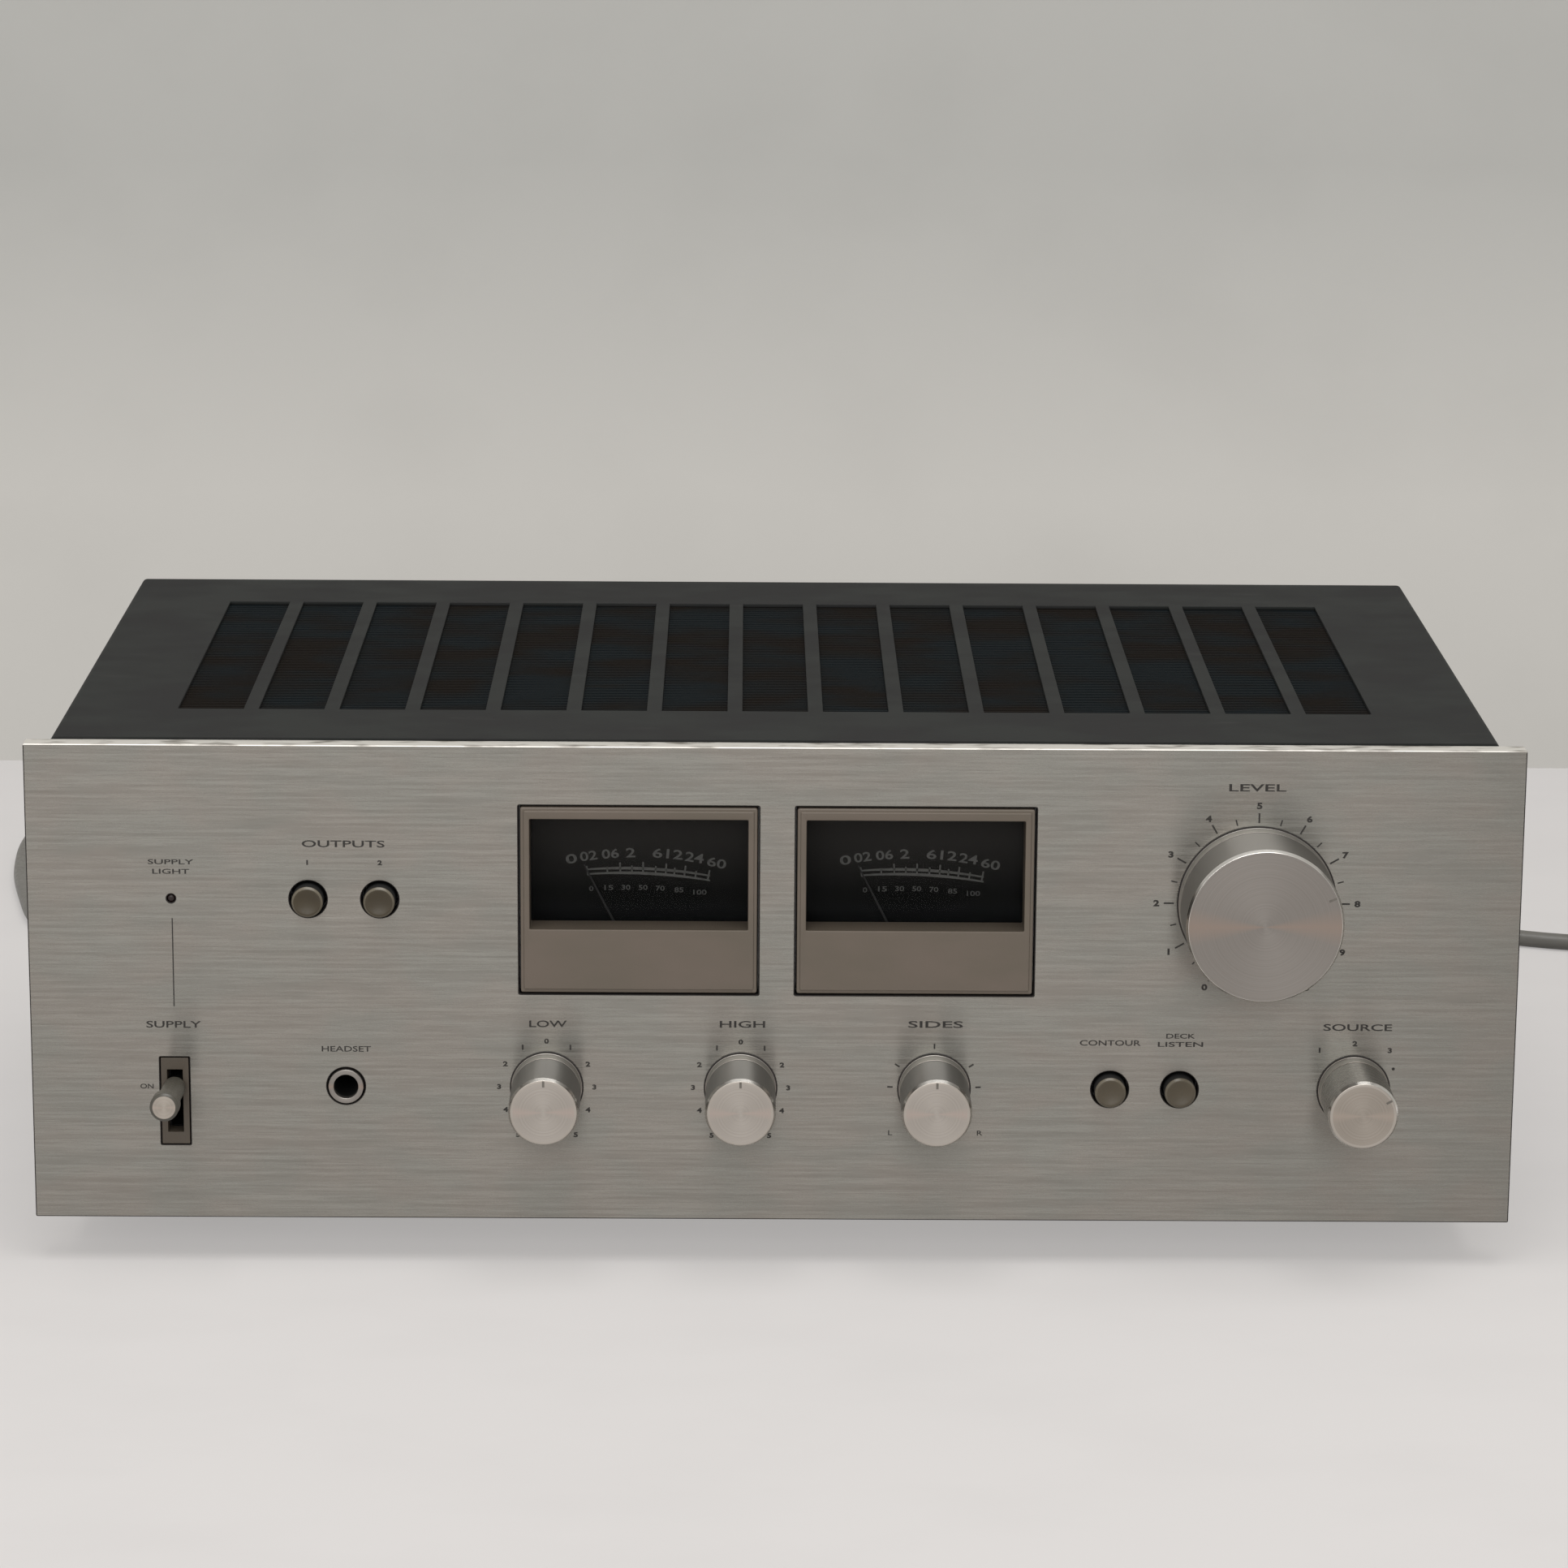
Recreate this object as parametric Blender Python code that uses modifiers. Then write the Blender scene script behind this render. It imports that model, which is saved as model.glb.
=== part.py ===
"""Integrated amplifier with two power meters, built as the separate pieces it comes apart into.

Blender 4.5, metres, +Z up. +X is the listener's right, the front panel faces -Y, and the origin
is the middle of the base, on the surface that the feet stand on.
"""

import math

import bmesh
import bpy
from mathutils import Matrix, Vector

MM = 0.001

# Fits shared by every piece
SEAT_GAP = 0.3 * MM
OVERRUN = 2.0 * MM
WELD_DISTANCE = 0.01 * MM

# Case
PANEL_WIDTH = 380.0 * MM
PANEL_HEIGHT = 125.2 * MM
PANEL_THICKNESS = 5.5 * MM
PANEL_CLEARANCE = 12.0 * MM
PANEL_CORNER_RADIUS = 0.8 * MM
SUBPANEL_THICKNESS = 1.2 * MM
COVER_INSET = 6.1 * MM
COVER_RISE = 0.5 * MM
COVER_REAR_DEPTH = 209.4 * MM
COVER_WALL = 1.0 * MM
COVER_BEND_RADIUS = 1.6 * MM
COVER_LIFT = 2.0 * MM
PAN_LIFT = 3.0 * MM
PAN_WALL = 1.2 * MM
PAN_LIP_HEIGHT = 12.0 * MM
REAR_PANEL_THICKNESS = 1.2 * MM
REAR_PANEL_INSET = 1.0 * MM

# Air vents in the cover and in the pan
VENT_WIDTH = 17.0 * MM
VENT_BAR = 3.93 * MM
VENT_SIDE_MARGIN = 28.7 * MM
VENT_FRONT_DEPTH = 39.0 * MM
VENT_LENGTH = 138.3 * MM
VENT_SLOT_PITCH = 17.74 * MM
VENT_RIB = 3.6 * MM
PAN_SLOT_LENGTH = 26.0 * MM
PAN_SLOT_WIDTH = 4.0 * MM
PAN_SLOT_PITCH = 13.0 * MM

# Feet
FOOT_TOP_RADIUS = 12.0 * MM
FOOT_BOTTOM_RADIUS = 10.5 * MM
FOOT_RECESS_RADIUS = 4.0 * MM
FOOT_RECESS_DEPTH = 6.0 * MM
FOOT_SIDE_MARGIN = 33.7 * MM
FOOT_FRONT_DEPTH = 51.0 * MM
FOOT_REAR_MARGIN = 24.0 * MM

# Rows and places of the controls on the front panel
UPPER_ROW_HEIGHT = 85.0 * MM
LOWER_ROW_HEIGHT = 35.5 * MM
VOLUME_FROM_RIGHT = 67.4 * MM
FUNCTION_FROM_RIGHT = 41.2 * MM
MONITOR_FROM_RIGHT = 85.9 * MM
LOUDNESS_FROM_RIGHT = 103.8 * MM
SPEAKER_A_FROM_LEFT = 71.4 * MM
SPEAKER_B_FROM_LEFT = 89.6 * MM
PHONES_FROM_LEFT = 80.4 * MM
POWER_FROM_LEFT = 36.6 * MM
BASS_X = -58.2 * MM
TREBLE_X = -8.5 * MM
BALANCE_X = 41.1 * MM

# Knobs, their shafts and the controls behind them
VOLUME_KNOB_RADIUS = 19.85 * MM
VOLUME_KNOB_LENGTH = 22.4 * MM
SMALL_KNOB_RADIUS = 8.95 * MM
SMALL_KNOB_LENGTH = 21.8 * MM
KNOB_STANDOFF = 0.5 * MM
KNOB_CHAMFER = 0.8 * MM
KNOB_SKIRT_HEIGHT = 2.0 * MM
KNOB_SKIRT_STEP = 0.7 * MM
KNOB_BORE_DEPTH = 12.0 * MM
SHAFT_RADIUS = 3.0 * MM
SHAFT_REACH = 6.0 * MM
BUSHING_RADIUS = 4.2 * MM
BUSHING_PROUD = 1.5 * MM
CONTROL_RADIUS = 12.0 * MM
CONTROL_LENGTH = 13.0 * MM
VOLUME_CONTROL_LENGTH = 22.0 * MM
FUNCTION_SWITCH_RADIUS = 14.0 * MM
FUNCTION_SWITCH_LENGTH = 27.0 * MM

# Push buttons and their switches
BUTTON_RADIUS = 4.15 * MM
BUTTON_HOLE_RADIUS = 4.75 * MM
BUTTON_PROUD = 3.6 * MM
BUTTON_LENGTH = 16.0 * MM
BUTTON_CHAMFER = 0.6 * MM
BUTTON_TRAVEL = 3.0 * MM
SWITCH_BANK_HEIGHT = 18.0 * MM
SWITCH_BANK_DEPTH = 30.0 * MM
SWITCH_BANK_MARGIN = 8.0 * MM

# Phones socket and power indicator
PHONES_RING_RADIUS = 4.5 * MM
PHONES_BORE_RADIUS = 3.15 * MM
PHONES_BORE_DEPTH = 30.0 * MM
PHONES_BODY_RADIUS = 8.0 * MM
PHONES_BODY_WALL = 2.4 * MM
PHONES_PROUD = 0.7 * MM
INDICATOR_RADIUS = 1.15 * MM
INDICATOR_FLANGE_RADIUS = 2.4 * MM
INDICATOR_LENGTH = 14.0 * MM

# Power lever, its slot and its switch
LEVER_SLOT_WIDTH = 4.0 * MM
LEVER_SLOT_HEIGHT = 16.7 * MM
SLOT_BEZEL_WIDTH = 7.5 * MM
SLOT_BEZEL_HEIGHT = 23.5 * MM
SLOT_HEIGHT = 31.3 * MM
LEVER_PIVOT_DEPTH = 45.0 * MM
LEVER_REACH = 25.5 * MM
LEVER_BLADE_WIDTH = 3.2 * MM
LEVER_BLADE_HEIGHT = 4.0 * MM
LEVER_STEM_RADIUS = 2.85 * MM
LEVER_TIP_RADIUS = 3.65 * MM
LEVER_TIP_LENGTH = 5.5 * MM
LEVER_TIP_CHAMFER = 0.5 * MM
LEVER_STEM_START = 1.6 * MM
LEVER_HUB_RADIUS = 3.6 * MM
LEVER_TILT = math.radians(4.9)
SWITCH_WALL = 3.0 * MM
SWITCH_REAR_DEPTH = 56.0 * MM

# Power meters
METER_LEFT_X = -34.6 * MM
METER_RIGHT_X = 35.7 * MM
METER_WIDTH = 60.0 * MM
METER_HEIGHT = 48.5 * MM
METER_GAP = 0.6 * MM
METER_PROUD = 0.4 * MM
METER_BEZEL_REAR = 9.0 * MM
METER_WINDOW_WIDTH = 55.5 * MM
METER_WINDOW_HEIGHT = 28.9 * MM
METER_CHIN_HEIGHT = 16.6 * MM
METER_GLASS_LAP = 1.0 * MM
METER_GLASS_THICKNESS = 1.0 * MM
METER_CASE_LAP = 1.7 * MM
METER_CASE_WALL = 2.5 * MM
METER_CASE_REAR = 38.0 * MM
METER_DIAL_DEPTH = 14.5 * MM
METER_SKIRT = 5.0 * MM
NEEDLE_LENGTH = 31.5 * MM
NEEDLE_WIDTH = 0.7 * MM
NEEDLE_THICKNESS = 0.5 * MM
NEEDLE_HUB_RADIUS = 2.2 * MM
NEEDLE_HUB_LENGTH = 2.0 * MM
NEEDLE_TAIL = 4.0 * MM
NEEDLE_PIVOT_RISE = 2.5 * MM
NEEDLE_REST = math.radians(27.0)
PIVOT_BOSS_RADIUS = 1.4 * MM

# Mains transformer
CORE_WIDTH = 66.0 * MM
CORE_DEPTH = 34.0 * MM
CORE_HEIGHT = 56.0 * MM
CORE_LEG = 11.0 * MM
WINDING_GAP = 0.4 * MM
WINDING_BULGE = 10.0 * MM
CORE_FROM_LEFT = 56.0 * MM
CORE_CENTRE_DEPTH = 140.0 * MM

# Circuit boards and what they carry
BOARD_THICKNESS = 1.6 * MM
BOARD_LEFT_X = -75.0 * MM
BOARD_RIGHT_X = 92.0 * MM
BOARD_FRONT_DEPTH = 62.0 * MM
BOARD_REAR_DEPTH = 190.0 * MM
BOARD_EDGE_MARGIN = 7.0 * MM
BOSS_RADIUS = 3.0 * MM
BOSS_HEIGHT = 8.0 * MM
TONE_BOARD_HEIGHT = 34.0 * MM
TONE_BOARD_MARGIN = 16.0 * MM
CAPACITOR_RADIUS = 12.5 * MM
CAPACITOR_HEIGHT = 46.0 * MM
CAPACITOR_RIM = 1.2 * MM
CAPACITOR_X = -50.0 * MM
CAPACITOR_FRONT_DEPTH = 92.0 * MM
CAPACITOR_SPACING = 32.0 * MM

# Heat sink and the two power modules on it
SINK_X = 106.0 * MM
SINK_FRONT_DEPTH = 64.0 * MM
SINK_LENGTH = 128.0 * MM
SINK_BASE = 3.5 * MM
SINK_FIN_LENGTH = 34.0 * MM
SINK_FIN_THICKNESS = 1.8 * MM
SINK_FIN_COUNT = 13
SINK_HEIGHT = 62.0 * MM
MODULE_THICKNESS = 8.0 * MM
MODULE_LENGTH = 34.0 * MM
MODULE_HEIGHT = 24.0 * MM
MODULE_LIFT = 24.0 * MM
MODULE_MARGIN = 14.0 * MM

# Rear sockets and terminals
JACK_COLUMNS = 5
JACK_ROWS = 2
JACK_PITCH_X = 20.0 * MM
JACK_PITCH_Z = 22.0 * MM
JACK_RADIUS = 4.2 * MM
JACK_BORE_RADIUS = 1.9 * MM
JACK_PROUD = 8.5 * MM
JACK_TAIL = 4.0 * MM
JACK_PLATE_THICKNESS = 1.6 * MM
JACK_PLATE_MARGIN = 8.0 * MM
JACKS_FROM_RIGHT = 38.0 * MM
JACKS_HEIGHT = 74.0 * MM
TERMINAL_COLUMNS = 4
TERMINAL_ROWS = 2
TERMINAL_PITCH = 19.0 * MM
TERMINAL_MARGIN = 4.0 * MM
TERMINAL_BASE = 7.2 * MM
TERMINAL_REACH = 11.0 * MM
TERMINAL_RIB = 1.8 * MM
TERMINAL_SCREW_RADIUS = 3.6 * MM
TERMINAL_SCREW_HEIGHT = 2.4 * MM
TERMINALS_X = -40.0 * MM
TERMINALS_HEIGHT = 50.0 * MM
GROUND_FROM_RIGHT = 20.0 * MM
GROUND_NUT_RADIUS = 4.5 * MM
GROUND_NUT_LENGTH = 7.0 * MM
GROUND_STUD_RADIUS = 1.6 * MM
GROUND_STUD_LENGTH = 9.0 * MM

# Mains cord, its strain relief and its plug
CORD_DIAMETER = 5.2 * MM
CORD_EXIT_FROM_LEFT = 40.0 * MM
CORD_EXIT_HEIGHT = 22.5 * MM
RELIEF_FLANGE_RADIUS = 6.6 * MM
RELIEF_NECK_RADIUS = 4.8 * MM
RELIEF_TIP_RADIUS = 3.6 * MM
RELIEF_FLANGE = 2.4 * MM
RELIEF_LENGTH = 26.0 * MM
CORD_POINT_SPACING = 12.8 * MM
COIL_TURNS = 5.25
COIL_POINTS_PER_TURN = 24
COIL_TURN_GAP = 0.6 * MM
COIL_MIDDLE_RADIUS = 30.0 * MM
COIL_LEAD = 8.0 * MM
COIL_TAIL = 22.0 * MM
COIL_CENTRE = (300.0 * MM, 168.0 * MM)
CORD_LIFT = 0.1 * MM
LEAST_COIL_GAP = 0.4 * MM
PLUG_WIDTH = 34.0 * MM
PLUG_LENGTH = 36.0 * MM
PLUG_NECK_WIDTH = 12.0 * MM
PLUG_SHOULDER = 12.0 * MM
PLUG_EDGE = 1.2 * MM
PIN_RADIUS = 2.0 * MM
PIN_LENGTH = 19.0 * MM
PIN_SPACING = 19.0 * MM
PIN_ROOT = 3.0 * MM

# The free cord's way over the table, between its straight ends: x, y and height
CORD_ROUTE = (
    (-150.5 * MM, 156.5 * MM, 31.4 * MM),
    (-152.4 * MM, 169.5 * MM, 21.0 * MM),
    (-157.0 * MM, 182.5 * MM, 9.4 * MM),
    (-167.5 * MM, 193.0 * MM, 3.4 * MM),
    (-184.0 * MM, 200.5 * MM, 2.7 * MM),
    (-206.0 * MM, 207.5 * MM, 2.7 * MM),
    (-224.0 * MM, 217.0 * MM, 2.7 * MM),
    (-234.5 * MM, 231.5 * MM, 2.7 * MM),
    (-241.5 * MM, 258.0 * MM, 2.7 * MM),
    (-247.6 * MM, 291.0 * MM, 2.7 * MM),
    (-250.2 * MM, 328.0 * MM, 2.7 * MM),
    (-246.5 * MM, 365.0 * MM, 2.7 * MM),
    (-233.0 * MM, 395.0 * MM, 2.7 * MM),
    (-208.0 * MM, 414.0 * MM, 2.7 * MM),
    (-172.0 * MM, 418.0 * MM, 2.7 * MM),
    (-128.0 * MM, 407.0 * MM, 2.7 * MM),
    (-70.0 * MM, 382.0 * MM, 2.7 * MM),
    (0.0, 353.0 * MM, 2.7 * MM),
    (80.0 * MM, 320.0 * MM, 2.7 * MM),
    (146.0 * MM, 283.0 * MM, 2.7 * MM),
    (197.0 * MM, 242.0 * MM, 2.7 * MM),
    (222.0 * MM, 225.0 * MM, 2.7 * MM),
    (240.3 * MM, 215.8 * MM, 2.7 * MM),
    (257.0 * MM, 210.6 * MM, 2.7 * MM),
    (275.0 * MM, 207.8 * MM, 2.7 * MM),
)

# Sides of the round pieces
KNOB_SIDES = 36
ROUND_SIDES = 24
SMALL_SIDES = 12
HOLE_SIDES = 24

# The way that local +Z of a turned piece or a plate points
UPWARD = (0.0, 0.0, 0.0)
FORWARD = (math.pi / 2, 0.0, 0.0)
BACKWARD = (-math.pi / 2, 0.0, 0.0)

# Finishes: colour, roughness, metallic
BRUSHED_ALUMINIUM = ((0.30, 0.285, 0.26), 0.34, 1.0)
SPUN_ALUMINIUM = ((0.52, 0.51, 0.49), 0.28, 1.0)
PAINTED_STEEL = ((0.028, 0.029, 0.029), 0.5, 0.0)
PLATED_STEEL = ((0.45, 0.44, 0.40), 0.38, 1.0)
TAUPE_PLASTIC = ((0.155, 0.13, 0.105), 0.5, 0.0)
BUTTON_PLASTIC = ((0.17, 0.15, 0.125), 0.42, 0.0)
BLACK_PLASTIC = ((0.014, 0.014, 0.014), 0.45, 0.0)
CLEAR_PLASTIC = ((0.75, 0.78, 0.78), 0.06, 0.0)
NEEDLE_PAINT = ((0.55, 0.52, 0.46), 0.5, 0.0)
BLACK_RUBBER = ((0.02, 0.02, 0.02), 0.75, 0.0)
LAMINATED_IRON = ((0.12, 0.11, 0.10), 0.55, 1.0)
WINDING_TAPE = ((0.52, 0.36, 0.09), 0.55, 0.0)
BOARD_RESIN = ((0.26, 0.15, 0.05), 0.55, 0.0)
CAPACITOR_SLEEVE = ((0.03, 0.07, 0.16), 0.35, 0.0)
SINK_ALUMINIUM = ((0.10, 0.10, 0.10), 0.45, 1.0)
CORD_PLASTIC = ((0.30, 0.30, 0.29), 0.55, 0.0)
NICKEL = ((0.60, 0.57, 0.52), 0.25, 1.0)
RED_LAMP = ((0.10, 0.012, 0.010), 0.25, 0.0)

# Places worked out from the sizes above
HALF_WIDTH = PANEL_WIDTH / 2
SUBPANEL_FRONT = PANEL_THICKNESS + SEAT_GAP
SUBPANEL_REAR = SUBPANEL_FRONT + SUBPANEL_THICKNESS
BEHIND_SUBPANEL = SUBPANEL_REAR + SEAT_GAP
COVER_HALF_WIDTH = HALF_WIDTH - COVER_INSET
INNER_HALF_WIDTH = COVER_HALF_WIDTH - COVER_WALL - SEAT_GAP
COVER_TOP = PANEL_HEIGHT + COVER_RISE
INNER_TOP = COVER_TOP - COVER_WALL - SEAT_GAP
REAR_OUTSIDE = COVER_REAR_DEPTH - REAR_PANEL_INSET
REAR_INSIDE = REAR_OUTSIDE - REAR_PANEL_THICKNESS
PAN_REAR = REAR_INSIDE - SEAT_GAP
PAN_FLOOR = PAN_LIFT + PAN_WALL
BOARD_BOTTOM = PAN_FLOOR + BOSS_HEIGHT + SEAT_GAP
BOARD_TOP = BOARD_BOTTOM + BOARD_THICKNESS
TERMINAL_BACK = REAR_OUTSIDE + TERMINAL_REACH
LEVER_LENGTH = (LEVER_PIVOT_DEPTH + LEVER_REACH) / math.cos(LEVER_TILT)
LEVER_FRONT = (
    LEVER_LENGTH * math.cos(LEVER_TILT)
    + (LEVER_TIP_RADIUS - LEVER_TIP_CHAMFER) * math.sin(LEVER_TILT)
    - LEVER_PIVOT_DEPTH
)
PANEL_FRONT_Y = (LEVER_FRONT - TERMINAL_BACK) / 2

VOLUME_X = HALF_WIDTH - VOLUME_FROM_RIGHT
FUNCTION_X = HALF_WIDTH - FUNCTION_FROM_RIGHT
MONITOR_X = HALF_WIDTH - MONITOR_FROM_RIGHT
LOUDNESS_X = HALF_WIDTH - LOUDNESS_FROM_RIGHT
SPEAKER_A_X = SPEAKER_A_FROM_LEFT - HALF_WIDTH
SPEAKER_B_X = SPEAKER_B_FROM_LEFT - HALF_WIDTH
PHONES_X = PHONES_FROM_LEFT - HALF_WIDTH
POWER_X = POWER_FROM_LEFT - HALF_WIDTH
METER_CASE_HEIGHT = METER_HEIGHT + METER_SKIRT + METER_CASE_LAP
METER_CASE_HALF_WIDTH = METER_WIDTH / 2 + METER_CASE_LAP
METER_TOP = UPPER_ROW_HEIGHT + METER_HEIGHT / 2
METER_BOTTOM = UPPER_ROW_HEIGHT - METER_HEIGHT / 2
WINDOW_CENTRE = METER_BOTTOM + METER_CHIN_HEIGHT + METER_WINDOW_HEIGHT / 2
METER_CASE_TOP = METER_TOP + METER_CASE_LAP
METER_CASE_BOTTOM = METER_CASE_TOP - METER_CASE_HEIGHT
METER_CASE_FRONT = METER_BEZEL_REAR + SEAT_GAP
NEEDLE_PIVOT = METER_CASE_BOTTOM + METER_CASE_WALL + NEEDLE_HUB_RADIUS + NEEDLE_PIVOT_RISE
NEEDLE_HUB_REAR = METER_DIAL_DEPTH - 2 * SEAT_GAP
RELIEF_TIP_DEPTH = REAR_OUTSIDE + RELIEF_LENGTH
CORD_X = CORD_EXIT_FROM_LEFT - HALF_WIDTH


def place(x, depth, height):
    """World place from x, the depth behind the panel's face and the height over its bottom edge."""
    return Vector((x, PANEL_FRONT_Y + depth, PANEL_CLEARANCE + height))


def clear_scene():
    for thing in list(bpy.data.objects):
        bpy.data.objects.remove(thing)


def new_group(name):
    group = bpy.data.collections.new(name)
    bpy.context.scene.collection.children.link(group)
    return group


clear_scene()
PARTS = new_group("integrated_amplifier")
TOOLS = new_group("cutters")


# Shapes

def make_material(name, finish):
    colour, roughness, metallic = finish
    material = bpy.data.materials.new(name)
    material.use_nodes = True
    shader = material.node_tree.nodes["Principled BSDF"]
    shader.inputs["Base Color"].default_value = (*colour, 1.0)
    shader.inputs["Roughness"].default_value = roughness
    shader.inputs["Metallic"].default_value = metallic
    return material


def add_part(name, data, finish, origin=(0.0, 0.0, 0.0), turn=UPWARD):
    part = bpy.data.objects.new(name, data)
    part.location = origin
    part.rotation_euler = turn
    part.data.materials.append(make_material(name + "_finish", finish))
    PARTS.objects.link(part)
    return part


def add_tool(name, data, origin=(0.0, 0.0, 0.0), turn=UPWARD):
    """An object that only cuts or joins another one."""
    tool = bpy.data.objects.new(name, data)
    tool.location = origin
    tool.rotation_euler = turn
    tool.hide_render = True
    tool.display_type = "WIRE"
    TOOLS.objects.link(tool)
    return tool


def mesh_from(name, shape):
    mesh = bpy.data.meshes.new(name)
    shape.to_mesh(mesh)
    shape.free()
    return mesh


def add_box(shape, low, high):
    """Adds a box between two corners to a bmesh, and gives back its vertices."""
    low = Vector(low)
    high = Vector(high)
    made = bmesh.ops.create_cube(shape, size=1.0)["verts"]
    bmesh.ops.scale(shape, vec=high - low, verts=made)
    bmesh.ops.translate(shape, vec=(low + high) / 2, verts=made)
    return made


def add_cylinder(shape, base, tip, radius, sides):
    """Adds a closed cylinder between two points to a bmesh."""
    way = Vector(tip) - Vector(base)
    turn = Vector((0.0, 0.0, 1.0)).rotation_difference(way).to_matrix().to_4x4()
    bmesh.ops.create_cone(
        shape,
        cap_ends=True,
        segments=sides,
        radius1=radius,
        radius2=radius,
        depth=way.length,
        matrix=Matrix.Translation((Vector(base) + Vector(tip)) / 2) @ turn,
    )


def box_mesh(name, low, high):
    shape = bmesh.new()
    add_box(shape, low, high)
    return mesh_from(name, shape)


def box(name, low, high, finish):
    return add_part(name, box_mesh(name, low, high), finish)


def profile_mesh(name, profile):
    """An open line of (radius, height) points in the XZ plane, for a Screw modifier."""
    shape = bmesh.new()
    points = [shape.verts.new((radius, 0.0, height)) for radius, height in profile]
    for first, second in zip(points, points[1:]):
        shape.edges.new((first, second))
    return mesh_from(name, shape)


def spin(thing, sides):
    screw = thing.modifiers.new("turning", "SCREW")
    screw.steps = sides
    screw.render_steps = sides
    screw.use_merge_vertices = True
    screw.merge_threshold = WELD_DISTANCE
    weld = thing.modifiers.new("weld", "WELD")
    weld.merge_threshold = WELD_DISTANCE
    return thing


def turned(name, profile, origin, turn, finish, sides=ROUND_SIDES):
    """A turned piece. Its profile runs from the top down the outer side and up any bore."""
    return spin(add_part(name, profile_mesh(name, profile), finish, origin, turn), sides)


def weld_mesh(mesh):
    shape = bmesh.new()
    shape.from_mesh(mesh)
    bmesh.ops.remove_doubles(shape, verts=shape.verts, dist=WELD_DISTANCE)
    shape.to_mesh(mesh)
    shape.free()


def mesh_of_curve(curve_object):
    """The welded mesh of a curve object, which is then removed."""
    bpy.context.view_layer.update()
    evaluated = curve_object.evaluated_get(bpy.context.evaluated_depsgraph_get())
    mesh = bpy.data.meshes.new_from_object(evaluated)
    weld_mesh(mesh)
    bpy.data.objects.remove(curve_object)
    return mesh


def outline_mesh(name, loops, thickness):
    """A flat outline with its holes, thick along local Z, half to each side."""
    curve = bpy.data.curves.new(name, "CURVE")
    curve.dimensions = "2D"
    curve.fill_mode = "BOTH"
    curve.extrude = thickness / 2
    for loop in loops:
        line = curve.splines.new("POLY")
        line.points.add(len(loop) - 1)
        for point, (across, along) in zip(line.points, loop):
            point.co = (across, along, 0.0, 1.0)
        line.use_cyclic_u = True
    guide = bpy.data.objects.new(name + "_outline", curve)
    TOOLS.objects.link(guide)
    return mesh_of_curve(guide)


def upright_plate(name, loops, front, rear, finish):
    """A plate that stands across the case between two depths, its loops in panel places."""
    centre = place(0.0, (front + rear) / 2, 0.0)
    return add_part(name, outline_mesh(name, loops, rear - front), finish, centre, FORWARD)


def level_plate(name, loops, bottom, top, finish):
    """A level plate between two heights, its loops in x and depth."""
    centre = place(0.0, 0.0, (bottom + top) / 2)
    return add_part(name, outline_mesh(name, loops, top - bottom), finish, centre)


def arc(centre, radius, first, last, steps):
    return [
        (
            centre[0] + radius * math.cos(first + (last - first) * step / steps),
            centre[1] + radius * math.sin(first + (last - first) * step / steps),
        )
        for step in range(steps + 1)
    ]


def ring(x, height, radius, sides=HOLE_SIDES):
    return arc((x, height), radius, 0.0, math.tau, sides)[:-1]


def rectangle(x, height, width, tall):
    half_width = width / 2
    half_tall = tall / 2
    return [
        (x - half_width, height - half_tall),
        (x + half_width, height - half_tall),
        (x + half_width, height + half_tall),
        (x - half_width, height + half_tall),
    ]


def rounded_rectangle(x, height, width, tall, radius, steps=2):
    across = width / 2 - radius
    up = tall / 2 - radius
    corners = (
        (x + across, height + up, 0.0),
        (x - across, height + up, math.pi / 2),
        (x - across, height - up, math.pi),
        (x + across, height - up, math.pi * 3 / 2),
    )
    points = []
    for corner_x, corner_height, start in corners:
        points += arc((corner_x, corner_height), radius, start, start + math.pi / 2, steps)
    return points


def apply_tool(part, tool, operation):
    change = part.modifiers.new(tool.name, "BOOLEAN")
    change.operation = operation
    change.object = tool
    change.solver = "EXACT"


def cut(part, tool):
    apply_tool(part, tool, "DIFFERENCE")


def join(part, tool):
    apply_tool(part, tool, "UNION")


def shade_round(part):
    part.data.shade_smooth()
    return part


# Case

def control_places():
    """The five turned controls: name, x, height, knob radius, knob length, body radius, body length."""
    small = (SMALL_KNOB_RADIUS, SMALL_KNOB_LENGTH)
    tone_body = (CONTROL_RADIUS, CONTROL_LENGTH)
    return (
        ("volume", VOLUME_X, UPPER_ROW_HEIGHT, VOLUME_KNOB_RADIUS, VOLUME_KNOB_LENGTH,
         CONTROL_RADIUS, VOLUME_CONTROL_LENGTH),
        ("bass", BASS_X, LOWER_ROW_HEIGHT, *small, *tone_body),
        ("treble", TREBLE_X, LOWER_ROW_HEIGHT, *small, *tone_body),
        ("balance", BALANCE_X, LOWER_ROW_HEIGHT, *small, *tone_body),
        ("function", FUNCTION_X, LOWER_ROW_HEIGHT, *small,
         FUNCTION_SWITCH_RADIUS, FUNCTION_SWITCH_LENGTH),
    )


def button_places():
    return (
        ("speaker_a_button", SPEAKER_A_X, UPPER_ROW_HEIGHT),
        ("speaker_b_button", SPEAKER_B_X, UPPER_ROW_HEIGHT),
        ("loudness_button", LOUDNESS_X, LOWER_ROW_HEIGHT),
        ("tape_monitor_button", MONITOR_X, LOWER_ROW_HEIGHT),
    )


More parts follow.
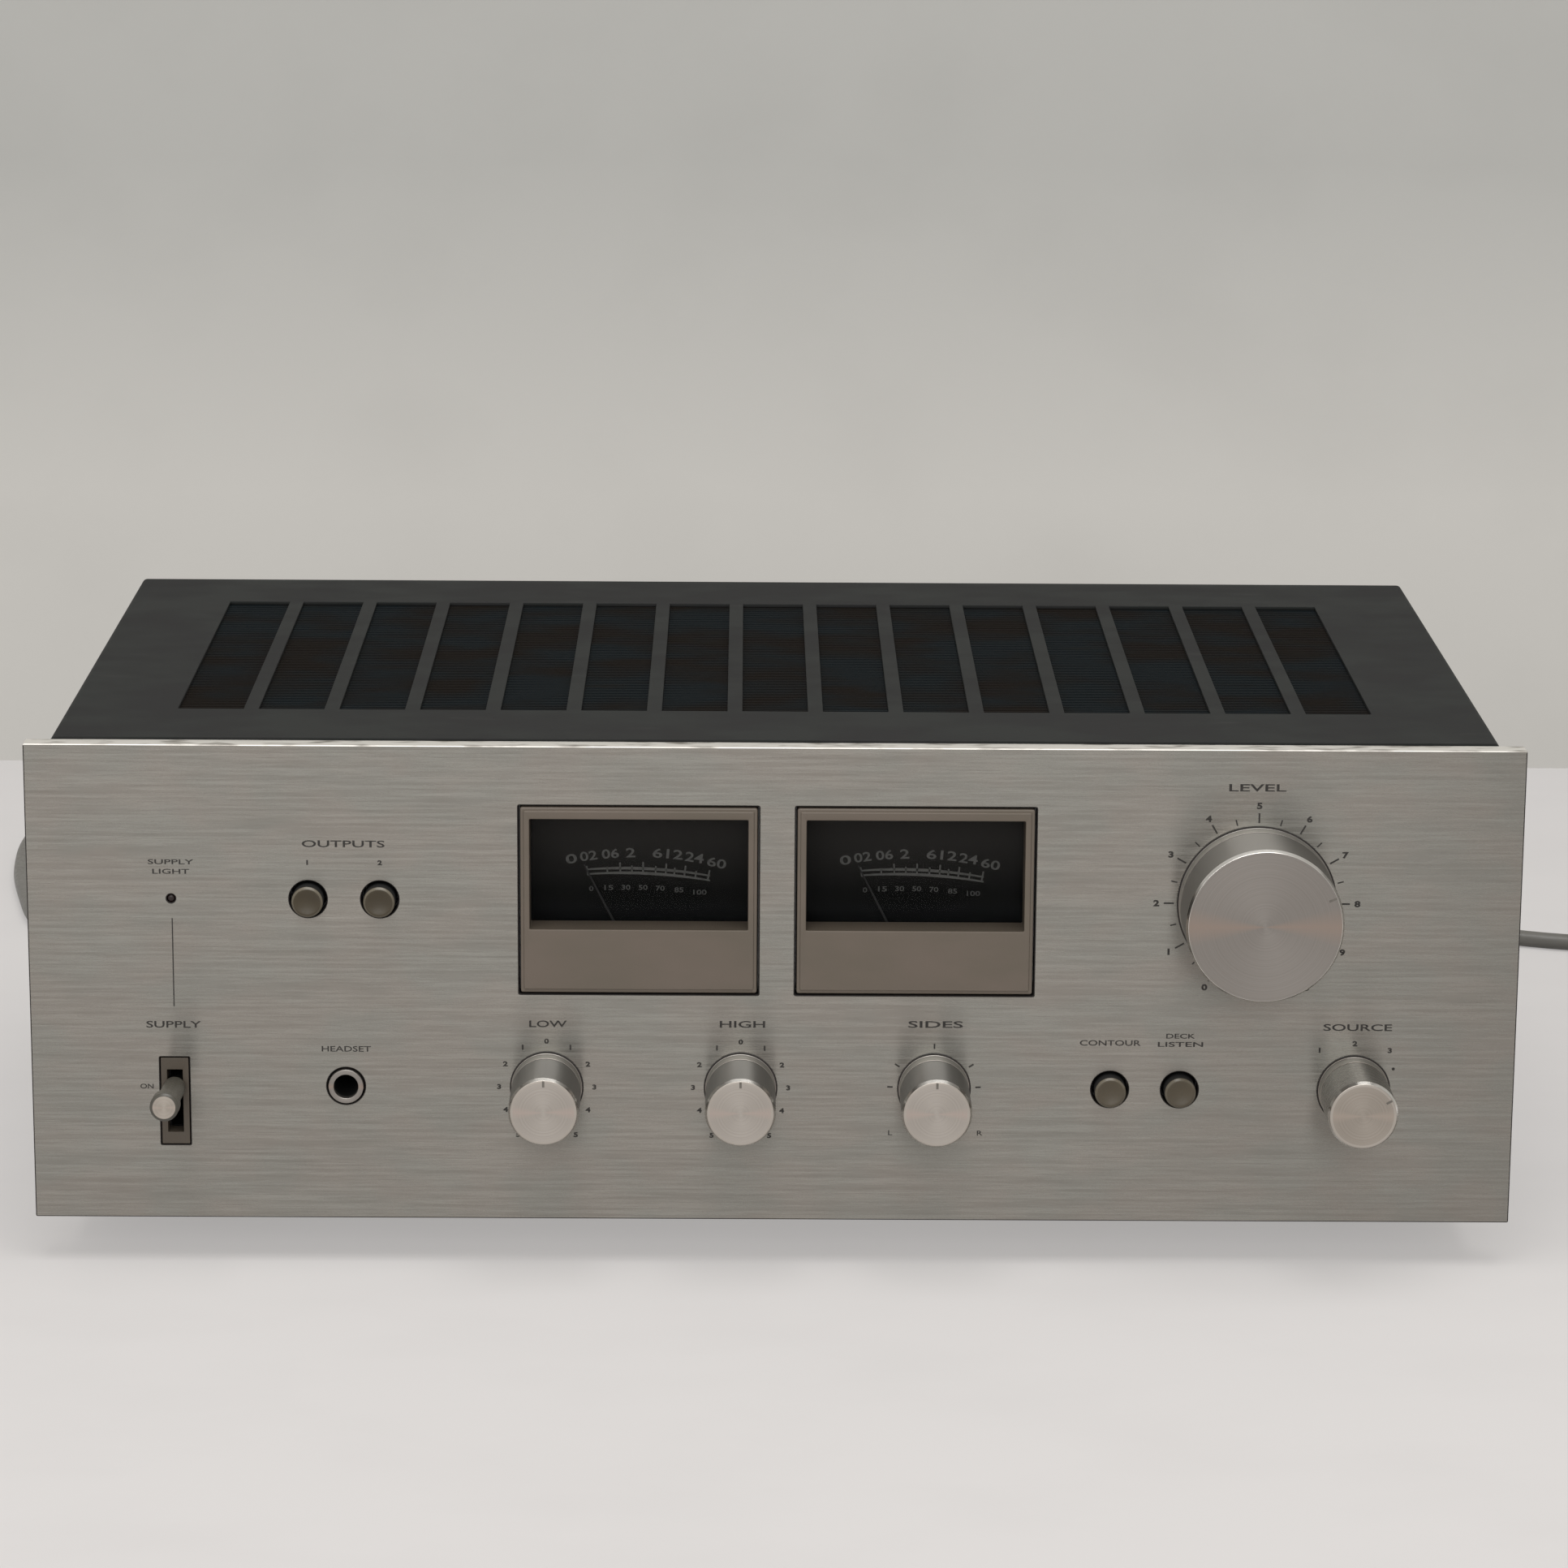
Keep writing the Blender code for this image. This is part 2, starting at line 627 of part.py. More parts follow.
def panel_openings(slot_width, slot_height, meter_gap):
    """The holes that the front panel and the plate behind it share."""
    holes = [
        ring(x, height, BUSHING_RADIUS + SEAT_GAP)
        for _, x, height, *_ in control_places()
    ]
    holes += [ring(x, height, BUTTON_HOLE_RADIUS) for _, x, height in button_places()]
    holes.append(ring(PHONES_X, LOWER_ROW_HEIGHT, PHONES_RING_RADIUS + SEAT_GAP))
    holes.append(ring(POWER_X, UPPER_ROW_HEIGHT, INDICATOR_RADIUS + SEAT_GAP, SMALL_SIDES))
    holes.append(rectangle(POWER_X, SLOT_HEIGHT, slot_width, slot_height))
    for x in (METER_LEFT_X, METER_RIGHT_X):
        holes.append(
            rectangle(
                x, UPPER_ROW_HEIGHT, METER_WIDTH + 2 * meter_gap, METER_HEIGHT + 2 * meter_gap
            )
        )
    return holes


def build_front_panel():
    edge = rounded_rectangle(
        0.0, PANEL_HEIGHT / 2, PANEL_WIDTH, PANEL_HEIGHT, PANEL_CORNER_RADIUS
    )
    holes = panel_openings(
        SLOT_BEZEL_WIDTH + 2 * SEAT_GAP, SLOT_BEZEL_HEIGHT + 2 * SEAT_GAP, METER_GAP
    )
    upright_plate("front_panel", [edge] + holes, 0.0, PANEL_THICKNESS, BRUSHED_ALUMINIUM)


def build_front_subpanel():
    middle = (PAN_LIFT + INNER_TOP) / 2
    edge = rectangle(0.0, middle, 2 * INNER_HALF_WIDTH, INNER_TOP - PAN_LIFT)
    holes = panel_openings(
        LEVER_SLOT_WIDTH + 2 * SEAT_GAP, LEVER_SLOT_HEIGHT + 2 * SEAT_GAP, SEAT_GAP
    )
    upright_plate(
        "front_subpanel", [edge] + holes, SUBPANEL_FRONT, SUBPANEL_REAR, PLATED_STEEL
    )


def build_chassis_pan():
    """A folded steel tray with four low lips, board bosses and air slots."""
    shape = bmesh.new()
    low = place(-INNER_HALF_WIDTH, BEHIND_SUBPANEL, PAN_LIFT)
    high = place(INNER_HALF_WIDTH, PAN_REAR, PAN_LIFT + PAN_LIP_HEIGHT)
    add_box(shape, low, high)
    bmesh.ops.recalc_face_normals(shape, faces=shape.faces)
    top = [face for face in shape.faces if face.normal.z > 0.5]
    bmesh.ops.delete(shape, geom=top, context="FACES_ONLY")
    pan = add_part("chassis_pan", mesh_from("chassis_pan", shape), PLATED_STEEL)
    wall = pan.modifiers.new("sheet", "SOLIDIFY")
    wall.thickness = PAN_WALL
    wall.offset = -1.0
    wall.use_even_offset = True
    join(pan, board_bosses())
    cut(pan, pan_air_slots())


def board_bosses():
    shape = bmesh.new()
    for x in (BOARD_LEFT_X + BOARD_EDGE_MARGIN, BOARD_RIGHT_X - BOARD_EDGE_MARGIN):
        for depth in (
            BOARD_FRONT_DEPTH + BOARD_EDGE_MARGIN,
            BOARD_REAR_DEPTH - BOARD_EDGE_MARGIN,
        ):
            add_cylinder(
                shape,
                place(x, depth, PAN_LIFT + PAN_WALL / 2),
                place(x, depth, PAN_FLOOR + BOSS_HEIGHT),
                BOSS_RADIUS,
                SMALL_SIDES,
            )
    return add_tool("board_bosses", mesh_from("board_bosses", shape))


def pan_air_slots():
    """Slots in the pan's floor under the heat sink's fins."""
    shape = bmesh.new()
    middle = SINK_X + SINK_BASE + SINK_FIN_LENGTH / 2
    count = int(SINK_LENGTH / PAN_SLOT_PITCH)
    start = SINK_FRONT_DEPTH + (SINK_LENGTH - (count - 1) * PAN_SLOT_PITCH) / 2
    for number in range(count):
        depth = start + number * PAN_SLOT_PITCH
        add_box(
            shape,
            place(middle - PAN_SLOT_LENGTH / 2, depth - PAN_SLOT_WIDTH / 2, PAN_LIFT - OVERRUN),
            place(middle + PAN_SLOT_LENGTH / 2, depth + PAN_SLOT_WIDTH / 2, PAN_FLOOR + OVERRUN),
        )
    return add_tool("pan_air_slots", mesh_from("pan_air_slots", shape))


def cover_section():
    """The cover's bent section, from its lower left edge over the top to the lower right."""
    across = COVER_HALF_WIDTH - COVER_BEND_RADIUS
    up = COVER_TOP - COVER_BEND_RADIUS
    left = arc((-across, up), COVER_BEND_RADIUS, math.pi, math.pi / 2, 2)
    right = arc((across, up), COVER_BEND_RADIUS, math.pi / 2, 0.0, 2)
    foot = (COVER_HALF_WIDTH, COVER_LIFT)
    return [(-foot[0], foot[1])] + left + right + [foot]


def build_top_cover():
    shape = bmesh.new()
    rows = [
        [shape.verts.new(place(x, depth, height)) for x, height in cover_section()]
        for depth in (SUBPANEL_FRONT, COVER_REAR_DEPTH)
    ]
    for number in range(len(rows[0]) - 1):
        shape.faces.new(
            (rows[0][number], rows[0][number + 1], rows[1][number + 1], rows[1][number])
        )
    cover = add_part("top_cover", mesh_from("top_cover", shape), PAINTED_STEEL)
    wall = cover.modifiers.new("sheet", "SOLIDIFY")
    wall.thickness = COVER_WALL
    wall.offset = -1.0
    wall.use_even_offset = True
    cut(cover, cover_vents())


def cover_vents():
    """Columns of slots across the cover's top, centred on its width."""
    shape = bmesh.new()
    free_width = 2 * (COVER_HALF_WIDTH - VENT_SIDE_MARGIN)
    pitch = VENT_WIDTH + VENT_BAR
    columns = int((free_width + VENT_BAR) / pitch)
    slots = int((VENT_LENGTH + VENT_RIB) / VENT_SLOT_PITCH + 0.5)
    for column in range(columns):
        middle = (column - (columns - 1) / 2) * pitch
        for slot in range(slots):
            start = VENT_FRONT_DEPTH + slot * VENT_SLOT_PITCH
            add_box(
                shape,
                place(middle - VENT_WIDTH / 2, start, COVER_TOP - COVER_WALL - OVERRUN),
                place(
                    middle + VENT_WIDTH / 2,
                    start + VENT_SLOT_PITCH - VENT_RIB,
                    COVER_TOP + OVERRUN,
                ),
            )
    return add_tool("cover_vents", mesh_from("cover_vents", shape))


def jack_places():
    """The rear sockets, in x and height."""
    right = HALF_WIDTH - JACKS_FROM_RIGHT
    return [
        (right - column * JACK_PITCH_X, JACKS_HEIGHT + row * JACK_PITCH_Z)
        for column in range(JACK_COLUMNS)
        for row in range(JACK_ROWS)
    ]


def ground_place():
    return HALF_WIDTH - GROUND_FROM_RIGHT, JACKS_HEIGHT


def build_rear_panel():
    middle = (PAN_LIFT + INNER_TOP) / 2
    edge = rectangle(0.0, middle, 2 * INNER_HALF_WIDTH, INNER_TOP - PAN_LIFT)
    holes = [
        ring(x, height, JACK_RADIUS + SEAT_GAP, SMALL_SIDES) for x, height in jack_places()
    ]
    holes.append(ring(CORD_X, CORD_EXIT_HEIGHT, RELIEF_NECK_RADIUS + SEAT_GAP, SMALL_SIDES))
    panel = upright_plate("rear_panel", [edge] + holes, REAR_INSIDE, REAR_OUTSIDE, PLATED_STEEL)
    shape = bmesh.new()
    x, height = ground_place()
    add_cylinder(
        shape,
        place(x, REAR_INSIDE + REAR_PANEL_THICKNESS / 2, height),
        place(x, REAR_OUTSIDE + GROUND_STUD_LENGTH, height),
        GROUND_STUD_RADIUS,
        SMALL_SIDES,
    )
    join(panel, add_tool("ground_stud", mesh_from("ground_stud", shape)))


def build_feet():
    """Four turned feet, each with a recess for its screw."""
    height = PANEL_CLEARANCE + PAN_LIFT - SEAT_GAP
    profile = (
        (0.0, height),
        (FOOT_TOP_RADIUS, height),
        (FOOT_BOTTOM_RADIUS, 0.0),
        (FOOT_RECESS_RADIUS, 0.0),
        (FOOT_RECESS_RADIUS, FOOT_RECESS_DEPTH),
        (0.0, FOOT_RECESS_DEPTH),
    )
    side = COVER_HALF_WIDTH - FOOT_SIDE_MARGIN
    for end, depth in (
        ("front", FOOT_FRONT_DEPTH),
        ("rear", COVER_REAR_DEPTH - FOOT_REAR_MARGIN),
    ):
        for hand, x in (("left", -side), ("right", side)):
            foot = turned(
                f"foot_{end}_{hand}",
                profile,
                place(x, depth, -PANEL_CLEARANCE),
                UPWARD,
                BLACK_RUBBER,
            )
            shade_round(foot)


# Turned controls

def build_control(name, x, height, knob_radius, knob_length, body_radius, body_length):
    """A control body behind the panel, its shaft and its knob, on one axis."""
    body_name = "function_switch" if name == "function" else name + "_control"
    bushing_front = PANEL_THICKNESS - BUSHING_PROUD
    body_rear = BEHIND_SUBPANEL + body_length
    bore_end = BEHIND_SUBPANEL + SHAFT_REACH
    bore_radius = SHAFT_RADIUS + SEAT_GAP
    origin = place(x, 0.0, height)
    body_profile = (
        (bore_radius, -bushing_front),
        (BUSHING_RADIUS, -bushing_front),
        (BUSHING_RADIUS, -BEHIND_SUBPANEL),
        (body_radius, -BEHIND_SUBPANEL),
        (body_radius, -body_rear),
        (0.0, -body_rear),
    )
    bore_profile = ((0.0, -bore_end), (bore_radius, -bore_end), (bore_radius, -bushing_front))
    turned(body_name, bore_profile + body_profile[1:], origin, FORWARD, NICKEL)

    shaft_front = KNOB_STANDOFF + KNOB_BORE_DEPTH - SEAT_GAP
    shaft_profile = (
        (0.0, shaft_front),
        (SHAFT_RADIUS, shaft_front),
        (SHAFT_RADIUS, SEAT_GAP - bore_end),
        (0.0, SEAT_GAP - bore_end),
    )
    turned(name + "_shaft", shaft_profile, origin, FORWARD, NICKEL)

    front = KNOB_STANDOFF + knob_length
    skirt_top = KNOB_STANDOFF + KNOB_SKIRT_HEIGHT
    knob_profile = (
        (0.0, front),
        (knob_radius - KNOB_CHAMFER, front),
        (knob_radius, front - KNOB_CHAMFER),
        (knob_radius, skirt_top),
        (knob_radius - KNOB_SKIRT_STEP, skirt_top),
        (knob_radius - KNOB_SKIRT_STEP, KNOB_STANDOFF),
        (bore_radius, KNOB_STANDOFF),
        (bore_radius, KNOB_STANDOFF + KNOB_BORE_DEPTH),
        (0.0, KNOB_STANDOFF + KNOB_BORE_DEPTH),
    )
    knob = turned(name + "_knob", knob_profile, origin, FORWARD, SPUN_ALUMINIUM, KNOB_SIDES)
    shade_round(knob)


# Push buttons, their switches, the phones socket and the power indicator

def build_button(name, x, height):
    rear = BUTTON_PROUD - BUTTON_LENGTH
    profile = (
        (0.0, BUTTON_PROUD),
        (BUTTON_RADIUS - BUTTON_CHAMFER, BUTTON_PROUD),
        (BUTTON_RADIUS, BUTTON_PROUD - BUTTON_CHAMFER),
        (BUTTON_RADIUS, rear),
        (0.0, rear),
    )
    turned(name, profile, place(x, 0.0, height), FORWARD, BUTTON_PLASTIC)


def build_switch_bank(name, first_x, second_x, height):
    """The switch body behind two buttons, with a well for each to travel in."""
    bank = box(
        name,
        place(first_x - SWITCH_BANK_MARGIN, BEHIND_SUBPANEL, height - SWITCH_BANK_HEIGHT / 2),
        place(
            second_x + SWITCH_BANK_MARGIN,
            BEHIND_SUBPANEL + SWITCH_BANK_DEPTH,
            height + SWITCH_BANK_HEIGHT / 2,
        ),
        PLATED_STEEL,
    )
    shape = bmesh.new()
    well_end = BUTTON_LENGTH - BUTTON_PROUD + BUTTON_TRAVEL + SEAT_GAP
    for x in (first_x, second_x):
        add_cylinder(
            shape,
            place(x, BEHIND_SUBPANEL - OVERRUN, height),
            place(x, well_end, height),
            BUTTON_HOLE_RADIUS,
            ROUND_SIDES,
        )
    cut(bank, add_tool(name + "_wells", mesh_from(name + "_wells", shape)))


def build_phones_jack():
    bore_front = PHONES_PROUD
    body_front = -BEHIND_SUBPANEL
    body_rear = -PHONES_BORE_DEPTH - PHONES_BODY_WALL
    profile = (
        (0.0, -PHONES_BORE_DEPTH),
        (PHONES_BORE_RADIUS, -PHONES_BORE_DEPTH),
        (PHONES_BORE_RADIUS, bore_front),
        (PHONES_RING_RADIUS, bore_front),
        (PHONES_RING_RADIUS, body_front),
        (PHONES_BODY_RADIUS, body_front),
        (PHONES_BODY_RADIUS, body_rear),
        (0.0, body_rear),
    )
    jack = turned(
        "phones_jack", profile, place(PHONES_X, 0.0, LOWER_ROW_HEIGHT), FORWARD, BLACK_PLASTIC,
        SMALL_SIDES,
    )
    shade_round(jack)


def build_power_indicator():
    rear = -INDICATOR_LENGTH
    flange = -BEHIND_SUBPANEL
    profile = (
        (0.0, 0.0),
        (INDICATOR_RADIUS, -SEAT_GAP),
        (INDICATOR_RADIUS, flange),
        (INDICATOR_FLANGE_RADIUS, flange),
        (INDICATOR_FLANGE_RADIUS, rear),
        (0.0, rear),
    )
    turned(
        "power_indicator", profile, place(POWER_X, 0.0, UPPER_ROW_HEIGHT), FORWARD, RED_LAMP,
        SMALL_SIDES,
    )


# Power lever

def build_power_switch():
    """The slot's bezel, the switch body behind it, and the lever that tips in both."""
    upright_plate(
        "power_slot_bezel",
        [
            rectangle(POWER_X, SLOT_HEIGHT, SLOT_BEZEL_WIDTH, SLOT_BEZEL_HEIGHT),
            rectangle(POWER_X, SLOT_HEIGHT, LEVER_SLOT_WIDTH, LEVER_SLOT_HEIGHT),
        ],
        0.0,
        PANEL_THICKNESS,
        TAUPE_PLASTIC,
    )
    half_well = LEVER_BLADE_WIDTH / 2 + SEAT_GAP
    half_tall = LEVER_SLOT_HEIGHT / 2 + SEAT_GAP
    body = box(
        "power_switch",
        place(
            POWER_X - half_well - SWITCH_WALL, BEHIND_SUBPANEL, SLOT_HEIGHT - half_tall - SWITCH_WALL
        ),
        place(
            POWER_X + half_well + SWITCH_WALL,
            SWITCH_REAR_DEPTH,
            SLOT_HEIGHT + half_tall + SWITCH_WALL,
        ),
        BLACK_PLASTIC,
    )
    well = box_mesh(
        "lever_well",
        place(POWER_X - half_well, BEHIND_SUBPANEL - OVERRUN, SLOT_HEIGHT - half_tall),
        place(POWER_X + half_well, LEVER_PIVOT_DEPTH + LEVER_HUB_RADIUS + SEAT_GAP,
              SLOT_HEIGHT + half_tall),
    )
    cut(body, add_tool("lever_well", well))
    build_power_lever()


def build_power_lever():
    """A turned handle on a flat blade with a round hub at the pivot, tipped up to on."""
    pivot = place(POWER_X, LEVER_PIVOT_DEPTH, SLOT_HEIGHT)
    stem_rear = LEVER_PIVOT_DEPTH + LEVER_STEM_START
    tip_rear = LEVER_LENGTH - LEVER_TIP_LENGTH
    profile = (
        (0.0, LEVER_LENGTH),
        (LEVER_TIP_RADIUS - LEVER_TIP_CHAMFER, LEVER_LENGTH),
        (LEVER_TIP_RADIUS, LEVER_LENGTH - LEVER_TIP_CHAMFER),
        (LEVER_TIP_RADIUS, tip_rear),
        (LEVER_STEM_RADIUS, tip_rear),
        (LEVER_STEM_RADIUS, stem_rear),
        (0.0, stem_rear),
    )
    turn = (math.pi / 2 - LEVER_TILT, 0.0, 0.0)
    lever = turned("power_lever", profile, pivot, turn, SPUN_ALUMINIUM)
    half_width = LEVER_BLADE_WIDTH / 2
    half_tall = LEVER_BLADE_HEIGHT / 2
    shape = bmesh.new()
    add_box(shape, (-half_width, -half_tall, 0.0), (half_width, half_tall, stem_rear + OVERRUN))
    join(lever, add_tool("lever_blade", mesh_from("lever_blade", shape), pivot, turn))
    shape = bmesh.new()
    add_cylinder(
        shape, (-half_width, 0.0, 0.0), (half_width, 0.0, 0.0), LEVER_HUB_RADIUS, SMALL_SIDES
    )
    join(lever, add_tool("lever_hub", mesh_from("lever_hub", shape), pivot, turn))


# Power meters

def build_meter(hand, x):
    build_meter_bezel(hand, x)
    build_meter_movement(hand, x)
    build_meter_needle(hand, x)


def build_meter_bezel(hand, x):
    """The frame in the panel, with its window above a plain chin, and the clear window."""
    upright_plate(
        "meter_bezel_" + hand,
        [
            rectangle(x, UPPER_ROW_HEIGHT, METER_WIDTH, METER_HEIGHT),
            rectangle(x, WINDOW_CENTRE, METER_WINDOW_WIDTH, METER_WINDOW_HEIGHT),
        ],
        -METER_PROUD,
        METER_BEZEL_REAR,
        TAUPE_PLASTIC,
    )
    half_width = METER_WINDOW_WIDTH / 2 + METER_GLASS_LAP
    half_tall = METER_WINDOW_HEIGHT / 2 + METER_GLASS_LAP
    box(
        "meter_window_" + hand,
        place(x - half_width, METER_CASE_FRONT, WINDOW_CENTRE - half_tall),
        place(x + half_width, METER_CASE_FRONT + METER_GLASS_THICKNESS, WINDOW_CENTRE + half_tall),
        CLEAR_PLASTIC,
    )


def build_meter_movement(hand, x):
    """The meter's case, open at the front, with its dial as the well's floor and a pivot boss."""
    name = "meter_movement_" + hand
    case = box(
        name,
        place(x - METER_CASE_HALF_WIDTH, METER_CASE_FRONT, METER_CASE_BOTTOM),
        place(x + METER_CASE_HALF_WIDTH, METER_CASE_REAR, METER_CASE_TOP),
        BLACK_PLASTIC,
    )
    well_half_width = METER_CASE_HALF_WIDTH - METER_CASE_WALL
    well = box_mesh(
        name + "_well",
        place(x - well_half_width, METER_CASE_FRONT - OVERRUN, METER_CASE_BOTTOM + METER_CASE_WALL),
        place(x + well_half_width, METER_DIAL_DEPTH, METER_CASE_TOP - METER_CASE_WALL),
    )
    cut(case, add_tool(name + "_well", well))
    shape = bmesh.new()
    add_cylinder(
        shape,
        place(x, METER_DIAL_DEPTH + OVERRUN, NEEDLE_PIVOT),
        place(x, NEEDLE_HUB_REAR + SEAT_GAP, NEEDLE_PIVOT),
        PIVOT_BOSS_RADIUS,
        SMALL_SIDES,
    )
    join(case, add_tool(name + "_pivot", mesh_from(name + "_pivot", shape)))


def build_meter_needle(hand, x):
    """A thin pointer with a short tail on a round hub, leaning to the left at rest."""
    name = "meter_needle_" + hand
    pivot = place(x, NEEDLE_HUB_REAR - NEEDLE_HUB_LENGTH / 2, NEEDLE_PIVOT)
    turn = (0.0, -NEEDLE_REST, 0.0)
    half_width = NEEDLE_WIDTH / 2
    half_thick = NEEDLE_THICKNESS / 2
    half_hub = NEEDLE_HUB_LENGTH / 2
    shape = bmesh.new()
    add_cylinder(
        shape, (0.0, half_hub, 0.0), (0.0, -half_hub, 0.0), NEEDLE_HUB_RADIUS, SMALL_SIDES
    )
    needle = add_part(name, mesh_from(name, shape), NEEDLE_PAINT, pivot, turn)
    pointer = box_mesh(
        name + "_pointer",
        (-half_width, -half_thick, -NEEDLE_TAIL),
        (half_width, half_thick, NEEDLE_LENGTH),
    )
    join(needle, add_tool(name + "_pointer", pointer, pivot, turn))


# Inside

def build_transformer():
    """A three-legged laminated core, with the taped winding round its middle leg."""
    core_x = CORE_FROM_LEFT - HALF_WIDTH
    bottom = PAN_FLOOR + SEAT_GAP
    window_width = (CORE_WIDTH - 4 * CORE_LEG) / 2
    window_top = bottom + CORE_HEIGHT - CORE_LEG
    core = box(
        "transformer_core",
        place(core_x - CORE_WIDTH / 2, CORE_CENTRE_DEPTH - CORE_DEPTH / 2, bottom),
        place(core_x + CORE_WIDTH / 2, CORE_CENTRE_DEPTH + CORE_DEPTH / 2, bottom + CORE_HEIGHT),
        LAMINATED_IRON,
    )
    shape = bmesh.new()
    for side in (-1, 1):
        near = core_x + side * CORE_LEG
        far = near + side * window_width
        add_box(
            shape,
            place(
                min(near, far), CORE_CENTRE_DEPTH - CORE_DEPTH / 2 - OVERRUN, bottom + CORE_LEG
            ),
            place(max(near, far), CORE_CENTRE_DEPTH + CORE_DEPTH / 2 + OVERRUN, window_top),
        )
    cut(core, add_tool("core_windows", mesh_from("core_windows", shape)))
    reach = CORE_LEG + window_width - WINDING_GAP
    turned_width = 2 * reach
    hole_width = 2 * (CORE_LEG + WINDING_GAP)
    hole_depth = CORE_DEPTH + 2 * WINDING_GAP
    depth_here = PANEL_FRONT_Y + CORE_CENTRE_DEPTH
    level_plate_loops = [
        rectangle(core_x, depth_here, turned_width, hole_depth + 2 * WINDING_BULGE),
        rectangle(core_x, depth_here, hole_width, hole_depth),
    ]
    thickness = window_top - bottom - CORE_LEG - 2 * WINDING_GAP
    add_part(
        "transformer_winding",
        outline_mesh("transformer_winding", level_plate_loops, thickness),
        WINDING_TAPE,
        (0.0, 0.0, PANEL_CLEARANCE + (bottom + CORE_LEG + window_top) / 2),
    )


def build_heat_sink():
    """An extruded comb of upright fins on a base plate, with a power module at each end."""
    pitch = (SINK_LENGTH - SINK_FIN_THICKNESS) / (SINK_FIN_COUNT - 1)
    root = SINK_X + SINK_BASE
    tip = root + SINK_FIN_LENGTH
    front = PANEL_FRONT_Y + SINK_FRONT_DEPTH
    comb = [(SINK_X, front + SINK_LENGTH), (SINK_X, front)]
    for fin in range(SINK_FIN_COUNT):
        near = front + fin * pitch
        far = near + SINK_FIN_THICKNESS
        comb += [(tip, near), (tip, far)]
        if fin < SINK_FIN_COUNT - 1:
            comb += [(root, far), (root, near + pitch)]
    bottom = PAN_FLOOR + SEAT_GAP
    add_part(
        "heat_sink",
        outline_mesh("heat_sink", [comb], SINK_HEIGHT),
        SINK_ALUMINIUM,
        (0.0, 0.0, PANEL_CLEARANCE + bottom + SINK_HEIGHT / 2),
    )
    face = SINK_X - SEAT_GAP
    starts = (
        ("left", SINK_FRONT_DEPTH + MODULE_MARGIN),
        ("right", SINK_FRONT_DEPTH + SINK_LENGTH - MODULE_MARGIN - MODULE_LENGTH),
    )
    for hand, start in starts:
        box(
            "power_module_" + hand,
            place(face - MODULE_THICKNESS, start, PAN_FLOOR + MODULE_LIFT),
            place(face, start + MODULE_LENGTH, PAN_FLOOR + MODULE_LIFT + MODULE_HEIGHT),
            BLACK_PLASTIC,
        )


def build_boards():
    box(
        "amplifier_board",
        place(BOARD_LEFT_X, BOARD_FRONT_DEPTH, BOARD_BOTTOM),
        place(BOARD_RIGHT_X, BOARD_REAR_DEPTH, BOARD_TOP),
        BOARD_RESIN,
    )
    tone_front = BEHIND_SUBPANEL + CONTROL_LENGTH + SEAT_GAP
    box(
        "tone_board",
        place(BASS_X - TONE_BOARD_MARGIN, tone_front, LOWER_ROW_HEIGHT - TONE_BOARD_HEIGHT / 2),
        place(
            BALANCE_X + TONE_BOARD_MARGIN,
            tone_front + BOARD_THICKNESS,
            LOWER_ROW_HEIGHT + TONE_BOARD_HEIGHT / 2,
        ),
        BOARD_RESIN,
    )
    profile = (
        (0.0, CAPACITOR_HEIGHT),
        (CAPACITOR_RADIUS - CAPACITOR_RIM, CAPACITOR_HEIGHT),
        (CAPACITOR_RADIUS, CAPACITOR_HEIGHT - CAPACITOR_RIM),
        (CAPACITOR_RADIUS, 0.0),
        (0.0, 0.0),
    )
    for number, hand in enumerate(("left", "right")):
        depth = CAPACITOR_FRONT_DEPTH + number * CAPACITOR_SPACING
        can = turned(
            "filter_capacitor_" + hand,
            profile,
            place(CAPACITOR_X, depth, BOARD_TOP + SEAT_GAP),
            UPWARD,
            CAPACITOR_SLEEVE,
        )
        shade_round(can)


# Rear

def build_input_jacks():
    """The plate of phono sockets on the rear panel, two rows deep."""
    xs = [x for x, _ in jack_places()]
    heights = [height for _, height in jack_places()]
    plate_front = REAR_OUTSIDE + SEAT_GAP
    plate_rear = plate_front + JACK_PLATE_THICKNESS
    jack_rear = REAR_OUTSIDE + JACK_PROUD
    board = box(
        "input_jack_board",
        place(min(xs) - JACK_PLATE_MARGIN, plate_front, min(heights) - JACK_PLATE_MARGIN),
        place(max(xs) + JACK_PLATE_MARGIN, plate_rear, max(heights) + JACK_PLATE_MARGIN),
        BLACK_PLASTIC,
    )
    barrels = bmesh.new()
    bores = bmesh.new()
    for x, height in jack_places():
        add_cylinder(
            barrels,
            place(x, REAR_INSIDE - JACK_TAIL, height),
            place(x, jack_rear, height),
            JACK_RADIUS,
            SMALL_SIDES,
        )
        add_cylinder(
            bores,
            place(x, REAR_INSIDE, height),
            place(x, jack_rear + OVERRUN, height),
            JACK_BORE_RADIUS,
            SMALL_SIDES,
        )
    join(board, add_tool("jack_barrels", mesh_from("jack_barrels", barrels)))
    cut(board, add_tool("jack_bores", mesh_from("jack_bores", bores)))


def terminal_places():
    """The speaker terminals' screws, in x and height."""
    return [
        (
            TERMINALS_X + (column - (TERMINAL_COLUMNS - 1) / 2) * TERMINAL_PITCH,
            TERMINALS_HEIGHT + (row - (TERMINAL_ROWS - 1) / 2) * TERMINAL_PITCH,
        )
        for column in range(TERMINAL_COLUMNS)
        for row in range(TERMINAL_ROWS)
    ]


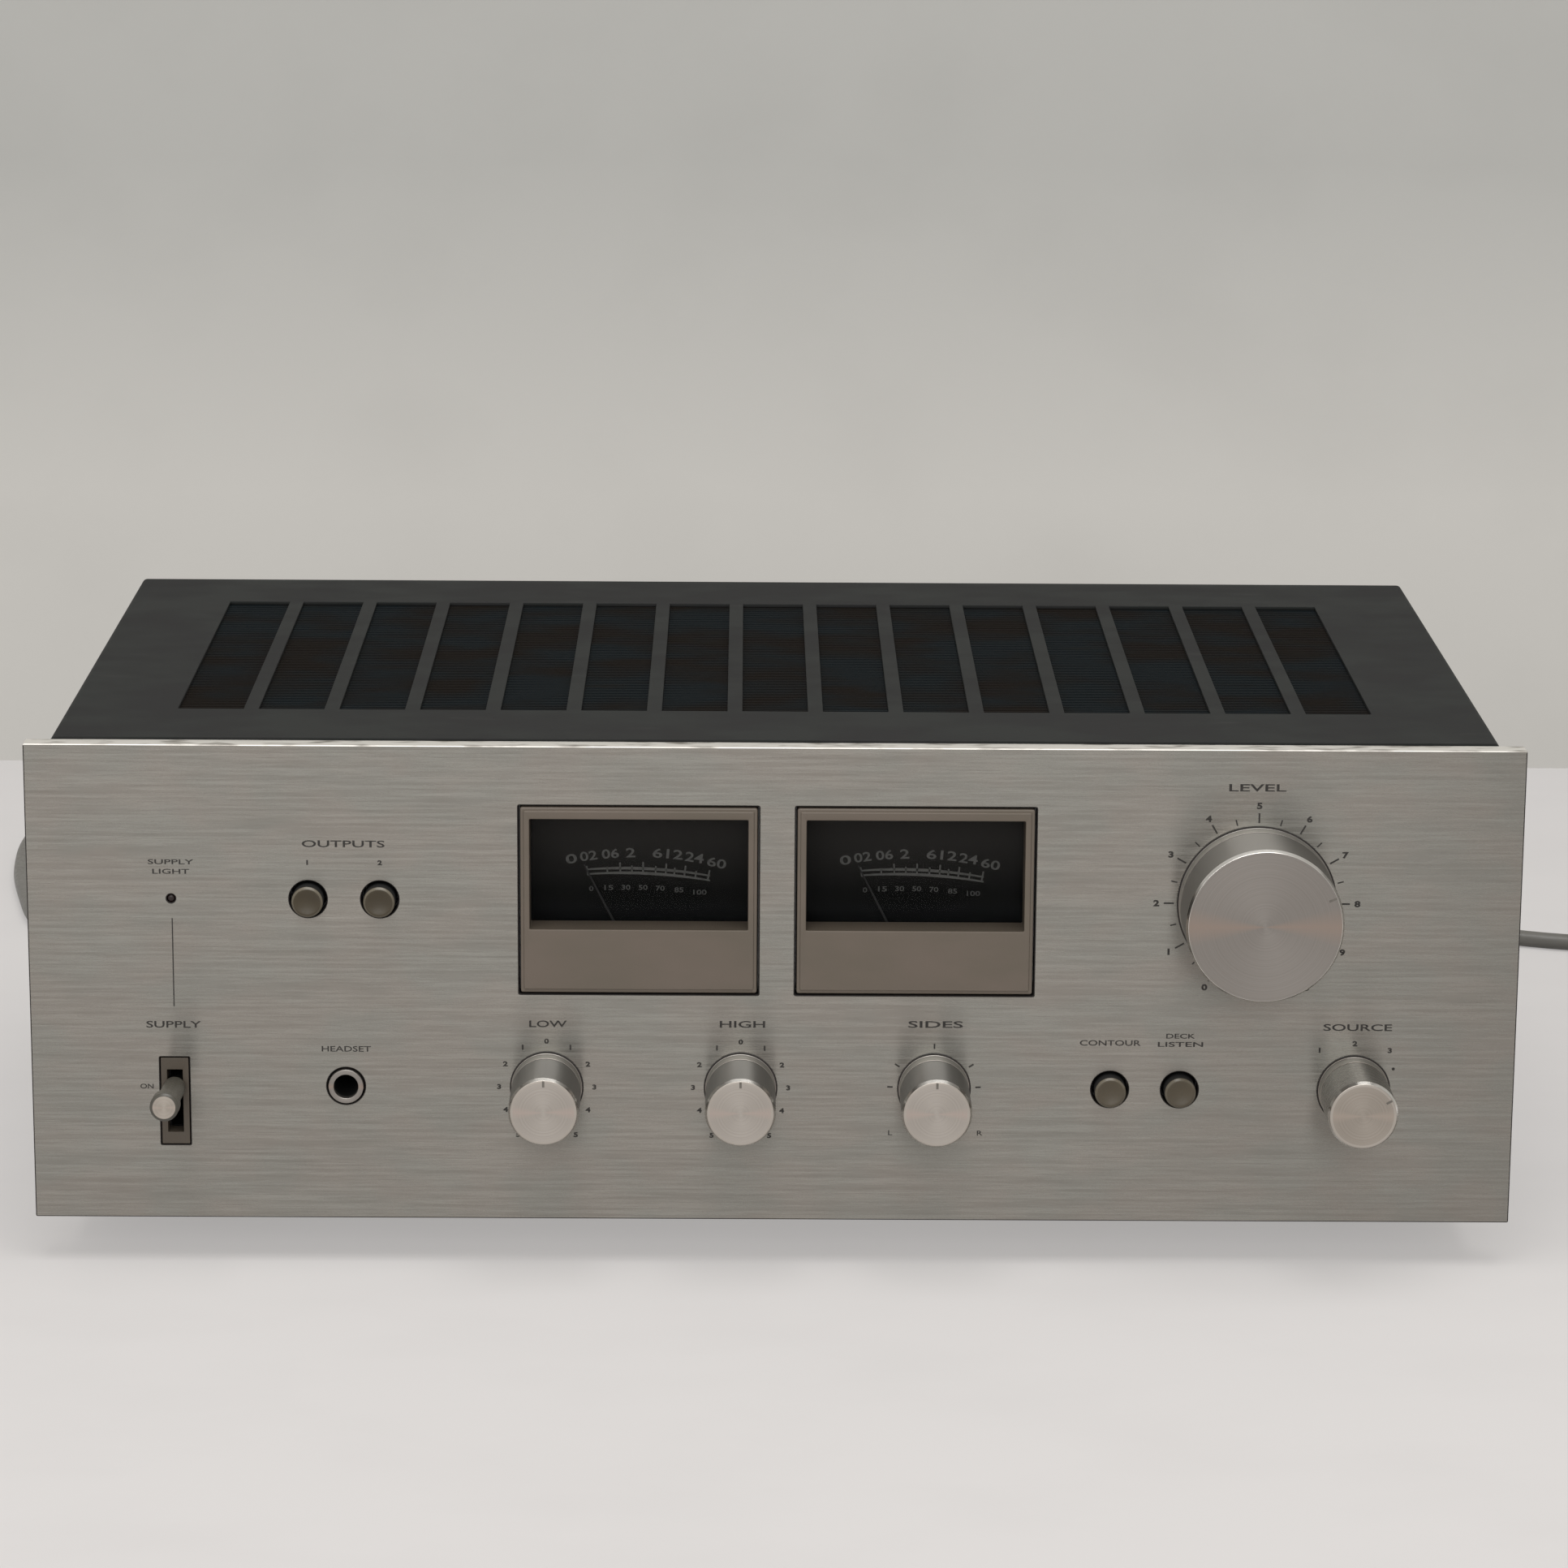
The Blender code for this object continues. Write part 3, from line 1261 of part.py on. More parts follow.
def build_speaker_terminals():
    """A moulded block with a walled bay for each screw terminal."""
    width = TERMINAL_COLUMNS * TERMINAL_PITCH + 2 * TERMINAL_MARGIN
    tall = TERMINAL_ROWS * TERMINAL_PITCH + 2 * TERMINAL_MARGIN
    front = REAR_OUTSIDE + SEAT_GAP
    base_rear = front + TERMINAL_BASE
    block = box(
        "speaker_terminal_block",
        place(TERMINALS_X - width / 2, front, TERMINALS_HEIGHT - tall / 2),
        place(TERMINALS_X + width / 2, TERMINAL_BACK, TERMINALS_HEIGHT + tall / 2),
        BLACK_PLASTIC,
    )
    bays = bmesh.new()
    screws = bmesh.new()
    half_bay = (TERMINAL_PITCH - TERMINAL_RIB) / 2
    for x, height in terminal_places():
        add_box(
            bays,
            place(x - half_bay, base_rear, height - half_bay),
            place(x + half_bay, TERMINAL_BACK + OVERRUN, height + half_bay),
        )
        add_cylinder(
            screws,
            place(x, base_rear - TERMINAL_SCREW_HEIGHT, height),
            place(x, base_rear + TERMINAL_SCREW_HEIGHT, height),
            TERMINAL_SCREW_RADIUS,
            SMALL_SIDES,
        )
    cut(block, add_tool("terminal_bays", mesh_from("terminal_bays", bays)))
    join(block, add_tool("terminal_screws", mesh_from("terminal_screws", screws)))


def build_ground_terminal():
    """A thumb nut on the rear panel's stud."""
    x, height = ground_place()
    bore = GROUND_STUD_RADIUS + SEAT_GAP
    profile = (
        (bore, GROUND_NUT_LENGTH),
        (GROUND_NUT_RADIUS, GROUND_NUT_LENGTH),
        (GROUND_NUT_RADIUS, 0.0),
        (bore, 0.0),
        (bore, GROUND_NUT_LENGTH),
    )
    turned(
        "ground_terminal", profile, place(x, REAR_OUTSIDE + SEAT_GAP, height), BACKWARD, NICKEL,
        SMALL_SIDES,
    )


# Mains cord

def build_strain_relief():
    """A tapered bush through the rear panel, with a flange on each side of it."""
    inner = REAR_INSIDE - SEAT_GAP
    outer = REAR_OUTSIDE + SEAT_GAP
    inside_end = inner - RELIEF_FLANGE
    origin = place(CORD_X, 0.0, CORD_EXIT_HEIGHT)
    profile = (
        (0.0, RELIEF_TIP_DEPTH),
        (RELIEF_TIP_RADIUS, RELIEF_TIP_DEPTH),
        (RELIEF_NECK_RADIUS, outer + RELIEF_FLANGE),
        (RELIEF_FLANGE_RADIUS, outer + RELIEF_FLANGE),
        (RELIEF_FLANGE_RADIUS, outer),
        (RELIEF_NECK_RADIUS, outer),
        (RELIEF_NECK_RADIUS, inner),
        (RELIEF_FLANGE_RADIUS, inner),
        (RELIEF_FLANGE_RADIUS, inside_end),
        (0.0, inside_end),
    )
    turned("cord_strain_relief", profile, origin, BACKWARD, BLACK_RUBBER, SMALL_SIDES)


def smooth_line(points, spacing):
    """Points a set spacing apart along a smooth curve through the route's points."""
    points = [Vector(point) for point in points]
    ends = [2 * points[0] - points[1]] + points + [2 * points[-1] - points[-2]]
    fine = []
    steps = 40
    for before, first, second, after in zip(ends, ends[1:], ends[2:], ends[3:]):
        for step in range(steps):
            share = step / steps
            fine.append(
                (
                    2 * first
                    + (second - before) * share
                    + (2 * before - 5 * first + 4 * second - after) * share**2
                    + (3 * first - before - 3 * second + after) * share**3
                )
                / 2
            )
    fine.append(points[-1])
    lengths = [0.0]
    for first, second in zip(fine, fine[1:]):
        lengths.append(lengths[-1] + (second - first).length)
    count = max(2, round(lengths[-1] / spacing))
    line = []
    at = 0
    for number in range(count + 1):
        goal = lengths[-1] * number / count
        while at < len(lengths) - 2 and lengths[at + 1] < goal:
            at += 1
        share = (goal - lengths[at]) / (lengths[at + 1] - lengths[at])
        line.append(fine[at].lerp(fine[at + 1], share))
    return line


def tube(name, points, radius, resolution, finish):
    """A round cord along a line of points, with flat ends."""
    curve = bpy.data.curves.new(name, "CURVE")
    curve.dimensions = "3D"
    curve.bevel_depth = radius
    curve.bevel_resolution = resolution
    curve.use_fill_caps = True
    line = curve.splines.new("POLY")
    line.points.add(len(points) - 1)
    for point, where in zip(line.points, points):
        point.co = (*where, 1.0)
    return add_part(name, curve, finish)


def coil_line():
    """The coil's centre line: in along the table, over the inmost turn, and out on top."""
    radius = CORD_DIAMETER / 2
    pitch = CORD_DIAMETER + COIL_TURN_GAP
    inmost = COIL_MIDDLE_RADIUS - pitch * COIL_TURNS / 4
    steps = round(COIL_TURNS * COIL_POINTS_PER_TURN)
    centre_x, centre_y = COIL_CENTRE
    line = []
    for step in range(steps + 1):
        turn = COIL_TURNS * step / steps
        from_middle = turn - COIL_TURNS / 2
        around = math.pi / 2 - math.tau * turn
        reach = inmost + pitch * abs(from_middle)
        climb = min(max(from_middle * 2 + 0.5, 0.0), 1.0)
        rise = climb * climb * (3 - 2 * climb)
        line.append(
            Vector(
                (
                    centre_x + reach * math.cos(around),
                    centre_y + reach * math.sin(around),
                    CORD_LIFT + radius + pitch * rise,
                )
            )
        )
    first_way = (line[0] - line[1]).normalized()
    first_way.z = 0.0
    last_way = (line[-1] - line[-2]).normalized()
    last_way.z = 0.0
    return (
        [line[0] + first_way * COIL_LEAD, line[0] + first_way * COIL_LEAD / 2]
        + line
        + [line[-1] + last_way * COIL_TAIL / 2, line[-1] + last_way * COIL_TAIL]
    )


def least_gap(line, diameter):
    """The least clear distance between stretches of a line that aren't neighbours along it."""
    apart = COIL_POINTS_PER_TURN // 2
    least = math.inf
    for number, here in enumerate(line):
        for first, second in zip(line[number + apart:], line[number + apart + 1:]):
            way = second - first
            share = min(max((here - first).dot(way) / way.length_squared, 0.0), 1.0)
            least = min(least, (here - first - way * share).length - diameter)
    return least


def build_cord():
    coil = coil_line()
    start = place(CORD_X, RELIEF_TIP_DEPTH + SEAT_GAP, CORD_EXIT_HEIGHT)
    into_coil = (coil[0] - coil[1]).normalized()
    coil_face = coil[0] + into_coil * SEAT_GAP
    straight_in = coil_face + into_coil * CORD_DIAMETER
    straight_out = start + Vector((0.0, CORD_DIAMETER, 0.0))
    route = [start, straight_out] + list(CORD_ROUTE) + [straight_in, coil_face]
    line = smooth_line(route, CORD_POINT_SPACING)
    for point in line:
        point.z = max(point.z, CORD_DIAMETER / 2 + CORD_LIFT)
    tube("power_cord", line, CORD_DIAMETER / 2, 2, CORD_PLASTIC)
    tube("cord_coil", coil, CORD_DIAMETER / 2, 1, CORD_PLASTIC)
    gap = least_gap(coil, CORD_DIAMETER)
    print(f"cord_coil: least gap to itself {gap / MM:.2f} mm, wanted {LEAST_COIL_GAP / MM:.2f} mm")
    build_plug(coil[-1], (coil[-1] - coil[-2]).normalized())


def build_plug(cord_end, way):
    """A flat two-pin plug lying on the table, its cord entry at the coil's free end."""
    turn = (0.0, 0.0, math.atan2(way.y, way.x) - math.pi / 2)
    origin = cord_end + way * SEAT_GAP
    half = PLUG_WIDTH / 2
    neck = PLUG_NECK_WIDTH / 2
    loop = [
        (-neck, 0.0),
        (neck, 0.0),
        (half, PLUG_SHOULDER),
        (half, PLUG_LENGTH),
        (-half, PLUG_LENGTH),
        (-half, PLUG_SHOULDER),
    ]
    thickness = 2 * (origin.z - CORD_LIFT)
    plug = add_part(
        "power_plug", outline_mesh("power_plug", [loop], thickness), CORD_PLASTIC, origin, turn
    )
    edges = plug.modifiers.new("soft_edges", "BEVEL")
    edges.width = PLUG_EDGE
    edges.segments = 1
    pins = bmesh.new()
    for side in (-1, 1):
        across = side * PIN_SPACING / 2
        add_cylinder(
            pins,
            (across, PLUG_LENGTH - PIN_ROOT, 0.0),
            (across, PLUG_LENGTH + PIN_LENGTH, 0.0),
            PIN_RADIUS,
            SMALL_SIDES,
        )
    join(plug, add_tool("plug_pins", mesh_from("plug_pins", pins), origin, turn))


def main():
    build_front_panel()
    build_front_subpanel()
    build_chassis_pan()
    build_rear_panel()
    build_top_cover()
    build_feet()
    for control in control_places():
        build_control(*control)
    for button in button_places():
        build_button(*button)
    build_switch_bank("speaker_switch_bank", SPEAKER_A_X, SPEAKER_B_X, UPPER_ROW_HEIGHT)
    build_switch_bank("monitor_switch_bank", LOUDNESS_X, MONITOR_X, LOWER_ROW_HEIGHT)
    build_phones_jack()
    build_power_indicator()
    build_power_switch()
    build_meter("left", METER_LEFT_X)
    build_meter("right", METER_RIGHT_X)
    build_transformer()
    build_heat_sink()
    build_boards()
    build_input_jacks()
    build_speaker_terminals()
    build_ground_terminal()
    build_strain_relief()
    build_cord()


main()
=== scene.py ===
"""Integrated amplifier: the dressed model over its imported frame, its light and its camera.

Lengths inside the sub-assemblies are millimetres in the front panel's own terms: x from the
panel's middle, depth behind its front face, height over its bottom edge.
"""

import logging
import math
from dataclasses import dataclass
from enum import Enum
from typing import Any, Callable, Iterable, Sequence

import bmesh
import bpy
from mathutils import Matrix, Vector


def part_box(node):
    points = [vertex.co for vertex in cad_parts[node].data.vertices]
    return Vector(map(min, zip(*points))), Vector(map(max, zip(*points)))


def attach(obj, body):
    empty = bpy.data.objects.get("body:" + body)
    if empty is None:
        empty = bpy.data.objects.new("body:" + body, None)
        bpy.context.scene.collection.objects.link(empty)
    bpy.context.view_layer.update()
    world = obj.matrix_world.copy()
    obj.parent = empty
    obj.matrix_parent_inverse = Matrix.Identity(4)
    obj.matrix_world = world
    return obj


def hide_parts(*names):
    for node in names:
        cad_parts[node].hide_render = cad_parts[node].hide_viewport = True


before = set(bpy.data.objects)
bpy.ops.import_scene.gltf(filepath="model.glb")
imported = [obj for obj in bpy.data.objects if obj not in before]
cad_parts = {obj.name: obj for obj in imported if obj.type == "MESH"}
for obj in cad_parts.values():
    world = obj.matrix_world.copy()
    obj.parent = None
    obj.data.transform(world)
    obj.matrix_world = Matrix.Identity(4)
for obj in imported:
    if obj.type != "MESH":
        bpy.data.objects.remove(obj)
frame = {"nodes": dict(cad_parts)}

LOG = logging.getLogger("amplifier")
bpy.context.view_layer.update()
MM = 0.001
AT_AXIS = 1e-4
INK_THICK = 0.06
HANDS = ("left", "right")
PANEL_LOW, PANEL_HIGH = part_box("front_panel")

Pair = tuple[float, float]
Triple = tuple[float, float, float]
Loop = list[Pair]


def at(x: float, depth: float, height: float) -> Vector:
    """Turn a place in panel millimetres into a place in the frame.

    Args:
        x: Distance right of the panel's middle.
        depth: Distance behind the panel's front face.
        height: Distance over the panel's bottom edge.

    Returns:
        The place in metres.
    """
    return Vector((x * MM, PANEL_LOW.y + depth * MM, PANEL_LOW.z + height * MM))


def extent(node: str) -> tuple[Triple, Triple]:
    """Read a CAD node's box in panel millimetres.

    Args:
        node: The node's name.

    Returns:
        Its lowest and highest x, depth and height.
    """
    low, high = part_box(node)
    base = Vector((0.0, PANEL_LOW.y, PANEL_LOW.z))
    return tuple((low - base) / MM), tuple((high - base) / MM)


def middle(node: str) -> Pair:
    """Read where a CAD node's centre stands on the panel.

    Args:
        node: The node's name.

    Returns:
        Its x and height in panel millimetres.
    """
    low, high = extent(node)
    return (low[0] + high[0]) / 2, (low[2] + high[2]) / 2


def spin(degrees: float, axis: str = "Z") -> Matrix:
    """Give a turn about one axis."""
    return Matrix.Rotation(math.radians(degrees), 4, axis)


def clock_place(x: float, height: float, radius: float, degrees: float) -> Pair:
    """Give the place on a ring round a centre, at an angle clockwise from the top."""
    angle = math.radians(degrees)
    return x + radius * math.sin(angle), height + radius * math.cos(angle)


# Names shared with the record

class Slot(str, Enum):
    """The record's material slots that the scene's own pieces take."""

    PANEL = "brushed_panel"
    KNOB = "spun_knob"
    PAINT = "painted_steel"
    PLATED = "plated_steel"
    TAUPE = "taupe_plastic"
    BUTTON = "button_plastic"
    BLACK = "black_plastic"
    WINDOW = "clear_window"
    NEEDLE = "needle_paint"
    RUBBER = "black_rubber"
    CORD = "cord_plastic"
    NICKEL = "nickel"
    LAMP = "red_lamp"


class Facing(Enum):
    """Which way a turned or flat shape looks: its own z axis leaves the case that way."""

    FRONT = ((1, 0, 0), (0, 0, -1), (0, 1, 0))
    REAR = ((-1, 0, 0), (0, 0, 1), (0, 1, 0))
    UP = ((1, 0, 0), (0, 1, 0), (0, 0, 1))
    DOWN = ((1, 0, 0), (0, -1, 0), (0, 0, -1))
    LEFT = ((0, 0, -1), (-1, 0, 0), (0, 1, 0))
    RIGHT = ((0, 0, 1), (1, 0, 0), (0, 1, 0))

    @property
    def turn(self) -> Matrix:
        """The facing as a rotation."""
        return Matrix(self.value).to_4x4()


CASE = "case"


# Node trees

def add_node(
    tree: bpy.types.NodeTree, kind: str, inputs: dict[Any, Any] | None = None, **settings: Any
) -> bpy.types.Node:
    """Add a node, set its properties, and fill its inputs with values or links.

    Args:
        tree: The tree that it goes into.
        kind: The node's type.
        inputs: A value or an output socket for each input, by name or number.
        **settings: The node's own properties.

    Returns:
        The new node.
    """
    made = tree.nodes.new(kind)
    for name, value in settings.items():
        setattr(made, name, value)
    for key, value in (inputs or {}).items():
        socket = made.inputs[key]
        if isinstance(value, bpy.types.NodeSocket):
            tree.links.new(value, socket)
        else:
            socket.default_value = value
    return made


def srgb(code: str) -> tuple[float, float, float, float]:
    """Turn a hex sRGB colour into the linear values that shaders use.

    Args:
        code: The colour as "#rrggbb".

    Returns:
        Linear red, green, blue and an alpha of 1.
    """
    shares = [int(code[place:place + 2], 16) / 255 for place in (1, 3, 5)]
    linear = [share / 12.92 if share <= 0.04045 else ((share + 0.055) / 1.055) ** 2.4
              for share in shares]
    return (*linear, 1.0)


class Mix:
    """A material being mixed: its tree, its shader and the piece's own coordinates."""

    def __init__(self, name: str, colour: str, roughness: float, metallic: float = 0.0) -> None:
        """Start from an even colour and gloss.

        Args:
            name: The material's name.
            colour: Its hex sRGB colour.
            roughness: Its roughness.
            metallic: 1 for bare metal.
        """
        self.material = bpy.data.materials.new(name)
        self.material.use_nodes = True
        self.tree = self.material.node_tree
        self.shader = self.tree.nodes["Principled BSDF"]
        self.set(**{"Base Color": srgb(colour), "Roughness": roughness, "Metallic": metallic})
        self.place = add_node(self.tree, "ShaderNodeTexCoord").outputs["Object"]

    def set(self, **values: Any) -> None:
        """Set values on the shader's own sockets."""
        for name, value in values.items():
            self.shader.inputs[name].default_value = value

    def lead(self, value: bpy.types.NodeSocket, name: str) -> None:
        """Lead a value to one of the shader's sockets."""
        self.tree.links.new(value, self.shader.inputs[name])

    def pattern(
        self, size: Triple, low: float = 0.35, high: float = 0.65, detail: float = 2.0,
        shift: Triple = (0.0, 0.0, 0.0),
    ) -> bpy.types.NodeSocket:
        """Make soft patches of a real size.

        Args:
            size: A patch's millimetres along x, y and z.
            low: The noise value that becomes 0.
            high: The noise value that becomes 1.
            detail: How many finer octaves ride on the patches.
            shift: A move of the pattern, in patches.

        Returns:
            A value from 0 to 1.
        """
        scale = tuple(1.0 / (length * MM) for length in size)
        spread = add_node(
            self.tree, "ShaderNodeMapping",
            {"Vector": self.place, "Scale": scale, "Location": shift},
        )
        noise = add_node(
            self.tree, "ShaderNodeTexNoise",
            {"Vector": spread.outputs[0], "Scale": 1.0, "Detail": detail},
        )
        return self.span(noise.outputs[0], low, high)

    def span(
        self, value: bpy.types.NodeSocket, low: float, high: float,
        first: float = 0.0, last: float = 1.0,
    ) -> bpy.types.NodeSocket:
        """Spread a value from one range over another, held at its ends.

        Args:
            value: The value.
            low: Its value that becomes first.
            high: Its value that becomes last.
            first: The result at low.
            last: The result at high.

        Returns:
            The value in its new range.
        """
        made = add_node(
            self.tree, "ShaderNodeMapRange",
            {"Value": value, "From Min": low, "From Max": high, "To Min": first, "To Max": last},
        )
        return made.outputs[0]

    def faint(self, value: bpy.types.NodeSocket, most: float) -> bpy.types.NodeSocket:
        """Weaken a value from 0 to 1, so that it reaches a smaller share."""
        return self.span(value, 0.0, 1.0, 0.0, most)

    def height(self, axis: int) -> bpy.types.NodeSocket:
        """Give one of the piece's own coordinates, in metres."""
        return add_node(self.tree, "ShaderNodeSeparateXYZ", {0: self.place}).outputs[axis]

    def blend(self, share: Any, first: Any, second: Any) -> bpy.types.NodeSocket:
        """Mix two colours.

        Args:
            share: How much of the second, from 0 to 1.
            first: The first colour, as a socket or a hex sRGB code.
            second: The second colour, likewise.

        Returns:
            The mixed colour.
        """
        ends = [srgb(end) if isinstance(end, str) else end for end in (first, second)]
        made = add_node(
            self.tree, "ShaderNodeMix", {0: share, 6: ends[0], 7: ends[1]}, data_type="RGBA"
        )
        return made.outputs[2]

    def tones(self, share: Any, first: Any, second: Any) -> None:
        """Colour the shader with a blend of two colours."""
        self.lead(self.blend(share, first, second), "Base Color")

    def rough(self, value: bpy.types.NodeSocket, low: float, high: float) -> None:
        """Let the roughness follow a value from 0 to 1, between two ends."""
        self.lead(self.span(value, 0.0, 1.0, low, high), "Roughness")

    def bump(self, value: bpy.types.NodeSocket, deep: float) -> None:
        """Raise and sink the surface by a value from 0 to 1 times a depth in millimetres."""
        relief = add_node(self.tree, "ShaderNodeBump", {"Height": value, "Distance": deep * MM})
        self.lead(relief.outputs[0], "Normal")

    def brushed(self, amount: float) -> None:
        """Stretch reflections across the grooves that the brush map follows.

        Args:
            amount: How far they stretch, from 0 to 1.
        """
        self.set(Anisotropic=amount)
        along = add_node(self.tree, "ShaderNodeTangent", direction_type="UV_MAP", uv_map="brush")
        self.lead(along.outputs[0], "Tangent")


# Finishes

@dataclass(frozen=True)
class BrushedAluminium:
    """Anodised aluminium brushed sideways: warm grey, with fine streaks and soft patches."""

    name: str = "brushed_aluminium"
    colour: str = "#827e78"
    streak: str = "#908d87"
    cool: str = "#80807a"
    warm: str = "#87817a"
    roughness: float = 0.26
    groove: Triple = (9.0, 9.0, 0.24)
    band: Triple = (48.0, 48.0, 0.9)
    patch: Triple = (20.0, 20.0, 12.0)
    groove_deep: float = 0.0012
    stretch: float = 0.97

    def mix(self) -> bpy.types.Material:
        """Mix the finish."""
        mix = Mix(self.name, self.colour, self.roughness, 1.0)
        streaks = mix.pattern(self.groove, 0.30, 0.70, 3.0)
        bands = mix.pattern(self.band, 0.36, 0.64, 3.0)
        patches = mix.pattern(self.patch, 0.40, 0.60)
        lines = mix.blend(0.5, streaks, bands)
        fine = mix.blend(lines, self.colour, self.streak)
        mix.tones(0.4, fine, mix.blend(patches, self.cool, self.warm))
        mix.rough(lines, self.roughness - 0.04, self.roughness + 0.05)
        mix.bump(streaks, self.groove_deep)
        mix.brushed(self.stretch)
        return mix.material


@dataclass(frozen=True)
class CutEdge:
    """A bright machined edge, given to the panel's top edge only: partly a real polished edge,
    partly a painted highlight from the light above.
    """

    name: str = "cut_edge_highlight"
    colour: str = "#efece6"
    nick: str = "#a39e96"
    roughness: float = 0.55

    def mix(self) -> bpy.types.Material:
        """Mix the finish."""
        mix = Mix(self.name, self.colour, self.roughness, 1.0)
        mix.tones(mix.pattern((9.0, 3.0, 3.0), 0.52, 0.72), self.colour, self.nick)
        return mix.material


@dataclass(frozen=True)
class SpunAluminium:
    """Aluminium turned on a lathe: fine rings, with a warm wedge either side of the axis painted as
    a highlight, standing in for the turned face's reflection.
    """

    name: str
    colour: str
    pale: str
    # The colour of the painted highlight wedge.
    warm: str
    roughness: float = 0.40
    amount: float = 0.3
    rings_per_metre: float = 2600.0
    wedge: float = 0.9
    wedge_share: float = 1.0 / 22

    def mix(self) -> bpy.types.Material:
        """Mix the finish."""
        mix = Mix(self.name, self.colour, self.roughness, 1.0)
        down, around, _ = add_node(
            mix.tree, "ShaderNodeSeparateXYZ",
            {0: add_node(mix.tree, "ShaderNodeUVMap", uv_map="brush").outputs[0]},
        ).outputs
        turned = add_node(
            mix.tree, "ShaderNodeTexNoise",
            {"W": down, "Scale": self.rings_per_metre, "Detail": 2.0}, noise_dimensions="1D",
        )
        lines = mix.span(turned.outputs[0], 0.3, 0.7)
        turn = add_node(
            mix.tree, "ShaderNodeMath", {0: around, 1: Shape.AROUND / 4}, operation="PINGPONG"
        ).outputs[0]
        # Painted highlight: a warm wedge either side of the axis, fixed to the piece, stands in for
        # the reflection that the turned face shows.
        wedge = mix.span(turn, 0.0, Shape.AROUND * self.wedge_share, self.wedge, 0.0)
        mix.tones(wedge, mix.blend(lines, self.colour, self.pale), self.warm)
        mix.rough(lines, self.roughness - 0.03, self.roughness + 0.05)
        mix.brushed(self.amount)
        return mix.material


@dataclass(frozen=True)
class Moulding:
    """Moulded plastic: an even colour with faint flow marks and a fine grain."""

    name: str
    colour: str
    shade: str
    roughness: float = 0.45
    grain: float = 0.35
    relief: float = 0.01

    def mix(self) -> bpy.types.Material:
        """Mix the finish."""
        mix = Mix(self.name, self.colour, self.roughness)
        mix.tones(mix.pattern((22.0, 22.0, 9.0), 0.35, 0.7), self.colour, self.shade)
        grain = mix.pattern((self.grain,) * 3, 0.3, 0.7)
        mix.rough(grain, self.roughness - 0.06, self.roughness + 0.08)
        mix.bump(grain, self.relief)
        return mix.material


@dataclass(frozen=True)
class PaintedSteel:
    """Dark charcoal paint on steel: a fine orange peel, dust and a few pale rubs."""

    name: str = "charcoal_paint"
    colour: str = "#282828"
    shade: str = "#222423"
    rub: str = "#323231"
    roughness: float = 0.58
    sheen: float = 0.12
    peel_deep: float = 0.012

    def mix(self) -> bpy.types.Material:
        """Mix the finish."""
        mix = Mix(self.name, self.colour, self.roughness)
        mix.set(**{"Specular IOR Level": self.sheen})
        clouds = mix.pattern((30.0, 22.0, 30.0), 0.38, 0.62)
        rubs = mix.pattern((26.0, 7.0, 12.0), 0.66, 0.80, 5.0, (3.0, 1.0, 0.0))
        mix.tones(rubs, mix.blend(clouds, self.shade, self.colour), self.rub)
        mix.rough(clouds, self.roughness - 0.05, self.roughness + 0.07)
        mix.bump(mix.pattern((0.9, 0.9, 0.9), 0.3, 0.7), self.peel_deep)
        return mix.material


@dataclass(frozen=True)
class PlatedSteel:
    """Zinc on sheet steel or nickel on brass: a cool grey with faint cloudy crystals."""

    name: str = "zinc_plating"
    colour: str = "#9c9d9c"
    shade: str = "#949697"
    roughness: float = 0.36
    crystal: float = 4.0

    def mix(self) -> bpy.types.Material:
        """Mix the finish."""
        mix = Mix(self.name, self.colour, self.roughness, 1.0)
        cells = mix.pattern((self.crystal,) * 3, 0.3, 0.7, 3.0)
        mix.tones(cells, self.colour, self.shade)
        mix.rough(cells, self.roughness - 0.02, self.roughness + 0.03)
        return mix.material


@dataclass(frozen=True)
class ClearWindow:
    """A thin clear window over a dial, with a little haze."""

    name: str = "clear_window"
    colour: str = "#0c0c0c"
    alpha: float = 0.07
    roughness: float = 0.06
    smooth: float = 0.04
    hazy: float = 0.10

    def mix(self) -> bpy.types.Material:
        """Mix the finish."""
        mix = Mix(self.name, self.colour, self.roughness)
        mix.rough(mix.pattern((14.0, 3.0, 5.0), 0.4, 0.7, 3.0), self.smooth, self.hazy)
        mix.set(**{"Alpha": self.alpha, "IOR": 1.49, "Specular IOR Level": 0.3})
        return mix.material


@dataclass(frozen=True)
class DialCard:
    """A meter's card: charcoal at the top, nearly black below, with a faint pale foot."""

    name: str = "dial_card"
    top: str = "#373533"
    low: str = "#010201"
    foot: str = "#090b0c"
    fibre: str = "#050505"
    top_height: float = 104.0
    low_height: float = 84.0
    foot_top: float = 82.0
    foot_low: float = 79.5

    def mix(self) -> bpy.types.Material:
        """Mix the finish."""
        mix = Mix(self.name, self.top, 0.7)
        mix.set(**{"Specular IOR Level": 0.1})
        rise = mix.height(2)
        low, high, start, end = (
            PANEL_LOW.z + height * MM
            for height in (self.low_height, self.top_height, self.foot_top, self.foot_low)
        )
        fade = mix.blend(mix.span(rise, low, high), self.low, self.top)
        grey = mix.blend(mix.span(rise, start, end), fade, self.foot)
        fibre = mix.pattern((0.5, 0.5, 0.5), 0.3, 0.7)
        mix.tones(mix.faint(fibre, 0.2), grey, self.fibre)
        return mix.material


@dataclass(frozen=True)
class Ink:
    """Screen print: a thin matt ink, slightly uneven."""

    name: str
    colour: str
    worn: str
    roughness: float = 0.6

    def mix(self) -> bpy.types.Material:
        """Mix the finish."""
        mix = Mix(self.name, self.colour, self.roughness)
        mix.tones(mix.pattern((1.6, 1.6, 0.8), 0.5, 0.8, 3.0), self.colour, self.worn)
        return mix.material


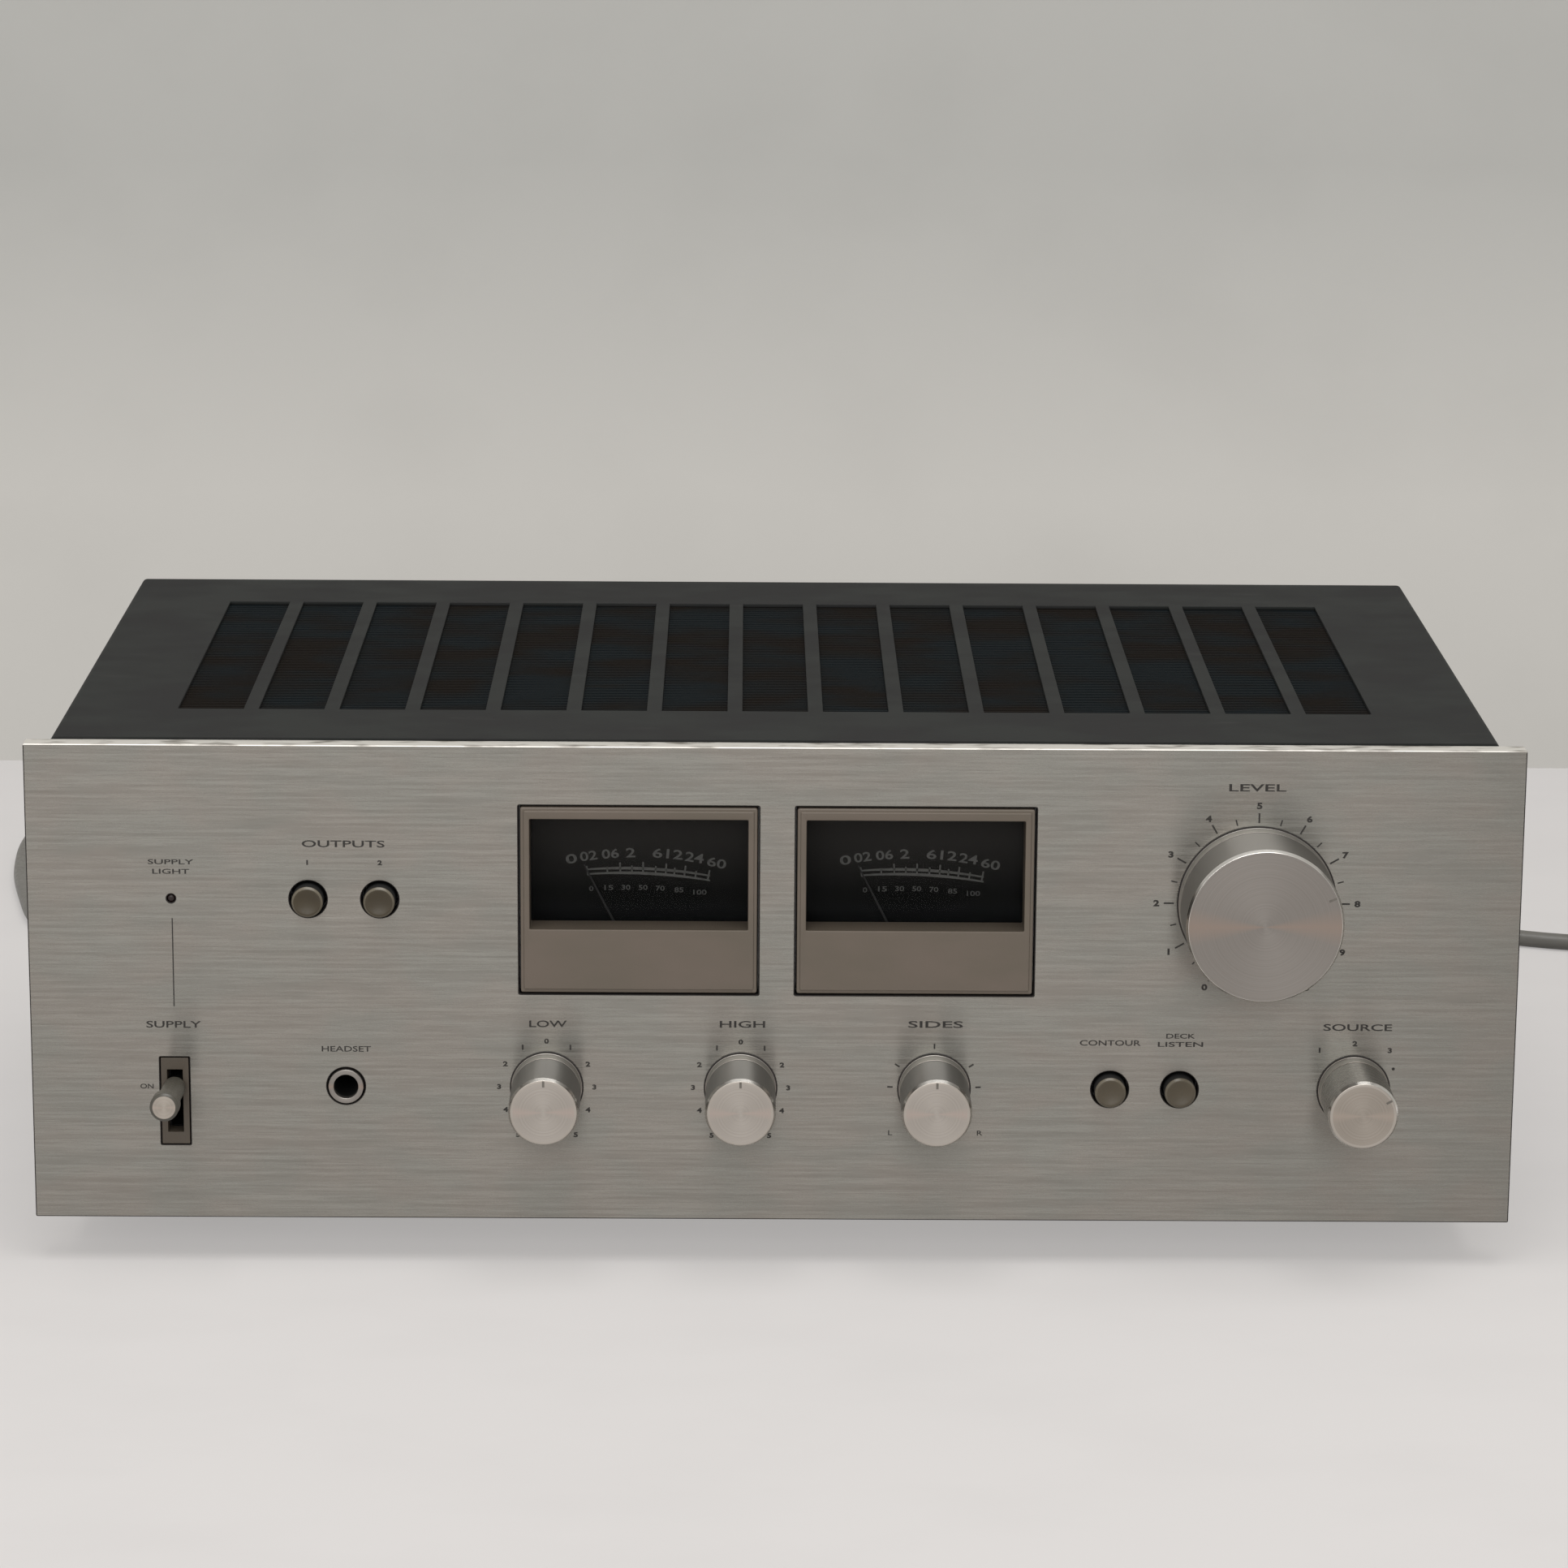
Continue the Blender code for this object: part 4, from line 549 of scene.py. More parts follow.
@dataclass(frozen=True)
class Bands:
    """Layers stacked along one axis: steel laminations, winding tape or a sleeve's stripes."""

    name: str
    colour: str
    line: str
    axis: int
    pitch: float
    share: float = 0.2
    roughness: float = 0.5
    metallic: float = 0.0
    relief: float = 0.06

    def mix(self) -> bpy.types.Material:
        """Mix the finish."""
        mix = Mix(self.name, self.colour, self.roughness, self.metallic)
        pitch = self.pitch * MM
        step = add_node(
            mix.tree, "ShaderNodeMath", {0: mix.height(self.axis), 1: pitch},
            operation="PINGPONG",
        ).outputs[0]
        cloud = mix.pattern((7.0, 7.0, 7.0), 0.35, 0.7, 3.0)
        base = mix.blend(mix.faint(cloud, 0.25), self.colour, self.line)
        mix.tones(mix.span(step, 0.0, pitch * self.share, 1.0, 0.0), base, self.line)
        mix.rough(cloud, self.roughness - 0.08, self.roughness + 0.1)
        mix.bump(step, self.relief)
        return mix.material


@dataclass(frozen=True)
class BoardResin:
    """Brown phenolic board: paper fibre in the resin, with paler solder-mask patches."""

    name: str = "board_resin"
    colour: str = "#7a5428"
    shade: str = "#5f3f1c"
    mask: str = "#8f7a3c"
    roughness: float = 0.42

    def mix(self) -> bpy.types.Material:
        """Mix the finish."""
        mix = Mix(self.name, self.colour, self.roughness)
        fibre = mix.pattern((2.5, 0.8, 0.8), 0.3, 0.7, 4.0)
        patches = mix.pattern((6.0, 6.0, 6.0), 0.49, 0.51, 0.0)
        base = mix.blend(fibre, self.shade, self.colour)
        mix.tones(mix.faint(patches, 0.25), base, self.mask)
        return mix.material


@dataclass(frozen=True)
class Sheet:
    """A pale table or wall with faint marks; part of its paleness is its own glow."""

    name: str
    colour: str
    mark: str
    glow: str
    high_glow: str
    roughness: float = 0.8
    rise: Pair = (0.10, 0.22)

    def mix(self) -> bpy.types.Material:
        """Mix the finish: it glows for the eye, metal and glass only, and its back is clear; its
        glow darkens towards the top as painted light falloff.
        """
        mix = Mix(self.name, self.colour, self.roughness)
        mix.set(**{"Specular IOR Level": 0.1})
        # Painted light falloff: the glow blends to a darker colour higher up.
        upper = mix.span(mix.height(2), *self.rise)
        mix.lead(mix.blend(upper, self.glow, self.high_glow), "Emission Color")
        marks = mix.pattern((70.0, 45.0, 60.0), 0.45, 0.75, 4.0)
        mix.tones(mix.faint(marks, 0.5), self.colour, self.mark)
        rays = add_node(mix.tree, "ShaderNodeLightPath").outputs
        seen = rays["Is Camera Ray"]
        for kind in ("Is Glossy Ray", "Is Transmission Ray"):
            seen = add_node(
                mix.tree, "ShaderNodeMath", {0: seen, 1: rays[kind]}, operation="MAXIMUM"
            ).outputs[0]
        mix.lead(seen, "Emission Strength")
        back = add_node(mix.tree, "ShaderNodeNewGeometry").outputs["Backfacing"]
        mix.lead(mix.span(back, 0.0, 1.0, 1.0, 0.0), "Alpha")
        return mix.material


class Finishes:
    """Every finish of the object, mixed once."""

    def __init__(self) -> None:
        """Mix them all."""
        spun, plated, moulded, ink = SpunAluminium, PlatedSteel, Moulding, Ink
        self.panel = BrushedAluminium().mix()
        self.edge = CutEdge().mix()
        # The third colour of each spun finish is its painted highlight wedge; where it equals the
        # first colour, no wedge shows.
        self.knob = spun("turned_face", "#8c8782", "#938e89", "#9e8f85").mix()
        self.small_knob = spun("turned_face_pale", "#aca59e", "#b4aea7", "#bbaea6").mix()
        self.mid_knob = spun("turned_face_mid", "#9f978e", "#a8a097", "#b0a49a").mix()
        self.face_ring = spun("turned_face_edge", "#b9b2aa", "#b0a9a1", "#b9b2aa").mix()
        self.knob_side = spun("turned_side", "#7f7c77", "#888580", "#7f7c77", 0.44, 0.9).mix()
        self.small_side = spun(
            "turned_side_dark", "#898783", "#93918d", "#898783", 0.36, 0.9
        ).mix()
        self.bright_side = spun(
            "turned_side_bright", "#a19f9a", "#aaa8a3", "#a19f9a", 0.26, 0.9
        ).mix()
        self.rim = spun("turned_rim", "#f2efea", "#e8e5df", "#f2efea", 0.18, 0.0).mix()
        self.foot_ring = spun("turned_foot", "#b9b6b0", "#adaaa3", "#b9b6b0", amount=0.6).mix()
        self.paint = PaintedSteel().mix()
        # Painted shade: the ribs are the cover's own steel, painted near black for the shade
        # between the slots.
        self.rib_paint = PaintedSteel(
            "vent_paint_shaded", "#1b1714", "#12181b", "#1b1a18", 0.65, 0.05
        ).mix()
        self.plated = plated().mix()
        self.nickel = plated("nickel_plating", "#b5b2ac", "#a4a19b", 0.22, 9.0).mix()
        self.steel_screw = plated("screw_steel", "#3c3b3a", "#2f2e2e", 0.30, 3.0).mix()
        self.sink = plated("black_anodised", "#2a2a2b", "#232324", 0.42, 4.0).mix()
        self.taupe = moulded("taupe_moulding", "#645b50", "#6a5f55", 0.46, 0.30, 0.006).mix()
        # The power slot frame's own darker colour; on the meter wells' walls it is painted shade.
        self.slot_taupe = moulded("slot_moulding", "#4e463c", "#544b41", 0.50, 0.30, 0.006).mix()
        # Shaded and lit copies of one button moulding: painted light across the panel.
        self.button = moulded("button_moulding", "#3e3523", "#383022", 0.40, 0.30, 0.004).mix()
        self.pale_button = moulded(
            "button_moulding_lit", "#514838", "#4b4335", 0.40, 0.30, 0.004
        ).mix()
        # Painted highlight on the buttons' chamfers.
        self.button_rim = moulded("button_rim", "#6a6355", "#625b4e", 0.30, 0.30, 0.004).mix()
        self.lever = moulded("lever_moulding", "#48453e", "#4f4c44", 0.35, 0.4, 0.004).mix()
        self.black = moulded("black_moulding", "#1b1a19", "#22201f").mix()
        self.deep = moulded("bore_black", "#070707", "#0a0909", 0.7).mix()
        # Painted shade: used on the panel's hole walls, the knobs' grooves and the knobs' backs and
        # feet.
        self.gap = moulded("shadow_gap", "#17110e", "#1c1511", 0.7).mix()
        self.rubber = moulded("foot_rubber", "#1d1c1b", "#262423", 0.75, 0.5, 0.03).mix()
        self.cord = moulded("cord_jacket", "#6f6d68", "#66645f", 0.38, 1.2, 0.015).mix()
        self.lamp = moulded("lamp_lens", "#1a0a08", "#120806", 0.30, 0.6, 0.0).mix()
        self.red = moulded("red_ring", "#a02a22", "#8c231d", 0.35).mix()
        self.white = moulded("white_ring", "#d5d2ca", "#c8c5bd", 0.35).mix()
        self.window = ClearWindow().mix()
        self.dial = DialCard().mix()
        self.dial_ink = ink("dial_ink", "#565653", "#40403e").mix()
        self.dial_faint = ink("dial_ink_faint", "#3c3c3b", "#2c2c2c").mix()
        self.panel_ink = ink("panel_ink", "#211e1b", "#3a3632").mix()
        self.groove = ink("pointer_groove", "#6f6a63", "#5d5851").mix()
        self.needle = ink("needle_paint", "#161615", "#121211", 0.7).mix()
        self.iron = Bands("laminated_iron", "#4b4846", "#2b2928", 1, 0.5, 0.35, 0.42, 0.8).mix()
        self.tape = Bands("winding_tape", "#c49a3a", "#a67d28", 2, 9.0, 0.06, 0.35).mix()
        self.sleeve = Bands(
            "capacitor_sleeve", "#1d2740", "#8a92a4", 1, 16.0, 0.10, 0.3, relief=0.0
        ).mix()
        self.board = BoardResin().mix()


# Shapes

def eased(profile: Sequence[Pair], radius: float, steps: int = 3) -> list[Pair]:
    """Round the inner corners of a profile.

    Args:
        profile: The profile's corners.
        radius: How far from a corner the rounding starts, at most.
        steps: Points along each rounding, less one.

    Returns:
        The eased profile.
    """
    if radius <= 0:
        return list(profile)
    points = [Vector(point) for point in profile]
    made = [points[0]]
    for before, here, after in zip(points, points[1:], points[2:]):
        back, on = before - here, after - here
        reach = min(radius, back.length * 0.45, on.length * 0.45)
        start, end = here + back.normalized() * reach, here + on.normalized() * reach
        for step in range(steps + 1):
            share = step / steps
            made.append(start.lerp(here, share).lerp(here.lerp(end, share), share))
    made.append(points[-1])
    return [(point.x, point.y) for point in made]


def circle(x: float, height: float, radius: float, sides: int = 64) -> Loop:
    """Give the corners of a round outline."""
    return [
        (x + radius * math.cos(math.tau * side / sides),
         height + radius * math.sin(math.tau * side / sides))
        for side in range(sides)
    ]


def rectangle(x: float, height: float, width: float, tall: float, corner: float = 0.0) -> Loop:
    """Give a rectangle's corners, rounded where a corner radius is given.

    Args:
        x: Its middle.
        height: Its middle height.
        width: Its width.
        tall: Its height.
        corner: Its corners' radius.

    Returns:
        The outline.
    """
    points = []
    half_wide, half_tall = width / 2 - corner, tall / 2 - corner
    for number, (right, up) in enumerate(((1, 1), (-1, 1), (-1, -1), (1, -1))):
        for step in range(4 if corner else 1):
            angle = math.pi / 2 * (number + step / 3)
            points.append((x + right * half_wide + corner * math.cos(angle),
                           height + up * half_tall + corner * math.sin(angle)))
    return points


def rod(radius: float, front: float, back: float) -> list[Pair]:
    """Give the profile of a plain round rod."""
    return [(0.0, front), (radius, front), (radius, back), (0.0, back)]


def tube(outer: float, inner: float, front: float, back: float) -> list[Pair]:
    """Give the profile of a plain round tube."""
    return [(outer, front), (outer, back), (inner, back), (inner, front)]


def mesh_of(thing: bpy.types.Object) -> bpy.types.Mesh:
    """Read an object as a plain mesh and remove the object.

    Args:
        thing: A curve, text or mesh object, modifiers included.

    Returns:
        Its evaluated mesh.
    """
    bpy.context.scene.collection.objects.link(thing)
    graph = bpy.context.evaluated_depsgraph_get()
    mesh = bpy.data.meshes.new_from_object(thing.evaluated_get(graph), depsgraph=graph)
    bpy.data.objects.remove(thing)
    return mesh


def mesh_from(shape: bmesh.types.BMesh, name: str) -> bpy.types.Mesh:
    """End an edit mesh and keep it as a plain mesh."""
    mesh = bpy.data.meshes.new(name)
    shape.to_mesh(mesh)
    shape.free()
    return mesh


def put(name: str, data: Any) -> bpy.types.Object:
    """Put a new object into the scene."""
    thing = bpy.data.objects.new(name, data)
    bpy.context.scene.collection.objects.link(thing)
    return thing


def modify(thing: bpy.types.Object, kind: str, **settings: Any) -> None:
    """Give an object a modifier with its settings."""
    made = thing.modifiers.new(kind.lower(), kind)
    for name, value in settings.items():
        setattr(made, name, value)


class Shape:
    """A mesh being built in panel millimetres; its brush map follows each surface's grooves."""

    AROUND = 0.05

    def __init__(self, facing: Facing = Facing.FRONT) -> None:
        """Start empty, with the way that its flat and turned forms look."""
        self.turn = facing.turn
        self.bm = bmesh.new()
        self.brush = self.bm.loops.layers.uv.new("brush")
        self.finishes: list[bpy.types.Material] = []

    def number(self, finish: bpy.types.Material) -> int:
        """Give a finish's place in the mesh's list of materials."""
        if finish not in self.finishes:
            self.finishes.append(finish)
        return self.finishes.index(finish)

    def lathe(
        self, profile: Sequence[Pair], place: Vector, finish: bpy.types.Material,
        sides: int = 64, ease: float = 0.0, shut: bool = False, turn: Matrix | None = None,
    ) -> None:
        """Turn a profile round an axis.

        Args:
            profile: Radius and reach along the axis, in mm, from the outer pole inwards.
            place: Where the axis starts.
            finish: The material.
            sides: Sides of the round.
            ease: Rounding of the profile's corners, in mm.
            shut: True where the profile closes on itself and meets no pole.
            turn: The rotation that leads z to the axis, where it isn't the shape's own.
        """
        points = eased(profile, ease)
        index = self.number(finish)
        way = (self.turn if turn is None else turn).to_3x3()
        rows, run, runs = [], 0.0, []
        for count, (radius, reach) in enumerate(points):
            if count:
                run += math.dist(points[count - 1], points[count]) * MM
            runs.append(run)
            ring = circle(0.0, 0.0, radius, sides) if radius > AT_AXIS else [(0.0, 0.0)]
            rows.append([
                self.bm.verts.new(place + way @ Vector((across * MM, up * MM, reach * MM)))
                for across, up in ring
            ])
        if shut:
            rows.append(rows[0])
            runs.append(run + math.dist(points[-1], points[0]) * MM)
        faces = []
        for count in range(len(rows) - 1):
            upper, lower = rows[count], rows[count + 1]
            for side in range(sides if len(upper) + len(lower) > 2 else 0):
                after = (side + 1) % sides
                corners = [
                    (upper[side % len(upper)], runs[count], side),
                    (upper[after % len(upper)], runs[count], side + 1),
                    (lower[after % len(lower)], runs[count + 1], side + 1),
                    (lower[side % len(lower)], runs[count + 1], side),
                ]
                if len(upper) == 1:
                    corners = [corners[0], corners[2], corners[3]]
                elif len(lower) == 1:
                    corners = corners[:3]
                face = self.bm.faces.new([corner[0] for corner in corners])
                face.material_index = index
                for loop, (_, down, across) in zip(face.loops, corners):
                    loop[self.brush].uv = (down, across * self.AROUND / sides)
                faces.append(face)
        bmesh.ops.recalc_face_normals(self.bm, faces=faces)

    def tint(
        self, finish: bpy.types.Material, test: Callable[[Triple, Vector], bool]
    ) -> None:
        """Give another finish to the faces that pass a test.

        Args:
            finish: The material.
            test: Takes a face's middle (x, depth and height in mm) and its normal.
        """
        index = self.number(finish)
        base = at(0.0, 0.0, 0.0)
        for face in self.bm.faces:
            if test(tuple((face.calc_center_median() - base) / MM), face.normal):
                face.material_index = index

    def brush_faces(self, faces: Iterable[bmesh.types.BMFace], finish: bpy.types.Material) -> None:
        """Give faces their material, and a brush map for grooves that run sideways.

        Args:
            faces: The faces.
            finish: Their material.
        """
        index = self.number(finish)
        for face in faces:
            face.material_index = index
            face.normal_update()
            level = abs(face.normal.z) > 0.8
            for loop in face.loops:
                co = loop.vert.co
                loop[self.brush].uv = (co.y if level else co.z, co.x)

    def plate(
        self, loops: Sequence[Loop], place: Vector, thickness: float,
        finish: bpy.types.Material, ease: float = 0.0, turn: Matrix | None = None,
    ) -> None:
        """Add a flat plate from its outline and its holes.

        Args:
            loops: The outline and the holes, in mm in the plate's own plane.
            place: Where the plate's own zero stands, on its outer face.
            thickness: Its thickness in mm.
            finish: The material.
            ease: Width of its eased edges, in mm.
            turn: The rotation that leads z out of its face, where it isn't the shape's own.
        """
        curve = bpy.data.curves.new("outline", "CURVE")
        curve.dimensions = "2D"
        curve.fill_mode = "BOTH"
        curve.extrude = (thickness / 2 - ease) * MM
        curve.bevel_depth = ease * MM
        curve.bevel_resolution = 1
        curve.offset = -ease * MM
        for loop in loops:
            spline = curve.splines.new("POLY")
            spline.points.add(len(loop) - 1)
            for point, (across, up) in zip(spline.points, loop):
                point.co = (across * MM, up * MM, 0.0, 1.0)
            spline.use_cyclic_u = True
        mesh = mesh_of(bpy.data.objects.new("outline", curve))
        sink = Matrix.Translation((0.0, 0.0, -thickness / 2 * MM))
        way = self.turn if turn is None else turn
        self.join(mesh, Matrix.Translation(place) @ way @ sink, finish)

    def words(
        self, text: str, tall: float, place: Vector, finish: bpy.types.Material,
        wide: float = 0.0, stretch: float = 1.0, bold: float = 0.016,
        turn: Matrix | None = None,
    ) -> None:
        """Print a number or a short word.

        Args:
            text: What it says.
            tall: Its height in mm.
            place: Where its middle stands.
            finish: The ink.
            wide: Its whole width in mm, or 0 for the font's own.
            stretch: How much wider than the font's own it is, where no width is given.
            bold: How far its strokes are thickened, in letter heights.
            turn: The rotation that leads z out of its face, where it isn't the shape's own.
        """
        font = bpy.data.curves.new("words", "FONT")
        font.body = text
        font.size = 1.0
        font.offset = bold
        font.resolution_u = 3
        font.extrude = 0.5
        mesh = mesh_of(bpy.data.objects.new("words", font))
        points = [vert.co for vert in mesh.vertices]
        left, right = min(co.x for co in points), max(co.x for co in points)
        low, high = min(co.y for co in points), max(co.y for co in points)
        up = tall * MM / (high - low)
        across = wide * MM / (right - left) if wide else up * stretch
        centre = Matrix.Translation((-(left + right) / 2, -(low + high) / 2, 0.0))
        size = Matrix.Diagonal((across, up, INK_THICK * MM, 1.0))
        way = self.turn if turn is None else turn
        self.join(mesh, Matrix.Translation(place) @ way @ size @ centre, finish)

    def join(self, mesh: bpy.types.Mesh, where: Matrix, finish: bpy.types.Material) -> None:
        """Add a finished mesh.

        Args:
            mesh: The mesh, which is then removed.
            where: Its place and size.
            finish: Its material.
        """
        part = bmesh.new()
        part.from_mesh(mesh)
        bmesh.ops.remove_doubles(part, verts=part.verts, dist=AT_AXIS * MM)
        bmesh.ops.transform(part, matrix=where, verts=part.verts)
        part.to_mesh(mesh)
        part.free()
        before = len(self.bm.faces)
        self.bm.from_mesh(mesh)
        self.bm.faces.ensure_lookup_table()
        self.brush_faces(self.bm.faces[before:], finish)
        bpy.data.meshes.remove(mesh)

    def piece(
        self, name: str, body: str, slot: Slot, replaces: Sequence[str] = (), sharp: float = 32.0
    ) -> bpy.types.Object:
        """Make the shape a piece of the object.

        Args:
            name: The piece's name.
            body: The body that it rides on.
            slot: The record's slot for its finish.
            replaces: CAD nodes that it stands for.
            sharp: Edges over this angle stay sharp.

        Returns:
            The piece.
        """
        mesh = mesh_from(self.bm, name)
        for finish in self.finishes:
            mesh.materials.append(finish)
        mesh.shade_smooth()
        mesh.set_sharp_from_angle(angle=math.radians(sharp))
        raw = bpy.data.objects.new(name, mesh)
        modify(raw, "WEIGHTED_NORMAL", keep_sharp=True, weight=80)
        thing = put(name, mesh_of(raw))
        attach(thing, body)
        if replaces:
            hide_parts(*replaces)
        LOG.info("%s rides on %s, %d faces", name, body, len(thing.data.polygons))
        return thing


def dress(finish: bpy.types.Material, *nodes: str) -> None:
    """Give CAD nodes that stay in sight a procedural material.

    Args:
        finish: The material.
        *nodes: The nodes' names.
    """
    for node in nodes:
        thing = frame["nodes"][node]
        if thing.material_slots:
            for slot in thing.material_slots:
                slot.material = finish
        else:
            thing.data.materials.append(finish)


# Repeated shapes

class Repeat:
    """A geometry tree with named sizes that sets out copies of one small shape."""

    KINDS = {
        float: "NodeSocketFloat", int: "NodeSocketInt",
        bpy.types.Material: "NodeSocketMaterial",
    }

    def __init__(self, name: str, **sizes: Any) -> None:
        """Open the tree and name its inputs.

        Args:
            name: The tree's name.
            **sizes: Each input's value: lengths in metres, counts, angles or a material.
        """
        self.tree = bpy.data.node_groups.new(name, "GeometryNodeTree")
        self.tree.interface.new_socket("Shape", in_out="OUTPUT", socket_type="NodeSocketGeometry")
        self.values: dict[str, Any] = {}
        for label, value in sizes.items():
            kind = bpy.types.Material if isinstance(value, bpy.types.Material) else type(value)
            socket = self.tree.interface.new_socket(
                label, in_out="INPUT", socket_type=self.KINDS[kind]
            )
            self.values[socket.identifier] = value
        self.sizes = add_node(self.tree, "NodeGroupInput").outputs

    def add(self, kind: str, inputs: dict[Any, Any] | None = None, **settings: Any) -> Any:
        """Add a node to this tree and give its outputs."""
        return add_node(self.tree, kind, inputs, **settings).outputs

    def math(self, operation: str, *values: Any) -> bpy.types.NodeSocket:
        """Work out a number from one or two others."""
        return self.add("ShaderNodeMath", dict(enumerate(values)), operation=operation)[0]

    def times(self, first: Any, second: Any) -> bpy.types.NodeSocket:
        """Multiply two numbers."""
        return self.math("MULTIPLY", first, second)

    def vector(self, *values: Any) -> bpy.types.NodeSocket:
        """Join up to three numbers to a vector."""
        return self.add("ShaderNodeCombineXYZ", dict(enumerate(values)))[0]

    def box(self, *sizes: Any) -> bpy.types.NodeSocket:
        """Make a box from its three sizes."""
        return self.add("GeometryNodeMeshCube", {"Size": self.vector(*sizes)})[0]

    def close(self, copies: bpy.types.NodeSocket) -> bpy.types.Mesh:
        """End the tree, run it and read the result as a plain mesh.

        Args:
            copies: The instances.

        Returns:
            The mesh.
        """
        real = self.add("GeometryNodeRealizeInstances", {0: copies})[0]
        finish = self.sizes["Finish"]
        dressed = self.add("GeometryNodeSetMaterial", {0: real, "Material": finish})[0]
        add_node(self.tree, "NodeGroupOutput", {0: dressed})
        carrier = bpy.data.objects.new(self.tree.name, bpy.data.meshes.new(self.tree.name))
        modifier = carrier.modifiers.new(self.tree.name, "NODES")
        modifier.node_group = self.tree
        for identifier, value in self.values.items():
            modifier[identifier] = value
        return mesh_of(carrier)


def grid_of_bars(
    name: str, columns: int, column_pitch: float, rows: int, row_pitch: float,
    size: Triple, finish: bpy.types.Material,
) -> bpy.types.Mesh:
    """Set out equal bars in columns and rows, centred on zero.

    Args:
        name: The tree's name.
        columns: Count along x.
        column_pitch: Their pitch in mm.
        rows: Count along y.
        row_pitch: Their pitch in mm.
        size: A bar's size in mm.
        finish: The material.

    Returns:
        The mesh.
    """
    tree = Repeat(
        name, Columns=columns, Column_Pitch=column_pitch * MM, Rows=rows,
        Row_Pitch=row_pitch * MM, Length=size[0] * MM, Width=size[1] * MM, Height=size[2] * MM,
        Finish=finish,
    )
    sizes = tree.sizes
    across, along = (
        tree.times(tree.math("SUBTRACT", sizes[count], 1.0), sizes[pitch])
        for count, pitch in (("Columns", "Column_Pitch"), ("Rows", "Row_Pitch"))
    )
    spots = tree.add(
        "GeometryNodeMeshGrid",
        {"Size X": across, "Size Y": along, "Vertices X": sizes["Columns"],
         "Vertices Y": sizes["Rows"]},
    )[0]
    bar = tree.box(sizes["Length"], sizes["Width"], sizes["Height"])
    return tree.close(
        tree.add("GeometryNodeInstanceOnPoints", {"Points": spots, "Instance": bar})[0]
    )


def ring_of_bars(
    name: str, count: int, radius: float, first: float, step: float, size: Triple,
    finish: bpy.types.Material,
) -> bpy.types.Mesh:
    """Set out equal bars round a circle, each pointing outwards.

    Args:
        name: The tree's name.
        count: How many.
        radius: Radius of their middles in mm.
        first: The first one's angle in degrees, clockwise from the top.
        step: The angle between two.
        size: A bar's width, length and thickness in mm.
        finish: The material.

    Returns:
        The mesh.
    """
    tree = Repeat(
        name, Count=count, Radius=radius * MM, First=math.radians(first),
        Step=math.radians(step), Width=size[0] * MM, Length=size[1] * MM,
        Height=size[2] * MM, Finish=finish,
    )
    sizes = tree.sizes
    points = tree.add("GeometryNodeMeshLine", {"Count": sizes["Count"]})[0]
    number = tree.add("GeometryNodeInputIndex")[0]
    angle = tree.math("ADD", tree.times(number, sizes["Step"]), sizes["First"])
    place = tree.vector(
        *(tree.times(tree.math(wave, angle), sizes["Radius"]) for wave in ("SINE", "COSINE"))
    )
    spots = tree.add("GeometryNodeSetPosition", {"Geometry": points, "Position": place})[0]
    bar = tree.box(sizes["Width"], sizes["Length"], sizes["Height"])
    turn = tree.vector(0.0, 0.0, tree.times(angle, -1.0))
    return tree.close(tree.add(
        "GeometryNodeInstanceOnPoints", {"Points": spots, "Instance": bar, "Rotation": turn}
    )[0])


def screw_head(
    name: str, radius: float, height: float, finish: bpy.types.Material
) -> bpy.types.Mesh:
    """Make a pan head with a cross recess, standing on zero.

    Args:
        name: The tree's name.
        radius: The head's radius in mm.
        height: Its height in mm.
        finish: The material.

    Returns:
        The mesh.
    """
    tree = Repeat(name, Radius=radius * MM, Height=height * MM, Finish=finish)
    wide, tall = tree.sizes["Radius"], tree.sizes["Height"]
    head = tree.add(
        "GeometryNodeMeshCone",
        {"Vertices": 28, "Radius Top": tree.times(wide, 0.72), "Radius Bottom": wide,
         "Depth": tall},
    )[0]
    cut = add_node(tree.tree, "GeometryNodeMeshBoolean", {0: head}, operation="DIFFERENCE")
    for long_x, long_y in ((1.15, 0.26), (0.26, 1.15)):
        blade = tree.box(tree.times(wide, long_x), tree.times(wide, long_y), tall)
        lift = tree.vector(0.0, 0.0, tall)
        raised = tree.add("GeometryNodeTransform", {0: blade, "Translation": lift})[0]
        tree.tree.links.new(raised, cut.inputs[1])
    return tree.close(cut.outputs[0])


@dataclass
class Screws:
    """Pan-head screws of one size, set out on one side of the case, each at its own turn."""

    name: str
    finish: bpy.types.Material
    facing: Facing
    places: Sequence[Triple]
    radius: float
    height: float
    first_turn: float = 23.0
    next_turn: float = 37.0

    def build(self) -> None:
        """Make one head with its tree, and set it at each place."""
        shape = Shape(self.facing)
        head = screw_head(self.name + "_head", self.radius, self.height, self.finish)
        for number, place in enumerate(self.places):
            roll = spin(self.first_turn + self.next_turn * number)
            shape.join(
                head.copy(), Matrix.Translation(at(*place)) @ shape.turn @ roll, self.finish
            )
        shape.piece(self.name, CASE, Slot.PLATED)


# Camera, light and surroundings

